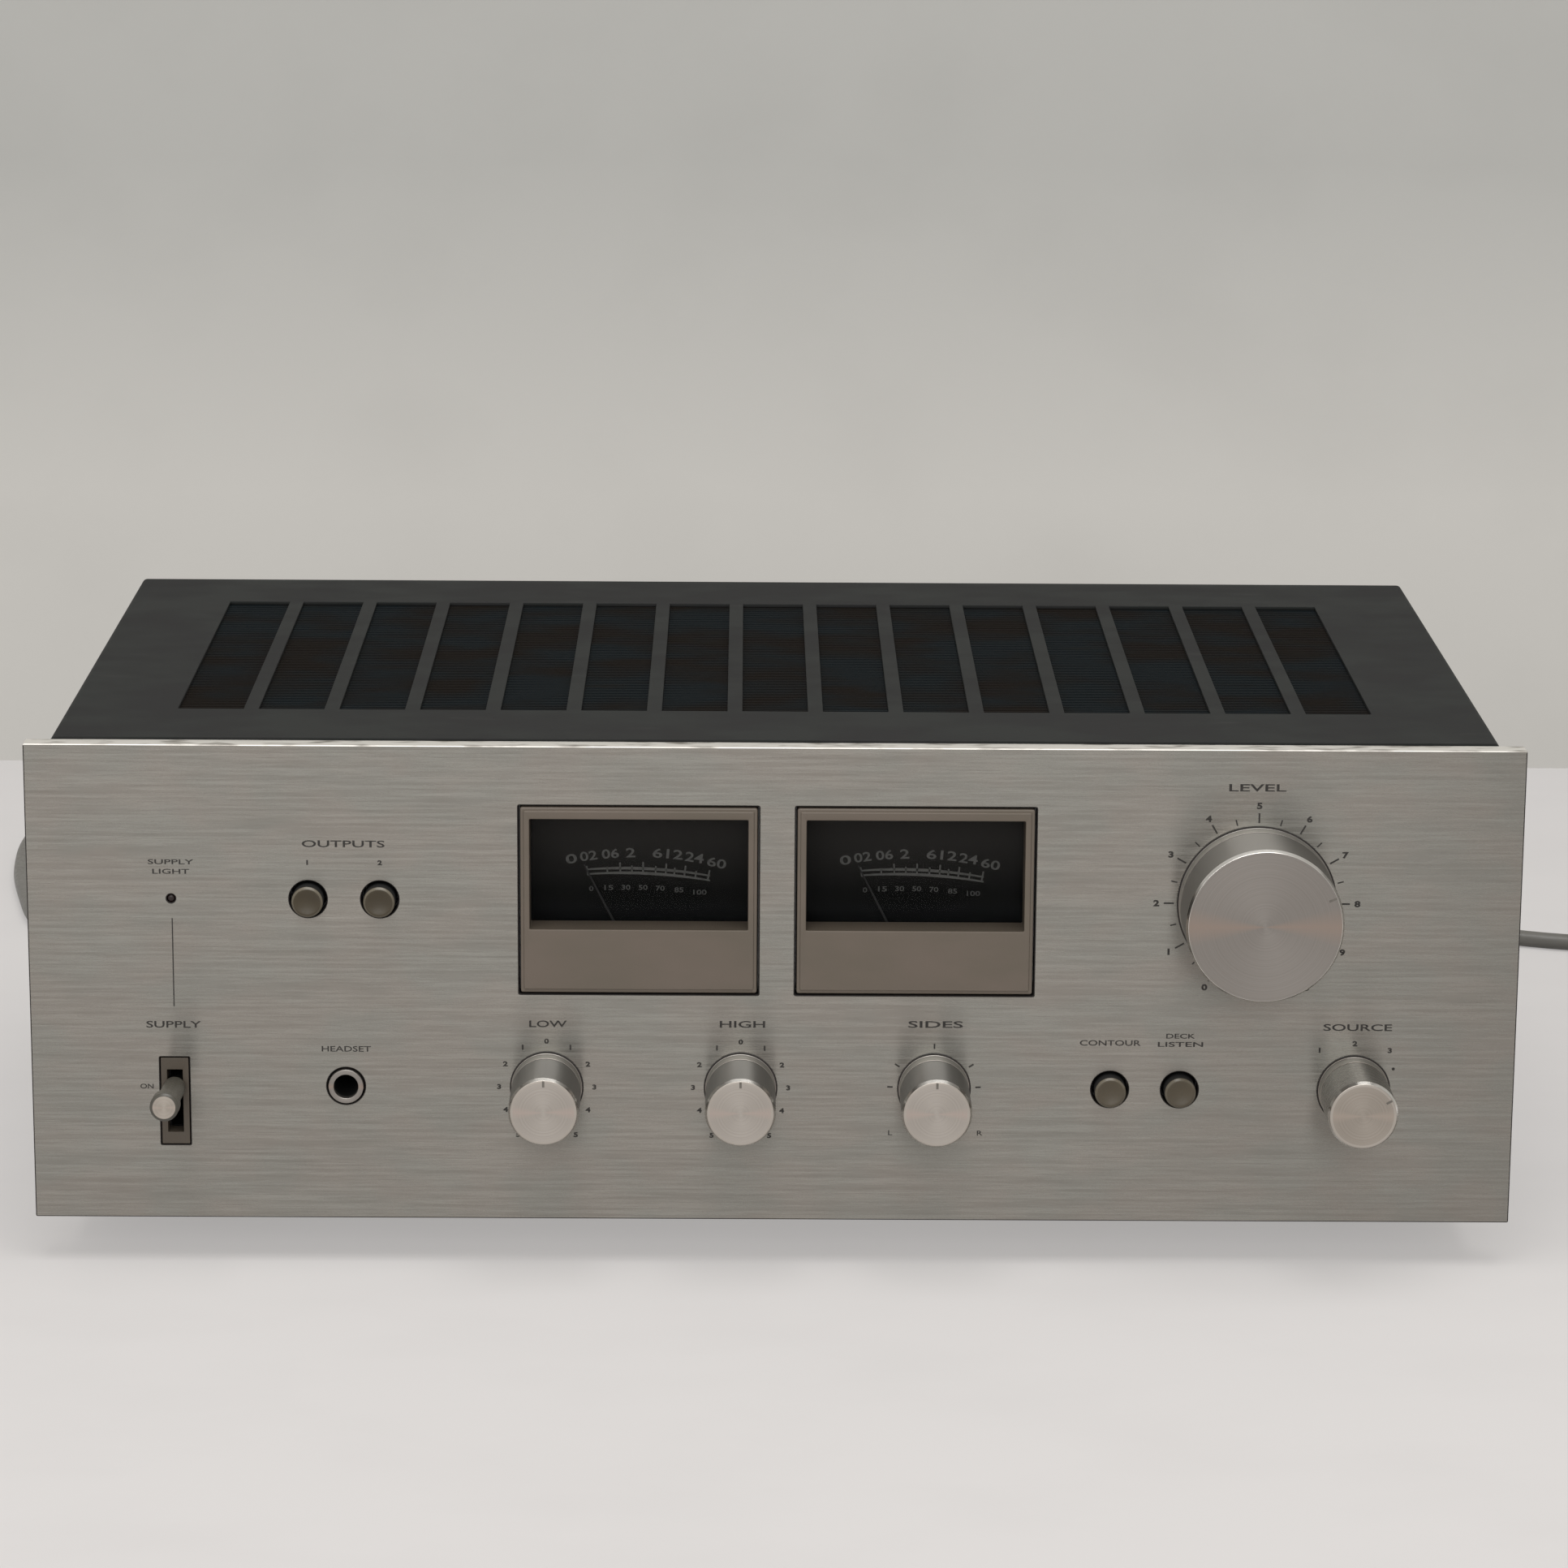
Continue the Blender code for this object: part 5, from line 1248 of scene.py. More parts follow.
@dataclass
class Studio:
    """The photograph's camera, a pale table and wall, and plain soft light."""

    focal: float = 117.31
    sensor: float = 36.0
    camera_place: Triple = (-7.97653, -1255.35425, 419.53722)
    pitch: float = 13.60576766
    yaw: float = 0.45979738
    roll: float = 0.3965084
    wall_depth: float = 558.0
    half_width: float = 1500.0
    front_reach: float = 1500.0
    wall_height: float = 1500.0
    clip: Pair = (0.05, 20.0)
    sky_colour: str = "#f4f2ee"
    sky_strength: float = 0.57
    lamps: tuple[tuple[str, Triple, Triple, Pair, float], ...] = (
        ("ceiling_lamp", (0.05, -0.45, 1.45), (0.0, -0.1, 0.0), (1.2, 1.0), 12.8),
        ("front_lamp", (-0.32, -2.2, 0.9), (0.0, 0.0, 0.05), (1.8, 1.0), 18.0),
    )

    def build(self) -> None:
        """Set the view, the surroundings and the lamps."""
        scene = bpy.context.scene
        scene.view_settings.view_transform = "Standard"
        self.set_camera(scene)
        self.set_surroundings()
        self.set_light(scene)
        LOG.info("studio: camera, table, wall and lamps")

    def set_camera(self, scene: bpy.types.Scene) -> None:
        """Place the camera where the photograph was taken from."""
        lens = bpy.data.cameras.new("camera")
        lens.sensor_width = self.sensor
        lens.lens = self.focal
        lens.clip_start, lens.clip_end = self.clip
        view = (spin(self.roll, "Y") @ spin(self.pitch, "X") @ spin(self.yaw)).to_3x3()
        right, forward, up = view
        camera = put("camera", lens)
        turn = Matrix((right, up, -forward)).transposed().to_4x4()
        camera.matrix_world = Matrix.Translation(at(*self.camera_place)) @ turn
        scene.camera = camera

    def set_surroundings(self) -> None:
        """Lay the table and stand the wall behind it."""
        back = at(0.0, self.wall_depth, 0.0).y
        near = -self.front_reach * MM
        side, top = self.half_width * MM, self.wall_height * MM
        sheets = {
            "table": (
                Sheet("table_top", "#9f9c9a", "#979492", "#a09e9d", "#a09e9d").mix(),
                ((-side, near, 0.0), (side, near, 0.0), (side, back, 0.0), (-side, back, 0.0)),
            ),
            "wall": (
                # The wall's glow darkens towards its top: painted light falloff.
                Sheet("wall_paint", "#a09e9a", "#969490", "#8b8985", "#676866").mix(),
                ((-side, back, 0.0), (side, back, 0.0), (side, back, top), (-side, back, top)),
            ),
        }
        for name, (finish, corners) in sheets.items():
            shape = bmesh.new()
            shape.faces.new([shape.verts.new(corner) for corner in corners])
            mesh = mesh_from(shape, name)
            mesh.materials.append(finish)
            put(name, mesh)

    def set_light(self, scene: bpy.types.Scene) -> None:
        """Hang a large soft lamp overhead and a weaker one in front, over an even sky."""
        world = bpy.data.worlds.new("soft_room")
        world.use_nodes = True
        sky = world.node_tree.nodes["Background"]
        sky.inputs["Color"].default_value = srgb(self.sky_colour)
        sky.inputs["Strength"].default_value = self.sky_strength
        scene.world = world
        for name, place, goal, size, power in self.lamps:
            light = bpy.data.lights.new(name, "AREA")
            light.shape = "RECTANGLE"
            light.size, light.size_y = size
            light.energy = power
            way = (Vector(goal) - Vector(place)).to_track_quat("-Z", "Y")
            turn = way.to_matrix().to_4x4()
            put(name, light).matrix_world = Matrix.Translation(place) @ turn


# Mains cord

@dataclass
class MainsCord:
    """The free cord over the table, its coil, its plug and the bush where it leaves the case."""

    finishes: Finishes
    diameter: float = 5.2
    exit_x: float = -150.0
    exit_height: float = 22.5
    neck_radius: float = 4.8
    tip_radius: float = 3.6
    flange_radius: float = 6.6
    flange: float = 2.4
    panel_front: float = 207.2
    panel_rear: float = 208.4
    tip_depth: float = 234.4
    seat_gap: float = 0.3
    turns: float = 5.25
    points_per_turn: int = 36
    turn_gap: float = 0.6
    middle_radius: float = 30.0
    lead: float = 8.0
    tail: float = 22.0
    centre: Pair = (300.0, 168.0)
    lift: float = 0.1
    spacing: float = 6.4
    fine_steps: int = 40
    bush_rings: int = 5
    plug_ribs: int = 4
    sleeve: float = 9.0
    plug_width: float = 34.0
    plug_length: float = 36.0
    neck_width: float = 12.0
    shoulder: float = 12.0
    pin_radius: float = 2.0
    pin_length: float = 19.0
    pin_spacing: float = 19.0
    route: tuple[Triple, ...] = (
        (-150.5, 156.5, 31.4), (-152.4, 169.5, 21.0), (-157.0, 182.5, 9.4),
        (-167.5, 193.0, 3.4), (-184.0, 200.5, 2.7), (-206.0, 207.5, 2.7),
        (-224.0, 217.0, 2.7), (-234.5, 231.5, 2.7), (-241.5, 258.0, 2.7),
        (-247.6, 291.0, 2.7), (-250.2, 328.0, 2.7), (-246.5, 365.0, 2.7),
        (-233.0, 395.0, 2.7), (-208.0, 414.0, 2.7), (-172.0, 418.0, 2.7),
        (-128.0, 407.0, 2.7), (-70.0, 382.0, 2.7), (0.0, 353.0, 2.7),
        (80.0, 320.0, 2.7), (146.0, 283.0, 2.7), (197.0, 242.0, 2.7),
        (222.0, 225.0, 2.7), (240.3, 215.8, 2.7), (257.0, 210.6, 2.7),
        (275.0, 207.8, 2.7),
    )

    def smooth(self, points: Sequence[Vector]) -> list[Vector]:
        """Lead an even line smoothly through a few points.

        Args:
            points: The route's points.

        Returns:
            Points a set spacing apart.
        """
        ends = [2 * points[0] - points[1], *points, 2 * points[-1] - points[-2]]
        fine = []
        for before, first, second, after in zip(ends, ends[1:], ends[2:], ends[3:]):
            for step in range(self.fine_steps):
                share = step / self.fine_steps
                fine.append((2 * first + (second - before) * share
                             + (2 * before - 5 * first + 4 * second - after) * share ** 2
                             + (3 * first - before - 3 * second + after) * share ** 3) / 2)
        fine.append(points[-1])
        lengths = [0.0]
        for first, second in zip(fine, fine[1:]):
            lengths.append(lengths[-1] + (second - first).length)
        count = round(lengths[-1] / (self.spacing * MM))
        line, place = [], 0
        for number in range(count + 1):
            goal = lengths[-1] * number / count
            while place < len(lengths) - 2 and lengths[place + 1] < goal:
                place += 1
            share = (goal - lengths[place]) / (lengths[place + 1] - lengths[place])
            line.append(fine[place].lerp(fine[place + 1], share))
        return line

    def coil(self) -> list[Vector]:
        """Lay the coil's line: in along the table, inwards, up, and out on top.

        Returns:
            The line's points in metres.
        """
        pitch = self.diameter + self.turn_gap
        inmost = self.middle_radius - pitch * self.turns / 4
        steps = round(self.turns * self.points_per_turn)
        line = []
        for step in range(steps + 1):
            turn = self.turns * step / steps
            from_middle = turn - self.turns / 2
            around = math.pi / 2 - math.tau * turn
            reach = inmost + pitch * abs(from_middle)
            climb = min(max(from_middle * 2 + 0.5, 0.0), 1.0)
            rise = climb * climb * (3 - 2 * climb)
            line.append(Vector((
                self.centre[0] + reach * math.cos(around),
                self.centre[1] + reach * math.sin(around),
                self.lift + self.diameter / 2 + pitch * rise,
            )) * MM)
        first = (line[0] - line[1]).normalized()
        last = (line[-1] - line[-2]).normalized()
        first.z = last.z = 0.0
        return ([line[0] + first * self.lead * MM, line[0] + first * self.lead * MM / 2] + line
                + [line[-1] + last * self.tail * MM / 2, line[-1] + last * self.tail * MM])

    def build(self) -> None:
        coil = self.coil()
        start = at(self.exit_x, self.tip_depth + self.seat_gap, self.exit_height)
        into = (coil[0] - coil[1]).normalized()
        face = coil[0] + into * self.seat_gap * MM
        width = self.diameter * MM
        route = [start, start + Vector((0.0, width, 0.0))]
        route += [Vector(point) * MM for point in self.route]
        free = self.smooth(route + [face + into * width, face])
        for point in free:
            point.z = max(point.z, (self.diameter / 2 + self.lift) * MM)
        line = free[:-1] + coil
        curve = bpy.data.curves.new("mains_cord", "CURVE")
        curve.dimensions = "3D"
        curve.bevel_depth = width / 2
        curve.bevel_resolution = 4
        curve.use_fill_caps = True
        spline = curve.splines.new("POLY")
        spline.points.add(len(line) - 1)
        for point, where in zip(spline.points, line):
            point.co = (*where, 1.0)
        spline.use_smooth = True
        curve.materials.append(self.finishes.cord)
        cord = put("mains_cord", curve)
        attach(cord, CASE)
        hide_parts("power_cord", "cord_coil")
        bush = self.build_bush()
        plug = self.build_plug(coil[-1], (coil[-1] - coil[-2]).normalized())

    def build_bush(self) -> bpy.types.Object:
        """Make the tapered bush with the rings that let it bend."""
        outer = self.panel_rear + self.seat_gap
        inner = self.panel_front - self.seat_gap
        neck_end = outer + self.flange
        rings = []
        for ring in range(self.bush_rings):
            share = (ring + 0.5) / self.bush_rings
            depth = neck_end + (self.tip_depth - neck_end) * share
            radius = self.neck_radius + (self.tip_radius - self.neck_radius) * share
            rings += [(radius, depth - 1.3), (radius - 0.7, depth - 0.9),
                      (radius - 0.75, depth + 0.9), (radius - 0.05, depth + 1.3)]
        profile = [
            (0.0, self.tip_depth), (self.tip_radius, self.tip_depth), *reversed(rings),
            (self.neck_radius, neck_end), (self.flange_radius, neck_end),
            (self.flange_radius, outer), (self.neck_radius, outer), (self.neck_radius, inner),
            (self.flange_radius, inner), (self.flange_radius, inner - self.flange),
            (0.0, inner - self.flange),
        ]
        shape = Shape(Facing.REAR)
        place = at(self.exit_x, 0.0, self.exit_height)
        shape.lathe(profile, place, self.finishes.rubber, 40, 0.35)
        return shape.piece("cord_bush", CASE, Slot.RUBBER, ["cord_strain_relief"])

    def build_plug(self, end: Vector, way: Vector) -> bpy.types.Object:
        """Make the flat two-pin plug that lies on the table.

        Args:
            end: The cord's end.
            way: The cord's direction there.

        Returns:
            The plug.
        """
        flat = way.copy()
        flat.z = 0.0
        origin = end + flat.normalized() * self.seat_gap * MM
        turn = Matrix.Rotation(math.atan2(flat.y, flat.x) - math.pi / 2, 4, "Z")
        half, neck, long = self.plug_width / 2, self.neck_width / 2, self.plug_length
        thick = 2 * (origin.z / MM - self.lift)
        side = [(neck, 0.0), (neck, 3.0), (half * 0.55, self.shoulder * 0.5),
                (half, self.shoulder), (half, long - 4.0), (half - 1.2, long)]
        outline = side + [(-across, along) for across, along in reversed(side)]
        shape = Shape()
        top = origin + Vector((0.0, 0.0, thick / 2 * MM))
        shape.plate([eased(outline, 3.0, 4)], top, thick, self.finishes.cord, 1.6, turn)
        for row in range(self.plug_ribs):
            rib = rectangle(0.0, long - 7.0 - 4.0 * row, self.plug_width - 8.0, 1.8, 0.8)
            shape.plate([rib], top, thick, self.finishes.cord, 0.2, turn)
        pin, sleeve = (rod(self.pin_radius, self.pin_length + 2.0, self.sleeve),
                       rod(self.pin_radius - 0.05, self.sleeve + 0.2, 0.0))
        forward = turn @ Facing.REAR.turn
        for across in (-self.pin_spacing / 2, self.pin_spacing / 2):
            root = origin + turn.to_3x3() @ Vector((across, long - 2.0, 0.0)) * MM
            shape.lathe(pin, root, self.finishes.nickel, 32, 0.7, turn=forward)
            shape.lathe(sleeve, root, self.finishes.black, 32, 0.2, turn=forward)
        return shape.piece("two_pin_plug", CASE, Slot.CORD, ["power_plug"])


# Front of the case

@dataclass(frozen=True)
class Knob:
    """A turned control: its name, its pointer's angle, the body it turns and its finishes."""

    name: str
    pointer: float
    body: str
    face: str = "small_knob"
    side: str = "small_side"
    ringed: bool = True

    @property
    def node(self) -> str:
        """The CAD node that it stands for."""
        return self.name + "_knob"


@dataclass
class Controls:
    """The five knobs, each turned from bar with a bright foot ring and a pointer groove."""

    KNOBS = (
        Knob("volume", 67.0, "volume_control_knob", "knob", "knob_side", False),
        Knob("bass", 0.0, "bass_control_knob"),
        Knob("treble", 0.0, "treble_control_knob"),
        Knob("balance", 0.0, "balance_control_knob"),
        Knob("function", 60.0, "function_selector", "mid_knob", "bright_side"),
    )

    finishes: Finishes
    large: float = 12.0
    chamfer: float = 1.0
    foot_ring: float = 4.0
    groove: float = 0.5
    groove_deep: float = 0.6
    # A dark flange at the knob's foot, there to show the knob's shadow on the panel.
    lip: float = 0.5
    lip_end: float = 0.3
    bore: float = 3.3
    bore_deep: float = 12.0
    pointer_wide: float = 0.6

    def build(self) -> None:
        """Make every knob and dress the parts behind it."""
        for knob in self.KNOBS:
            self.build_knob(knob)
            dress(self.finishes.nickel, knob.name + "_shaft")
        dress(self.finishes.plated, "volume_control", "bass_control", "treble_control",
              "balance_control", "function_switch")

    def build_knob(self, knob: Knob) -> None:
        """Turn one knob.

        Args:
            knob: Which one.
        """
        low, high = extent(knob.node)
        x, height = middle(knob.node)
        radius = (high[0] - low[0]) / 2
        front, foot = -low[1], -high[1]
        rim, ring_end = front - self.chamfer, foot + self.foot_ring
        waist, groove_end = radius - self.groove_deep, ring_end + self.groove
        lip, lip_end, bore_end = radius + self.lip, foot - self.lip_end, foot + self.bore_deep
        profile = [
            (0.0, front), (radius - 1.3, front), (radius - 0.58, front), (radius, rim),
            (radius, groove_end), (waist, groove_end), (waist, ring_end), (radius, ring_end),
            (radius, foot), (lip, foot - 0.05), (lip, lip_end), (self.bore, lip_end),
            (self.bore, bore_end), (0.0, bore_end),
        ]
        finishes, shape, place = self.finishes, Shape(), at(x, 0.0, height)
        sides = 128 if radius > self.large else 96
        shape.lathe(profile, place, getattr(finishes, knob.face), sides, 0.1)
        shape.tint(getattr(finishes, knob.side),
                   lambda place, normal: place[1] > -rim and abs(normal.y) < 0.7)
        shape.tint(finishes.rim,
                   lambda place, normal: -front < place[1] < -rim and normal.y > -0.9)
        # Painted shade in the groove between the foot ring and the side.
        shape.tint(finishes.gap, lambda place, normal: -groove_end < place[1] < -ring_end)
        shape.tint(finishes.foot_ring,
                   lambda place, normal: place[1] > -ring_end and abs(normal.y) < 0.7)
        # Painted shadow: the flange at the foot, the knob's back and its bore take a near-black
        # brown for the dark line where the knob shades the panel.
        shape.tint(finishes.gap, lambda place, normal: place[1] > 0.01 - foot)
        if knob.ringed:
            shape.tint(finishes.face_ring, lambda place, normal: place[1] < 0.1 - front and
                       math.hypot(place[0] - x, place[2] - height) > radius - 1.2)
        self.cut_pointer(shape, knob, radius, front, place)
        shape.piece(knob.node + "_turned", knob.body, Slot.KNOB, [knob.node], 24.0)

    def cut_pointer(
        self, shape: Shape, knob: Knob, radius: float, front: float, place: Vector
    ) -> None:
        """Lay the dark line that shows the knob's setting on its face and edge.

        Args:
            shape: The knob's shape.
            knob: Which knob.
            radius: Its radius in mm.
            front: How far its face stands out.
            place: Where its axis meets the panel.
        """
        start, end = radius * (0.86 if radius > self.large else 0.74), radius - 0.7
        groove = rectangle(0.0, (start + end) / 2, self.pointer_wide, end - start)
        where = place + Vector((0.0, -(front + 0.02) * MM, 0.0))
        turn = shape.turn @ spin(-knob.pointer)
        shape.plate([groove], where, 0.25, self.finishes.groove, turn=turn)


@dataclass
class FrontPanel:
    """The thick brushed panel with its bright top edge (partly a painted highlight), painted shade
    on the walls of its holes, and its printing.
    """

    LABELS = (
        ("LEVEL", 122.0, 115.3, 1.9, 14.5), ("OUTPUTS", -109.5, 99.5, 1.8, 21.0),
        ("1", -118.7, 94.6, 1.3, 0.0), ("2", -100.3, 94.6, 1.3, 0.0),
        ("SUPPLY", -153.3, 94.6, 1.3, 11.6), ("LIGHT", -153.3, 92.1, 1.3, 9.4),
        ("SUPPLY", -153.4, 51.7, 1.8, 14.0), ("ON", -160.6, 35.2, 1.3, 3.4),
        ("HEADSET", -109.4, 45.4, 1.5, 12.6), ("LOW", -57.8, 52.3, 1.8, 9.6),
        ("HIGH", -8.1, 52.4, 1.8, 11.6), ("SIDES", 41.3, 52.6, 1.8, 14.0),
        ("L", 30.0, 23.6, 1.3, 0.0), ("R", 53.0, 23.6, 1.3, 0.0),
        ("CONTOUR", 86.1, 47.9, 1.5, 15.6), ("DECK", 104.1, 49.8, 1.3, 7.4),
        ("LISTEN", 104.1, 47.6, 1.3, 11.6), ("SOURCE", 149.4, 52.3, 1.8, 17.6),
    )

    finishes: Finishes
    width: float = 380.0
    tall: float = 125.2
    thickness: float = 5.5
    corner: float = 0.4
    ease: float = 0.3
    shaft_hole: float = 4.5
    button_hole: float = 4.75
    phones_hole: float = 4.85
    lamp_hole: float = 1.08
    slot_hole: Pair = (7.5, 23.3)
    number_ring: float = 25.6
    tick_ring: float = 22.4
    half_tick_ring: float = 21.9
    tone_ring: float = 12.2
    tone_end: float = 2.6
    side_ring: float = 11.3
    dot_ring: float = 11.6
    rule_x: float = -153.2
    rule_ends: Pair = (56.5, 79.8)
    letter_stretch: float = 1.35
    number_bold: float = 0.045
    word_bold: float = 0.012

    def openings(self) -> list[Loop]:
        """Give the panel's holes.

        Returns:
            One outline for each hole.
        """
        holes = [circle(*middle(knob.node), self.shaft_hole) for knob in Controls.KNOBS]
        holes += [circle(*middle(node), self.button_hole) for node in Buttons.NODES]
        holes.append(circle(*middle("phones_jack"), self.phones_hole))
        holes.append(circle(*middle("power_indicator"), self.lamp_hole, 24))
        holes.append(rectangle(*middle("power_slot_bezel"), *self.slot_hole, 0.2))
        wide, tall = (size + 2 * PowerMeter.gap for size in (PowerMeter.width, PowerMeter.tall))
        return holes + [rectangle(*middle("meter_bezel_" + hand), wide, tall, 0.3)
                        for hand in HANDS]

    def build(self) -> None:
        """Make the panel and print its scales."""
        shape = Shape()
        edge = rectangle(0.0, self.tall / 2, self.width, self.tall, self.corner)
        shape.plate([edge, *self.openings()], at(0.0, 0.0, 0.0), self.thickness,
                    self.finishes.panel, self.ease)
        half, top = self.width / 2 - 1.0, self.tall - 1.0
        # Painted shade: the walls of the holes and their eased rims take a near-black brown for the
        # shadow in the gaps round the controls.
        shape.tint(self.finishes.gap,
                   lambda place, normal: abs(normal.y) < 0.95 and place[2] < top)
        # The top edge alone takes the bright cut-edge colour: a polished edge, and a painted
        # highlight where light from above falls; the sides and bottom stay plain.
        shape.tint(self.finishes.edge,
                   lambda place, normal: abs(normal.y) < 0.95 and place[2] > top)
        shape.tint(self.finishes.panel,
                   lambda place, normal: (abs(normal.x) > 0.95 and abs(place[0]) > half)
                   or (normal.z < -0.95 and place[2] < 1.0))
        shape.piece("front_panel_brushed", CASE, Slot.PANEL, ["front_panel"], 25.0)
        self.print_scales()

    def print_scales(self) -> None:
        """Print the numbers, ticks and short words round the controls."""
        ink = self.finishes.panel_ink
        shape = Shape()

        def label(text: str, x: float, height: float, tall: float, wide: float = 0.0) -> None:
            """Print one word on the panel's face, and a lone number in a bolder cut."""
            bold = self.number_bold if text.isdigit() else self.word_bold
            shape.words(text, tall, at(x, 0.0, height), ink, wide, self.letter_stretch, bold)

        def ticks(
            name: str, centre: Pair, count: int, radius: float, first: float, step: float,
            size: Pair,
        ) -> None:
            """Print lines of one size on a ring round a control."""
            bars = ring_of_bars(name, count, radius, first, step, (*size, INK_THICK), ink)
            place = at(centre[0], 0.0, centre[1])
            shape.join(bars, Matrix.Translation(place) @ shape.turn, ink)

        centre = middle("volume_knob")
        for number in range(11):
            label(str(number), *clock_place(*centre, self.number_ring, 30.0 * number - 150.0), 1.7)
        ticks("volume_ticks", centre, 11, self.tick_ring, -150.0, 30.0, (0.42, 2.6))
        ticks("volume_half_ticks", centre, 10, self.half_tick_ring, -135.0, 30.0, (0.34, 1.6))
        for node in ("bass_knob", "treble_knob"):
            for step in range(-5, 6):
                reach = self.tone_ring + (self.tone_end if abs(step) == 5 else 0.0)
                label(str(abs(step)), *clock_place(*middle(node), reach, 30.0 * step), 1.35)
        for angle in (-88.0, -57.0, 0.0, 57.0, 88.0):
            ticks("balance_tick", middle("balance_knob"), 1, self.side_ring, angle, 1.0, (0.4, 1.4))
        centre = middle("function_knob")
        for text, angle, reach in (("2", 0.0, 12.5), ("1", -40.0, 14.0), ("3", 40.0, 14.0)):
            label(text, *clock_place(*centre, reach, angle), 1.4)
        for words in self.LABELS:
            label(*words)
        low, high = self.rule_ends
        for mark in (circle(*clock_place(*centre, self.dot_ring, 60.0), 0.4, 20),
                     rectangle(self.rule_x, (low + high) / 2, 0.3, high - low)):
            shape.plate([mark], at(0.0, -INK_THICK / 2, 0.0), INK_THICK, ink)
        shape.piece("panel_printing", CASE, Slot.BLACK)


@dataclass
class Buttons:
    """The four round push buttons, dished, each in its own hole."""

    NODES = ("speaker_a_button", "speaker_b_button", "loudness_button", "tape_monitor_button")

    finishes: Finishes
    play: float = 0.15
    dish_share: float = 0.78
    dish_deep: float = 0.45
    dish_steps: int = 6
    chamfer: float = 0.55

    def build(self) -> None:
        """Make the buttons and dress the switches behind them."""
        for node in self.NODES:
            low, high = extent(node)
            x, height = middle(node)
            radius, front, rear = (high[0] - low[0]) / 2 - self.play, -low[1], -high[1]
            shares = [step / self.dish_steps for step in range(self.dish_steps + 1)]
            profile = [(radius * self.dish_share * share,
                        front - self.dish_deep * (1 - share ** 2) ** 1.2) for share in shares]
            profile += [(radius - self.chamfer, front), (radius, front - self.chamfer),
                        (radius, rear), (0.0, rear)]
            edge = self.chamfer - front
            shape = Shape()
            # Lit and shaded copies of one moulding: the speaker buttons are painted darker and the
            # others paler, for the fall of the light across the panel.
            face = self.finishes.button if "speaker" in node else self.finishes.pale_button
            shape.lathe(profile, at(x, 0.0, height), face, 64, 0.12)
            shape.tint(self.finishes.deep,
                       lambda place, normal: place[1] > edge and normal.y > -0.3)
            # Painted highlight: the chamfer round each face takes a paler brown.
            shape.tint(self.finishes.button_rim,
                       lambda place, normal: place[1] < edge and -0.9 < normal.y < -0.3)
            shape.piece(node + "_dished", node, Slot.BUTTON, [node], 40.0)
        dress(self.finishes.plated, "speaker_switch_bank", "monitor_switch_bank")


@dataclass
class PhonesSocket:
    """The phones socket: a turned bush in the knobs' spun finish, in front of a black body."""

    finishes: Finishes
    ring: float = 4.5
    bore: float = 3.15
    bore_depth: float = 30.0
    body: float = 8.0
    proud: float = 0.7
    seat: float = 7.3

    def build(self) -> None:
        """Make the bush and the body."""
        x, height = middle("phones_jack")
        place = at(x, 0.0, height)
        bore, ring, proud = self.bore, self.ring, self.proud
        shape = Shape()
        shape.lathe(
            [(bore, proud - 0.12), (bore + 0.12, proud), (ring - 0.15, proud),
             (ring, proud - 0.15), (ring, -self.seat), (bore, -self.seat)],
            place, self.finishes.knob, 72, 0.12, True,
        )
        rear = -self.bore_depth
        shape.lathe(
            [(bore - 0.02, -1.2), (bore - 0.02, rear), (0.0, rear), (0.0, rear - 2.4),
             (self.body, rear - 2.4), (self.body, -self.seat), (bore + 0.3, -self.seat),
             (bore + 0.3, -1.2)],
            place, self.finishes.deep, 48, 0.1, True,
        )
        shape.piece("phones_socket", CASE, Slot.BLACK, ["phones_jack"])


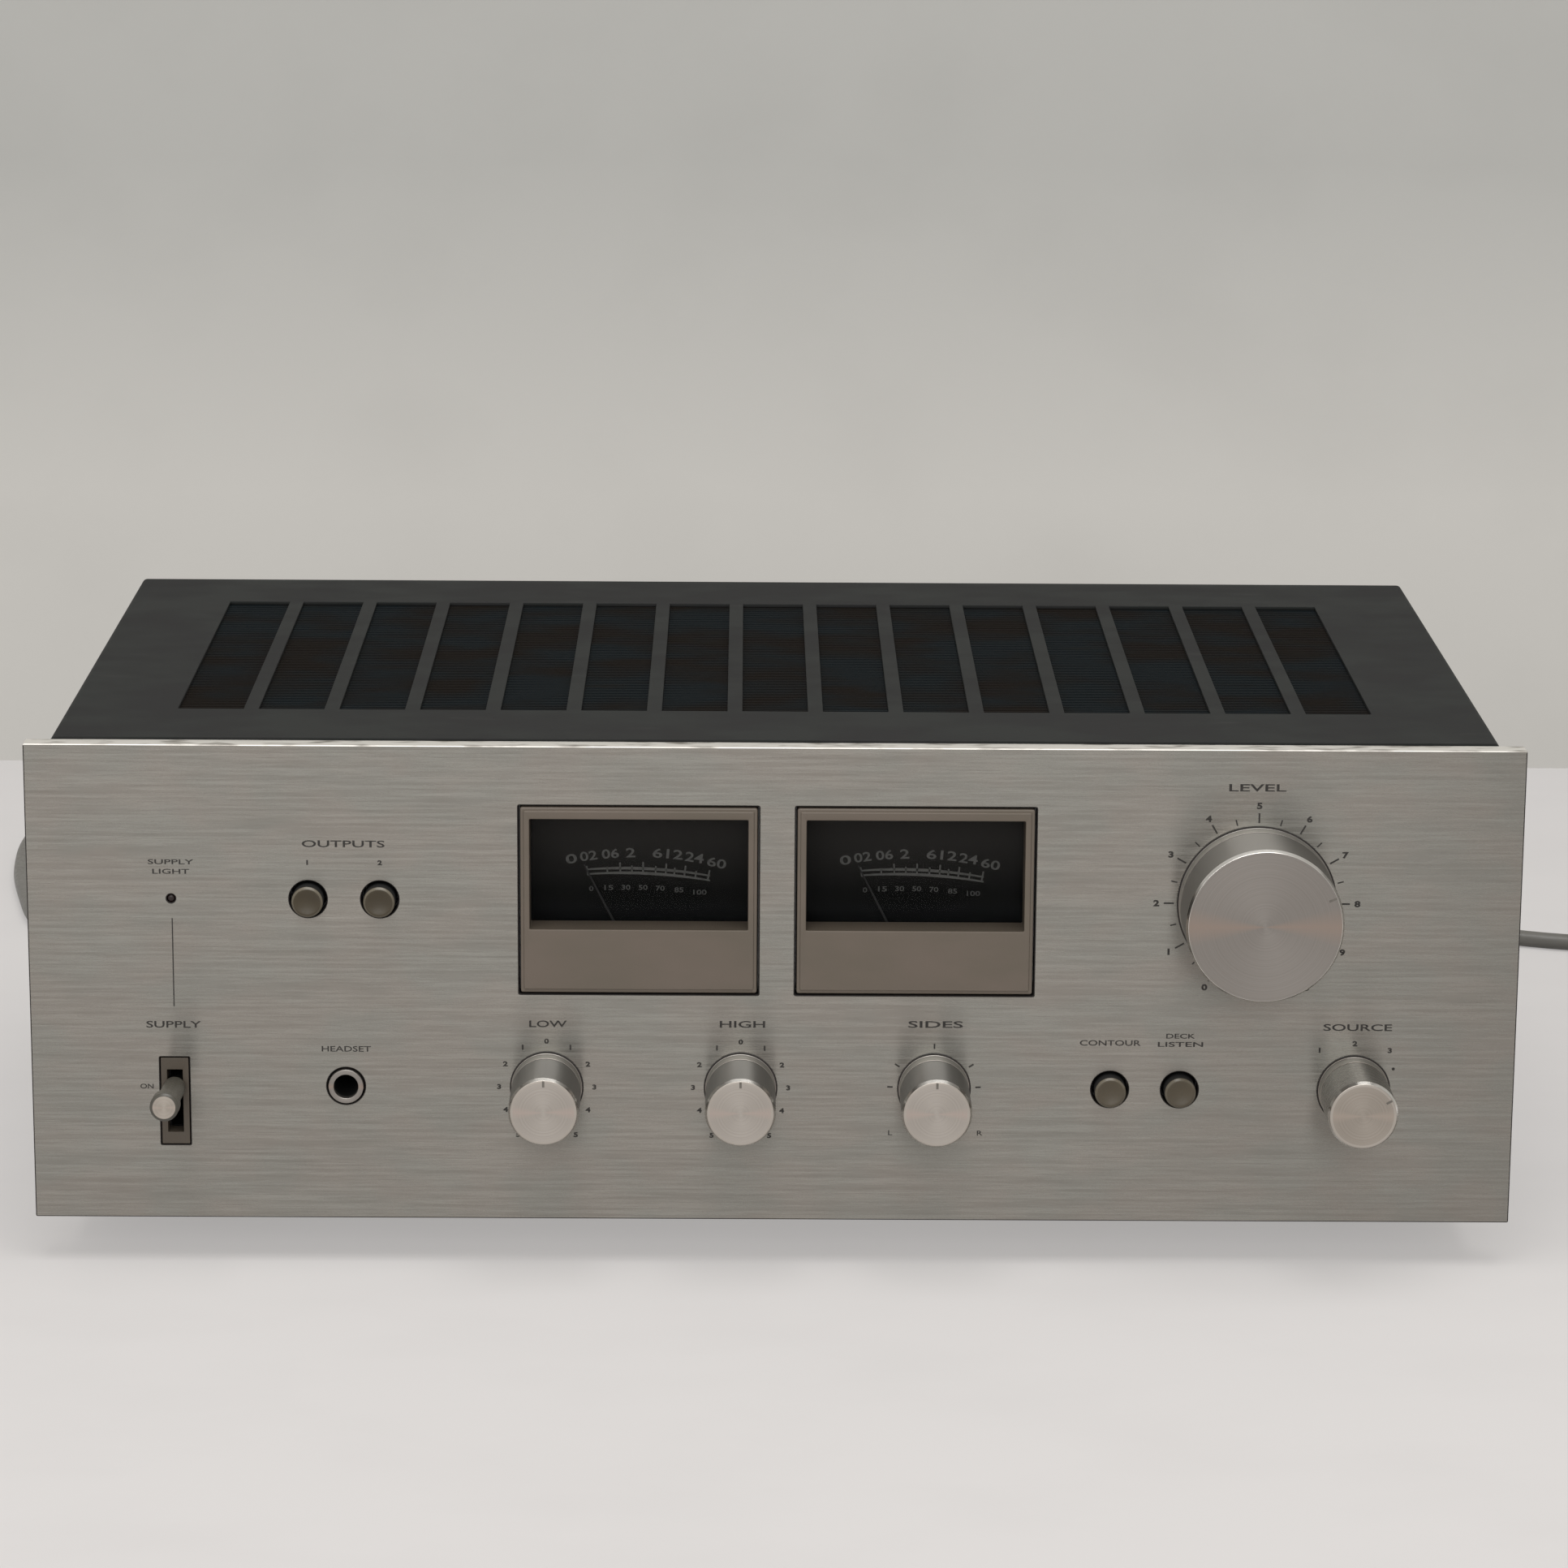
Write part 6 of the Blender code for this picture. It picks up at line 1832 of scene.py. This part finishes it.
@dataclass
class PowerControls:
    """The slot's frame, the lever that tips in it and the indicator lamp over them."""

    finishes: Finishes
    frame: Pair = (7.1, 22.9)
    slot: Pair = (4.0, 16.7)
    pivot_depth: float = 45.0
    slot_height: float = 31.3
    tilt: float = 4.9
    length: float = 70.8
    tip_radius: float = 3.65
    tip_length: float = 5.5
    stem_radius: float = 2.85
    stem_start: float = 46.6
    blade: Pair = (3.2, 4.0)
    hub_radius: float = 3.6

    def build(self) -> None:
        """Make the frame, the lever and the lamp."""
        x, height = middle("power_slot_bezel")
        shape = Shape()
        shape.plate(
            [rectangle(x, height, *self.frame, 0.15), rectangle(x, height, *self.slot, 0.2)],
            at(0.0, 0.0, 0.0), FrontPanel.thickness, self.finishes.slot_taupe, 0.15,
        )
        shape.piece("power_slot_frame", CASE, Slot.TAUPE, ["power_slot_bezel"])
        self.build_lever(x)
        x, height = middle("power_indicator")
        lamp = Shape()
        lamp.lathe(
            [(0.0, -0.1), (0.5, -0.15), (0.8, -0.3), (1.0, -0.6), (1.0, -7.3), (2.4, -7.3),
             (2.4, -14.0), (0.0, -14.0)],
            at(x, 0.0, height), self.finishes.lamp, 32, 0.08,
        )
        lamp.piece("indicator_lamp", CASE, Slot.LAMP, ["power_indicator"])
        dress(self.finishes.black, "power_switch")

    def build_lever(self, x: float) -> None:
        """Make the lever: a turned stem and tip on a flat blade with a hub.

        Args:
            x: The slot's middle.
        """
        place = at(x, self.pivot_depth, self.slot_height)
        tilt = spin(-self.tilt, "X") @ Facing.FRONT.turn
        tip, back = self.length, self.length - self.tip_length
        cap, stem, start = self.tip_radius, self.stem_radius, self.stem_start
        profile = [
            (0.0, tip - 0.12), (cap * 0.5, tip - 0.06), (cap - 0.6, tip), (cap, tip - 0.6),
            (cap, back + 0.3), (stem, back), (stem, back - 0.5), (stem - 0.25, back - 0.9),
            (stem, back - 1.3), (stem, start), (0.0, start),
        ]
        shape = Shape()
        shape.lathe(profile, place, self.finishes.lever, 64, 0.15, turn=tilt)
        shape.lathe(rod(cap - 0.7, tip, tip - 0.5), place, self.finishes.mid_knob, 48, 0.1,
                    turn=tilt)
        wide, deep = self.blade[0], start + 0.5
        front = place + tilt.to_3x3() @ Vector((0.0, 0.0, deep * MM))
        shape.plate([rectangle(0.0, 0.0, *self.blade)], front, deep, self.finishes.black,
                    turn=tilt)
        shape.lathe(rod(self.hub_radius, wide / 2, -wide / 2), place, self.finishes.black, 40,
                    0.15, turn=spin(90.0, "Y"))
        shape.piece("power_lever_turned", "power_lever", Slot.BLACK, ["power_lever"])


@dataclass
class PowerMeter:
    """One power meter: its frame, clear window, card, plain scale and needle."""

    UPPER = (("0", -17.6, 92.3, 2.9), ("02", -13.2, 93.1, 4.4), ("06", -7.6, 93.7, 4.4),
             ("2", -2.4, 94.0, 2.4), ("6", 4.5, 93.9, 2.5), ("12", 8.9, 93.6, 4.2),
             ("24", 14.0, 92.8, 4.8), ("60", 19.7, 91.4, 4.9))
    LOWER = (("0", -12.5, 84.4), ("15", -8.0, 84.7), ("30", -3.6, 84.8), ("50", 0.8, 84.8),
             ("70", 5.2, 84.6), ("85", 10.0, 84.2), ("100", 15.4, 83.6))
    TICKS = (-13.3, -8.3, -5.0, -2.05, 0.8, 4.0, 6.6, 8.8, 11.4, 14.2, 17.4)

    finishes: Finishes
    hand: str
    width: float = 60.2
    tall: float = 48.7
    gap: float = 0.42
    rear: float = 9.0
    proud: float = 0.4
    rim: float = 1.7
    window_wide: float = 55.5
    window_tall: float = 28.9
    window_low: float = 77.35
    glass: Pair = (57.4, 30.8)
    glass_front: float = 9.3
    card: Pair = (58.0, 50.0)
    card_height: float = 83.3
    card_depth: float = 14.0
    lean_share: float = 0.62
    arc_lifts: Pair = (0.0, 1.25)
    arc_radius: float = 105.1
    arc_centre: Pair = (-2.9, -16.1)
    arc_ends: Pair = (-13.6, 18.0)
    arc_steps: int = 24
    pivot_height: float = 62.95
    pivot_depth: float = 12.9
    needle_length: float = 31.5
    needle_tail: float = 4.0
    lean: float = 27.0

    def build(self) -> None:
        """Make the whole meter."""
        x, height = middle("meter_bezel_" + self.hand)
        self.build_frame(x, height)
        window = Shape()
        middle_height = self.window_low + self.window_tall / 2
        window.plate([rectangle(x, middle_height, *self.glass, 0.4)],
                     at(0.0, self.glass_front, 0.0), 1.0, self.finishes.window, 0.1)
        window.piece(f"meter_glass_{self.hand}", CASE, Slot.WINDOW, [f"meter_window_{self.hand}"])
        dress(self.finishes.black, f"meter_movement_{self.hand}")
        self.print_dial(x)
        self.build_needle(x)

    def build_frame(self, x: float, height: float) -> None:
        """Make the moulded frame with its raised rim and plain chin; the walls of its window well
        are darkened as painted shade.

        Args:
            x: The meter's middle.
            height: Its middle height.
        """
        shape = Shape()
        wide, tall, low = self.window_wide, self.window_tall, self.window_low
        opening = rectangle(x, low + tall / 2, wide, tall, 0.3)
        for inset, corner, front, deep, ease in (
            (0.0, 0.6, 0.0, self.rear, 0.4), (self.rim, 0.4, -self.proud, 1.2, 0.3),
        ):
            outline = rectangle(x, height, self.width - inset, self.tall - inset, corner)
            shape.plate([outline, opening], at(0.0, front, 0.0), deep, self.finishes.taupe, ease)
        # Painted shade: the walls of the window's well take the darker moulding.
        shape.tint(
            self.finishes.slot_taupe, lambda place, normal: abs(normal.y) < 0.1
            and low - 0.1 < place[2] < low + tall + 0.1 and abs(place[0] - x) < wide / 2 + 0.1,
        )
        shape.piece(f"meter_frame_{self.hand}", CASE, Slot.TAUPE, [f"meter_bezel_{self.hand}"])

    def print_dial(self, x: float) -> None:
        """Set the card in the well and print a plain scale on it.

        Args:
            x: The meter's middle.
        """
        shape = Shape()
        ink, front = self.finishes.dial_ink, self.card_depth
        shape.plate([rectangle(x, self.card_height, *self.card, 0.5)], at(0.0, front, 0.0),
                    0.45, self.finishes.dial)
        for text, across, height, wide in self.UPPER:
            turn = shape.turn @ spin(-across * self.lean_share)
            shape.words(text, 2.5, at(x + across, front, height), ink, wide, turn=turn)
        for number, across in enumerate(self.TICKS):
            tall = 1.7 if number % 2 else 2.6
            low = 88.9 - (across + 0.5) ** 2 * 0.0062
            turn = shape.turn @ spin(-across * self.lean_share)
            shape.plate([rectangle(0.0, tall / 2, 0.42, tall)],
                        at(x + across, front - INK_THICK / 2, low), INK_THICK, ink, turn=turn)
        for lift in self.arc_lifts:
            shape.plate([self.arc(x, lift)], at(0.0, front - INK_THICK / 2, 0.0), INK_THICK, ink)
        for text, across, height in self.LOWER:
            shape.words(text, 1.35, at(x + across, front, height), self.finishes.dial_faint,
                        1.15 * len(text))
        shape.piece(f"meter_dial_{self.hand}", CASE, Slot.BLACK)

    def arc(self, x: float, lift: float) -> Loop:
        """Give one line under the scale, thickest in its middle.

        Args:
            x: The meter's middle.
            lift: How far it stands over the lower line.

        Returns:
            Its outline.
        """
        near, far = [], []
        start, end = self.arc_ends
        for step in range(self.arc_steps + 1):
            share = step / self.arc_steps
            across = start + (end - start) * share
            rise = lift + self.arc_centre[1] + math.sqrt(
                self.arc_radius ** 2 - (across - self.arc_centre[0]) ** 2
            )
            near.append((x + across, rise))
            far.append((x + across, rise - 0.4 - 0.35 * math.sin(math.pi * share)))
        return near + far[::-1]

    def build_needle(self, x: float) -> None:
        """Make the needle: a tapered pointer and tail on a small hub.

        Args:
            x: The meter's middle.
        """
        turn = Facing.FRONT.turn @ spin(self.lean)
        side = [(0.35, -self.needle_tail), (0.35, 6.0), (0.16, self.needle_length)]
        pointer = side + [(-across, up) for across, up in reversed(side)]
        shape = Shape()
        shape.plate([pointer], at(x, self.pivot_depth - 0.2, self.pivot_height), 0.4,
                    self.finishes.needle, turn=turn)
        shape.lathe(rod(2.2, 1.0, -1.0), at(x, self.pivot_depth, self.pivot_height),
                    self.finishes.black, 40, 0.2, turn=turn)
        shape.piece(f"needle_{self.hand}", f"needle_{self.hand}", Slot.NEEDLE,
                    [f"meter_needle_{self.hand}"])


# Case

@dataclass
class TopCover:
    """The folded steel cover: fifteen columns of fine cross slots punched in its top."""

    finishes: Finishes
    half_width: float = 183.9
    top: float = 125.7
    foot: float = 2.0
    front: float = 5.8
    rear: float = 209.4
    wall: float = 1.0
    bend: float = 1.6
    edge: float = 0.2
    screw_height: float = 16.0
    screw_depths: Pair = (42.0, 168.0)
    columns: int = 15
    vent_wide: float = 17.0
    vent_pitch: float = 20.93
    vent_front: float = 39.0
    vent_length: float = 138.3
    slot_pitch: float = 2.0
    rib: float = 1.0
    rib_drop: float = 0.9
    rib_deep: float = 0.8

    def build(self) -> None:
        """Fold the sheet, open the vents, set the ribs and the screws."""
        section = self.section()
        shape = bmesh.new()
        front, rear = ([shape.verts.new(at(x, depth, height)) for x, height in section]
                       for depth in (self.front, self.rear))
        for corners in zip(front, front[1:], rear[1:], rear):
            shape.faces.new(corners)
        sheet = bpy.data.objects.new("cover", mesh_from(shape, "cover"))
        cutter = self.vent_cutter()
        modify(sheet, "SOLIDIFY", thickness=self.wall * MM, offset=-1.0,
               use_even_offset=True)
        modify(sheet, "BOOLEAN", object=cutter, solver="EXACT")
        modify(sheet, "BEVEL", width=self.edge * MM, segments=2, limit_method="ANGLE",
               angle_limit=math.radians(50.0))
        cover = Shape()
        cover.join(mesh_of(sheet), Matrix.Identity(4), self.finishes.paint)
        bpy.data.objects.remove(cutter)
        cover.piece("cover_vented", CASE, Slot.PAINT, ["top_cover"], 40.0)
        self.build_ribs()
        for name, facing, x in (("left", Facing.LEFT, -self.half_width),
                                ("right", Facing.RIGHT, self.half_width)):
            places = [(x, depth, self.screw_height) for depth in self.screw_depths]
            Screws("cover_screws_" + name, self.finishes.steel_screw, facing, places,
                   3.4, 2.0).build()

    def section(self) -> list[Pair]:
        """Give the fold from the lower left edge over the top to the lower right."""
        across, up = self.half_width - self.bend, self.top - self.bend
        left = [(-across + self.bend * math.cos(angle), up + self.bend * math.sin(angle))
                for angle in (math.pi * (1 - step / 12) for step in range(7))]
        left.insert(0, (-self.half_width, self.foot))
        return left + [(-x, height) for x, height in reversed(left)]

    def vent_cutter(self) -> bpy.types.Object:
        """Make the block that opens each column of the vents."""
        mesh = grid_of_bars(
            "vent_columns", self.columns, self.vent_pitch, 1, 1.0,
            (self.vent_wide, self.vent_length, 4.0), self.finishes.paint,
        )
        middle_depth = self.vent_front + self.vent_length / 2
        mesh.transform(Matrix.Translation(at(0.0, middle_depth, self.top)))
        return put("vent_cutter", mesh)

    def build_ribs(self) -> None:
        """Leave the narrow ribs between the slots, a little under the top, painted near black as
        painted shade.
        """
        rows = int(self.vent_length / self.slot_pitch)
        ribs = grid_of_bars(
            "vent_ribs", self.columns, self.vent_pitch, rows, self.slot_pitch,
            (self.vent_wide + 0.6, self.rib, self.rib_deep), self.finishes.rib_paint,
        )
        height = self.top - self.rib_drop - self.rib_deep / 2
        shape = Shape()
        where = Matrix.Translation(at(0.0, self.vent_front + self.vent_length / 2, height))
        shape.join(ribs, where, self.finishes.rib_paint)
        shape.piece("vent_ribs", CASE, Slot.PAINT)


@dataclass
class Inside:
    """The chassis and what it carries, seen through the vents and with the cover off."""

    finishes: Finishes

    def build(self) -> None:
        """Dress the steelwork, boards, transformer, heat sink and capacitors."""
        finishes = self.finishes
        dress(finishes.plated, "chassis_pan", "front_subpanel")
        dress(finishes.iron, "transformer_core")
        dress(finishes.tape, "transformer_winding")
        dress(finishes.board, "amplifier_board", "tone_board")
        dress(finishes.sleeve, "filter_capacitor_left", "filter_capacitor_right")
        dress(finishes.sink, "heat_sink")
        dress(finishes.black, "power_module_left", "power_module_right")
        LOG.info("inside: chassis, boards, transformer and heat sink dressed")


@dataclass
class Feet:
    """The four rubber feet, each with its screw deep in a recess."""

    finishes: Finishes
    radius: float = 12.0
    tip_radius: float = 10.5
    recess: float = 4.0
    recess_deep: float = 6.0

    def build(self) -> None:
        """Mould each foot with soft edges and set its screw in the recess."""
        for name in ("foot_front_left", "foot_front_right", "foot_rear_left", "foot_rear_right"):
            low, high = extent(name)
            x, depth = (low[0] + high[0]) / 2, (low[1] + high[1]) / 2
            top, tip, seat = high[2], low[2], low[2] + self.recess_deep
            profile = [
                (0.0, top), (self.radius, top), (self.radius, top - 2.5),
                (self.radius - 0.7, top - 3.0), (self.tip_radius, tip), (self.recess, tip),
                (self.recess, seat), (0.0, seat),
            ]
            shape = Shape(Facing.UP)
            shape.lathe(profile, at(x, depth, 0.0), self.finishes.rubber, 48, 0.7)
            head = screw_head(name + "_screw", 3.0, 1.6, self.finishes.nickel)
            where = Matrix.Translation(at(x, depth, seat)) @ Facing.DOWN.turn
            shape.join(head, where, self.finishes.nickel)
            shape.piece(name + "_moulded", CASE, Slot.RUBBER, [name])


@dataclass
class RearPanel:
    """The rear: sockets with coloured rings, screw terminals, the ground nut and its marks."""

    finishes: Finishes
    sheet_rear: float = 208.4
    screws: tuple[Pair, ...] = ((-172.0, 118.0), (0.0, 118.0), (172.0, 118.0), (-172.0, 40.0),
                                (172.0, 40.0))
    jack_plate: float = 210.3
    jack_rear: float = 216.9
    jack_columns: tuple[float, ...] = (152.0, 132.0, 112.0, 92.0, 72.0)
    jack_rows: tuple[float, ...] = (74.0, 96.0)
    hand_x: float = 58.0
    number_height: float = 109.0
    terminal_pitch: float = 19.0
    terminal_base: float = 215.9
    bay: float = 17.2
    pole_height: float = 76.5
    poles: tuple[float, ...] = (-68.5, -49.5, -30.5, -11.5)

    def build(self) -> None:
        """Make the rear's pieces."""
        dress(self.finishes.plated, "rear_panel")
        self.build_jacks()
        self.build_terminals()
        self.build_ground()
        self.print_marks()
        places = [(x, self.sheet_rear, height) for x, height in self.screws]
        Screws("rear_screws", self.finishes.steel_screw, Facing.REAR, places, 2.8, 1.7).build()

    def outline(self, node: str, corner: float) -> Loop:
        """Give a rear part's own outline, as seen from behind."""
        low, high = extent(node)
        x, height = middle(node)
        return rectangle(-x, height, high[0] - low[0], high[2] - low[2], corner)

    def build_jacks(self) -> None:
        """Make the plate of sockets: nickel shells over white and red rings."""
        finishes, shape = self.finishes, Shape(Facing.REAR)
        shape.plate([self.outline("input_jack_board", 1.5)], at(0.0, self.jack_plate, 0.0), 1.6,
                    finishes.black, 0.25)
        reach = self.jack_rear - self.jack_plate
        pocket = [(1.95, -2.0), (1.95, -5.8), (0.0, -5.8), (0.0, -5.0), (1.5, -5.0), (1.5, -2.0)]
        for x in self.jack_columns:
            for height in self.jack_rows:
                ring = finishes.red if height == self.jack_rows[0] else finishes.white
                for profile, finish, sides, ease in (
                    (tube(4.2, 3.5, reach, -6.0), finishes.nickel, 40, 0.15),
                    (tube(5.6, 4.15, 0.9, -0.2), finishes.nickel, 40, 0.2),
                    (tube(3.55, 1.9, reach - 0.7, -5.9), ring, 40, 0.15),
                    (pocket, finishes.deep, 24, 0.0),
                ):
                    shape.lathe(profile, at(x, self.jack_plate, height), finish, sides, ease, True)
        shape.piece("input_sockets", CASE, Slot.BLACK, ["input_jack_board"])

    def build_terminals(self) -> None:
        """Make the terminal block: walled bays, clamp plates and slotted screws."""
        shape = Shape(Facing.REAR)
        finishes, base = self.finishes, self.terminal_base
        low, high = extent("speaker_terminal_block")
        x, height = middle("speaker_terminal_block")
        outline = self.outline("speaker_terminal_block", 1.2)
        places = [(x + (column - 1.5) * self.terminal_pitch,
                   height + (row - 0.5) * self.terminal_pitch)
                  for column in range(4) for row in range(2)]
        bays = [rectangle(-across, up, self.bay, self.bay, 0.8) for across, up in places]
        shape.plate([outline], at(0.0, base, 0.0), base - low[1], finishes.black, 0.3)
        shape.plate([outline, *bays], at(0.0, high[1], 0.0), high[1] - base + 0.5,
                    finishes.black, 0.25)
        clamp, slot = rectangle(0.0, 0.0, 9.5, 9.5, 0.8), rectangle(0.0, 0.0, 6.4, 0.9)
        head = [(0.0, 2.4), (3.2, 2.4), (3.6, 1.9), (3.6, 0.6), (0.0, 0.6)]
        for number, (across, up) in enumerate(places):
            shape.plate([clamp], at(across, base + 0.7, up), 0.8, finishes.nickel, 0.15)
            shape.lathe(head, at(across, base, up), finishes.nickel, 36, 0.25)
            turn = shape.turn @ spin(18.0 + 41.0 * number)
            # Painted shade: each slot is a thin black plate on the head, not a cut, standing for
            # the shade inside the slot.
            shape.plate([slot], at(across, base + 2.45, up), 0.3, finishes.deep, turn=turn)
        shape.piece("speaker_terminals", CASE, Slot.BLACK, ["speaker_terminal_block"])

    def build_ground(self) -> None:
        """Make the knurled ground nut."""
        low, high = extent("ground_terminal")
        x, height = middle("ground_terminal")
        nickel, reach = self.finishes.nickel, high[1] - low[1]
        shape = Shape(Facing.REAR)
        place = at(x, low[1], height)
        shape.lathe([(1.9, reach), (4.1, reach), (4.1, 0.0), (1.9, 0.0)], place, nickel, 48,
                    0.3, True)
        ribs = ring_of_bars("nut_knurl", 30, 4.1, 0.0, 12.0, (0.5, 0.7, reach - 2.0), nickel)
        lift = Matrix.Translation((0.0, 0.0, reach / 2 * MM))
        shape.join(ribs, Matrix.Translation(place) @ shape.turn @ lift, nickel)
        shape.piece("ground_nut_knurled", "ground_nut", Slot.NICKEL, ["ground_terminal"])

    def print_marks(self) -> None:
        """Print plain numbers and L and R beside the sockets and the terminals."""
        marks = [(str(number + 1), 2.6, x, self.number_height, 0.0)
                 for number, x in enumerate(self.jack_columns)]
        marks += [(text, 2.6, self.hand_x, height, 0.0)
                  for text, height in zip("RL", self.jack_rows)]
        marks += [("+" if number % 2 else "-", 2.4, x, self.pole_height, 2.4 if number % 2 else 2.2)
                  for number, x in enumerate(self.poles)]
        shape = Shape(Facing.REAR)
        for text, tall, x, height, wide in marks:
            place = at(x, self.sheet_rear, height)
            shape.words(text, tall, place, self.finishes.panel_ink, wide)
        shape.piece("rear_printing", CASE, Slot.BLACK)


def main() -> None:
    """Build the scene: camera and cord first, then the object from front to rear."""
    logging.basicConfig(level=logging.INFO, format="%(message)s")
    Studio().build()
    finishes = Finishes()
    for part in (MainsCord, FrontPanel, Controls, Buttons, PhonesSocket, PowerControls):
        part(finishes).build()
    for hand in HANDS:
        PowerMeter(finishes, hand).build()
    for part in (TopCover, Inside, Feet, RearPanel):
        part(finishes).build()


if __name__ == "__main__":
    main()
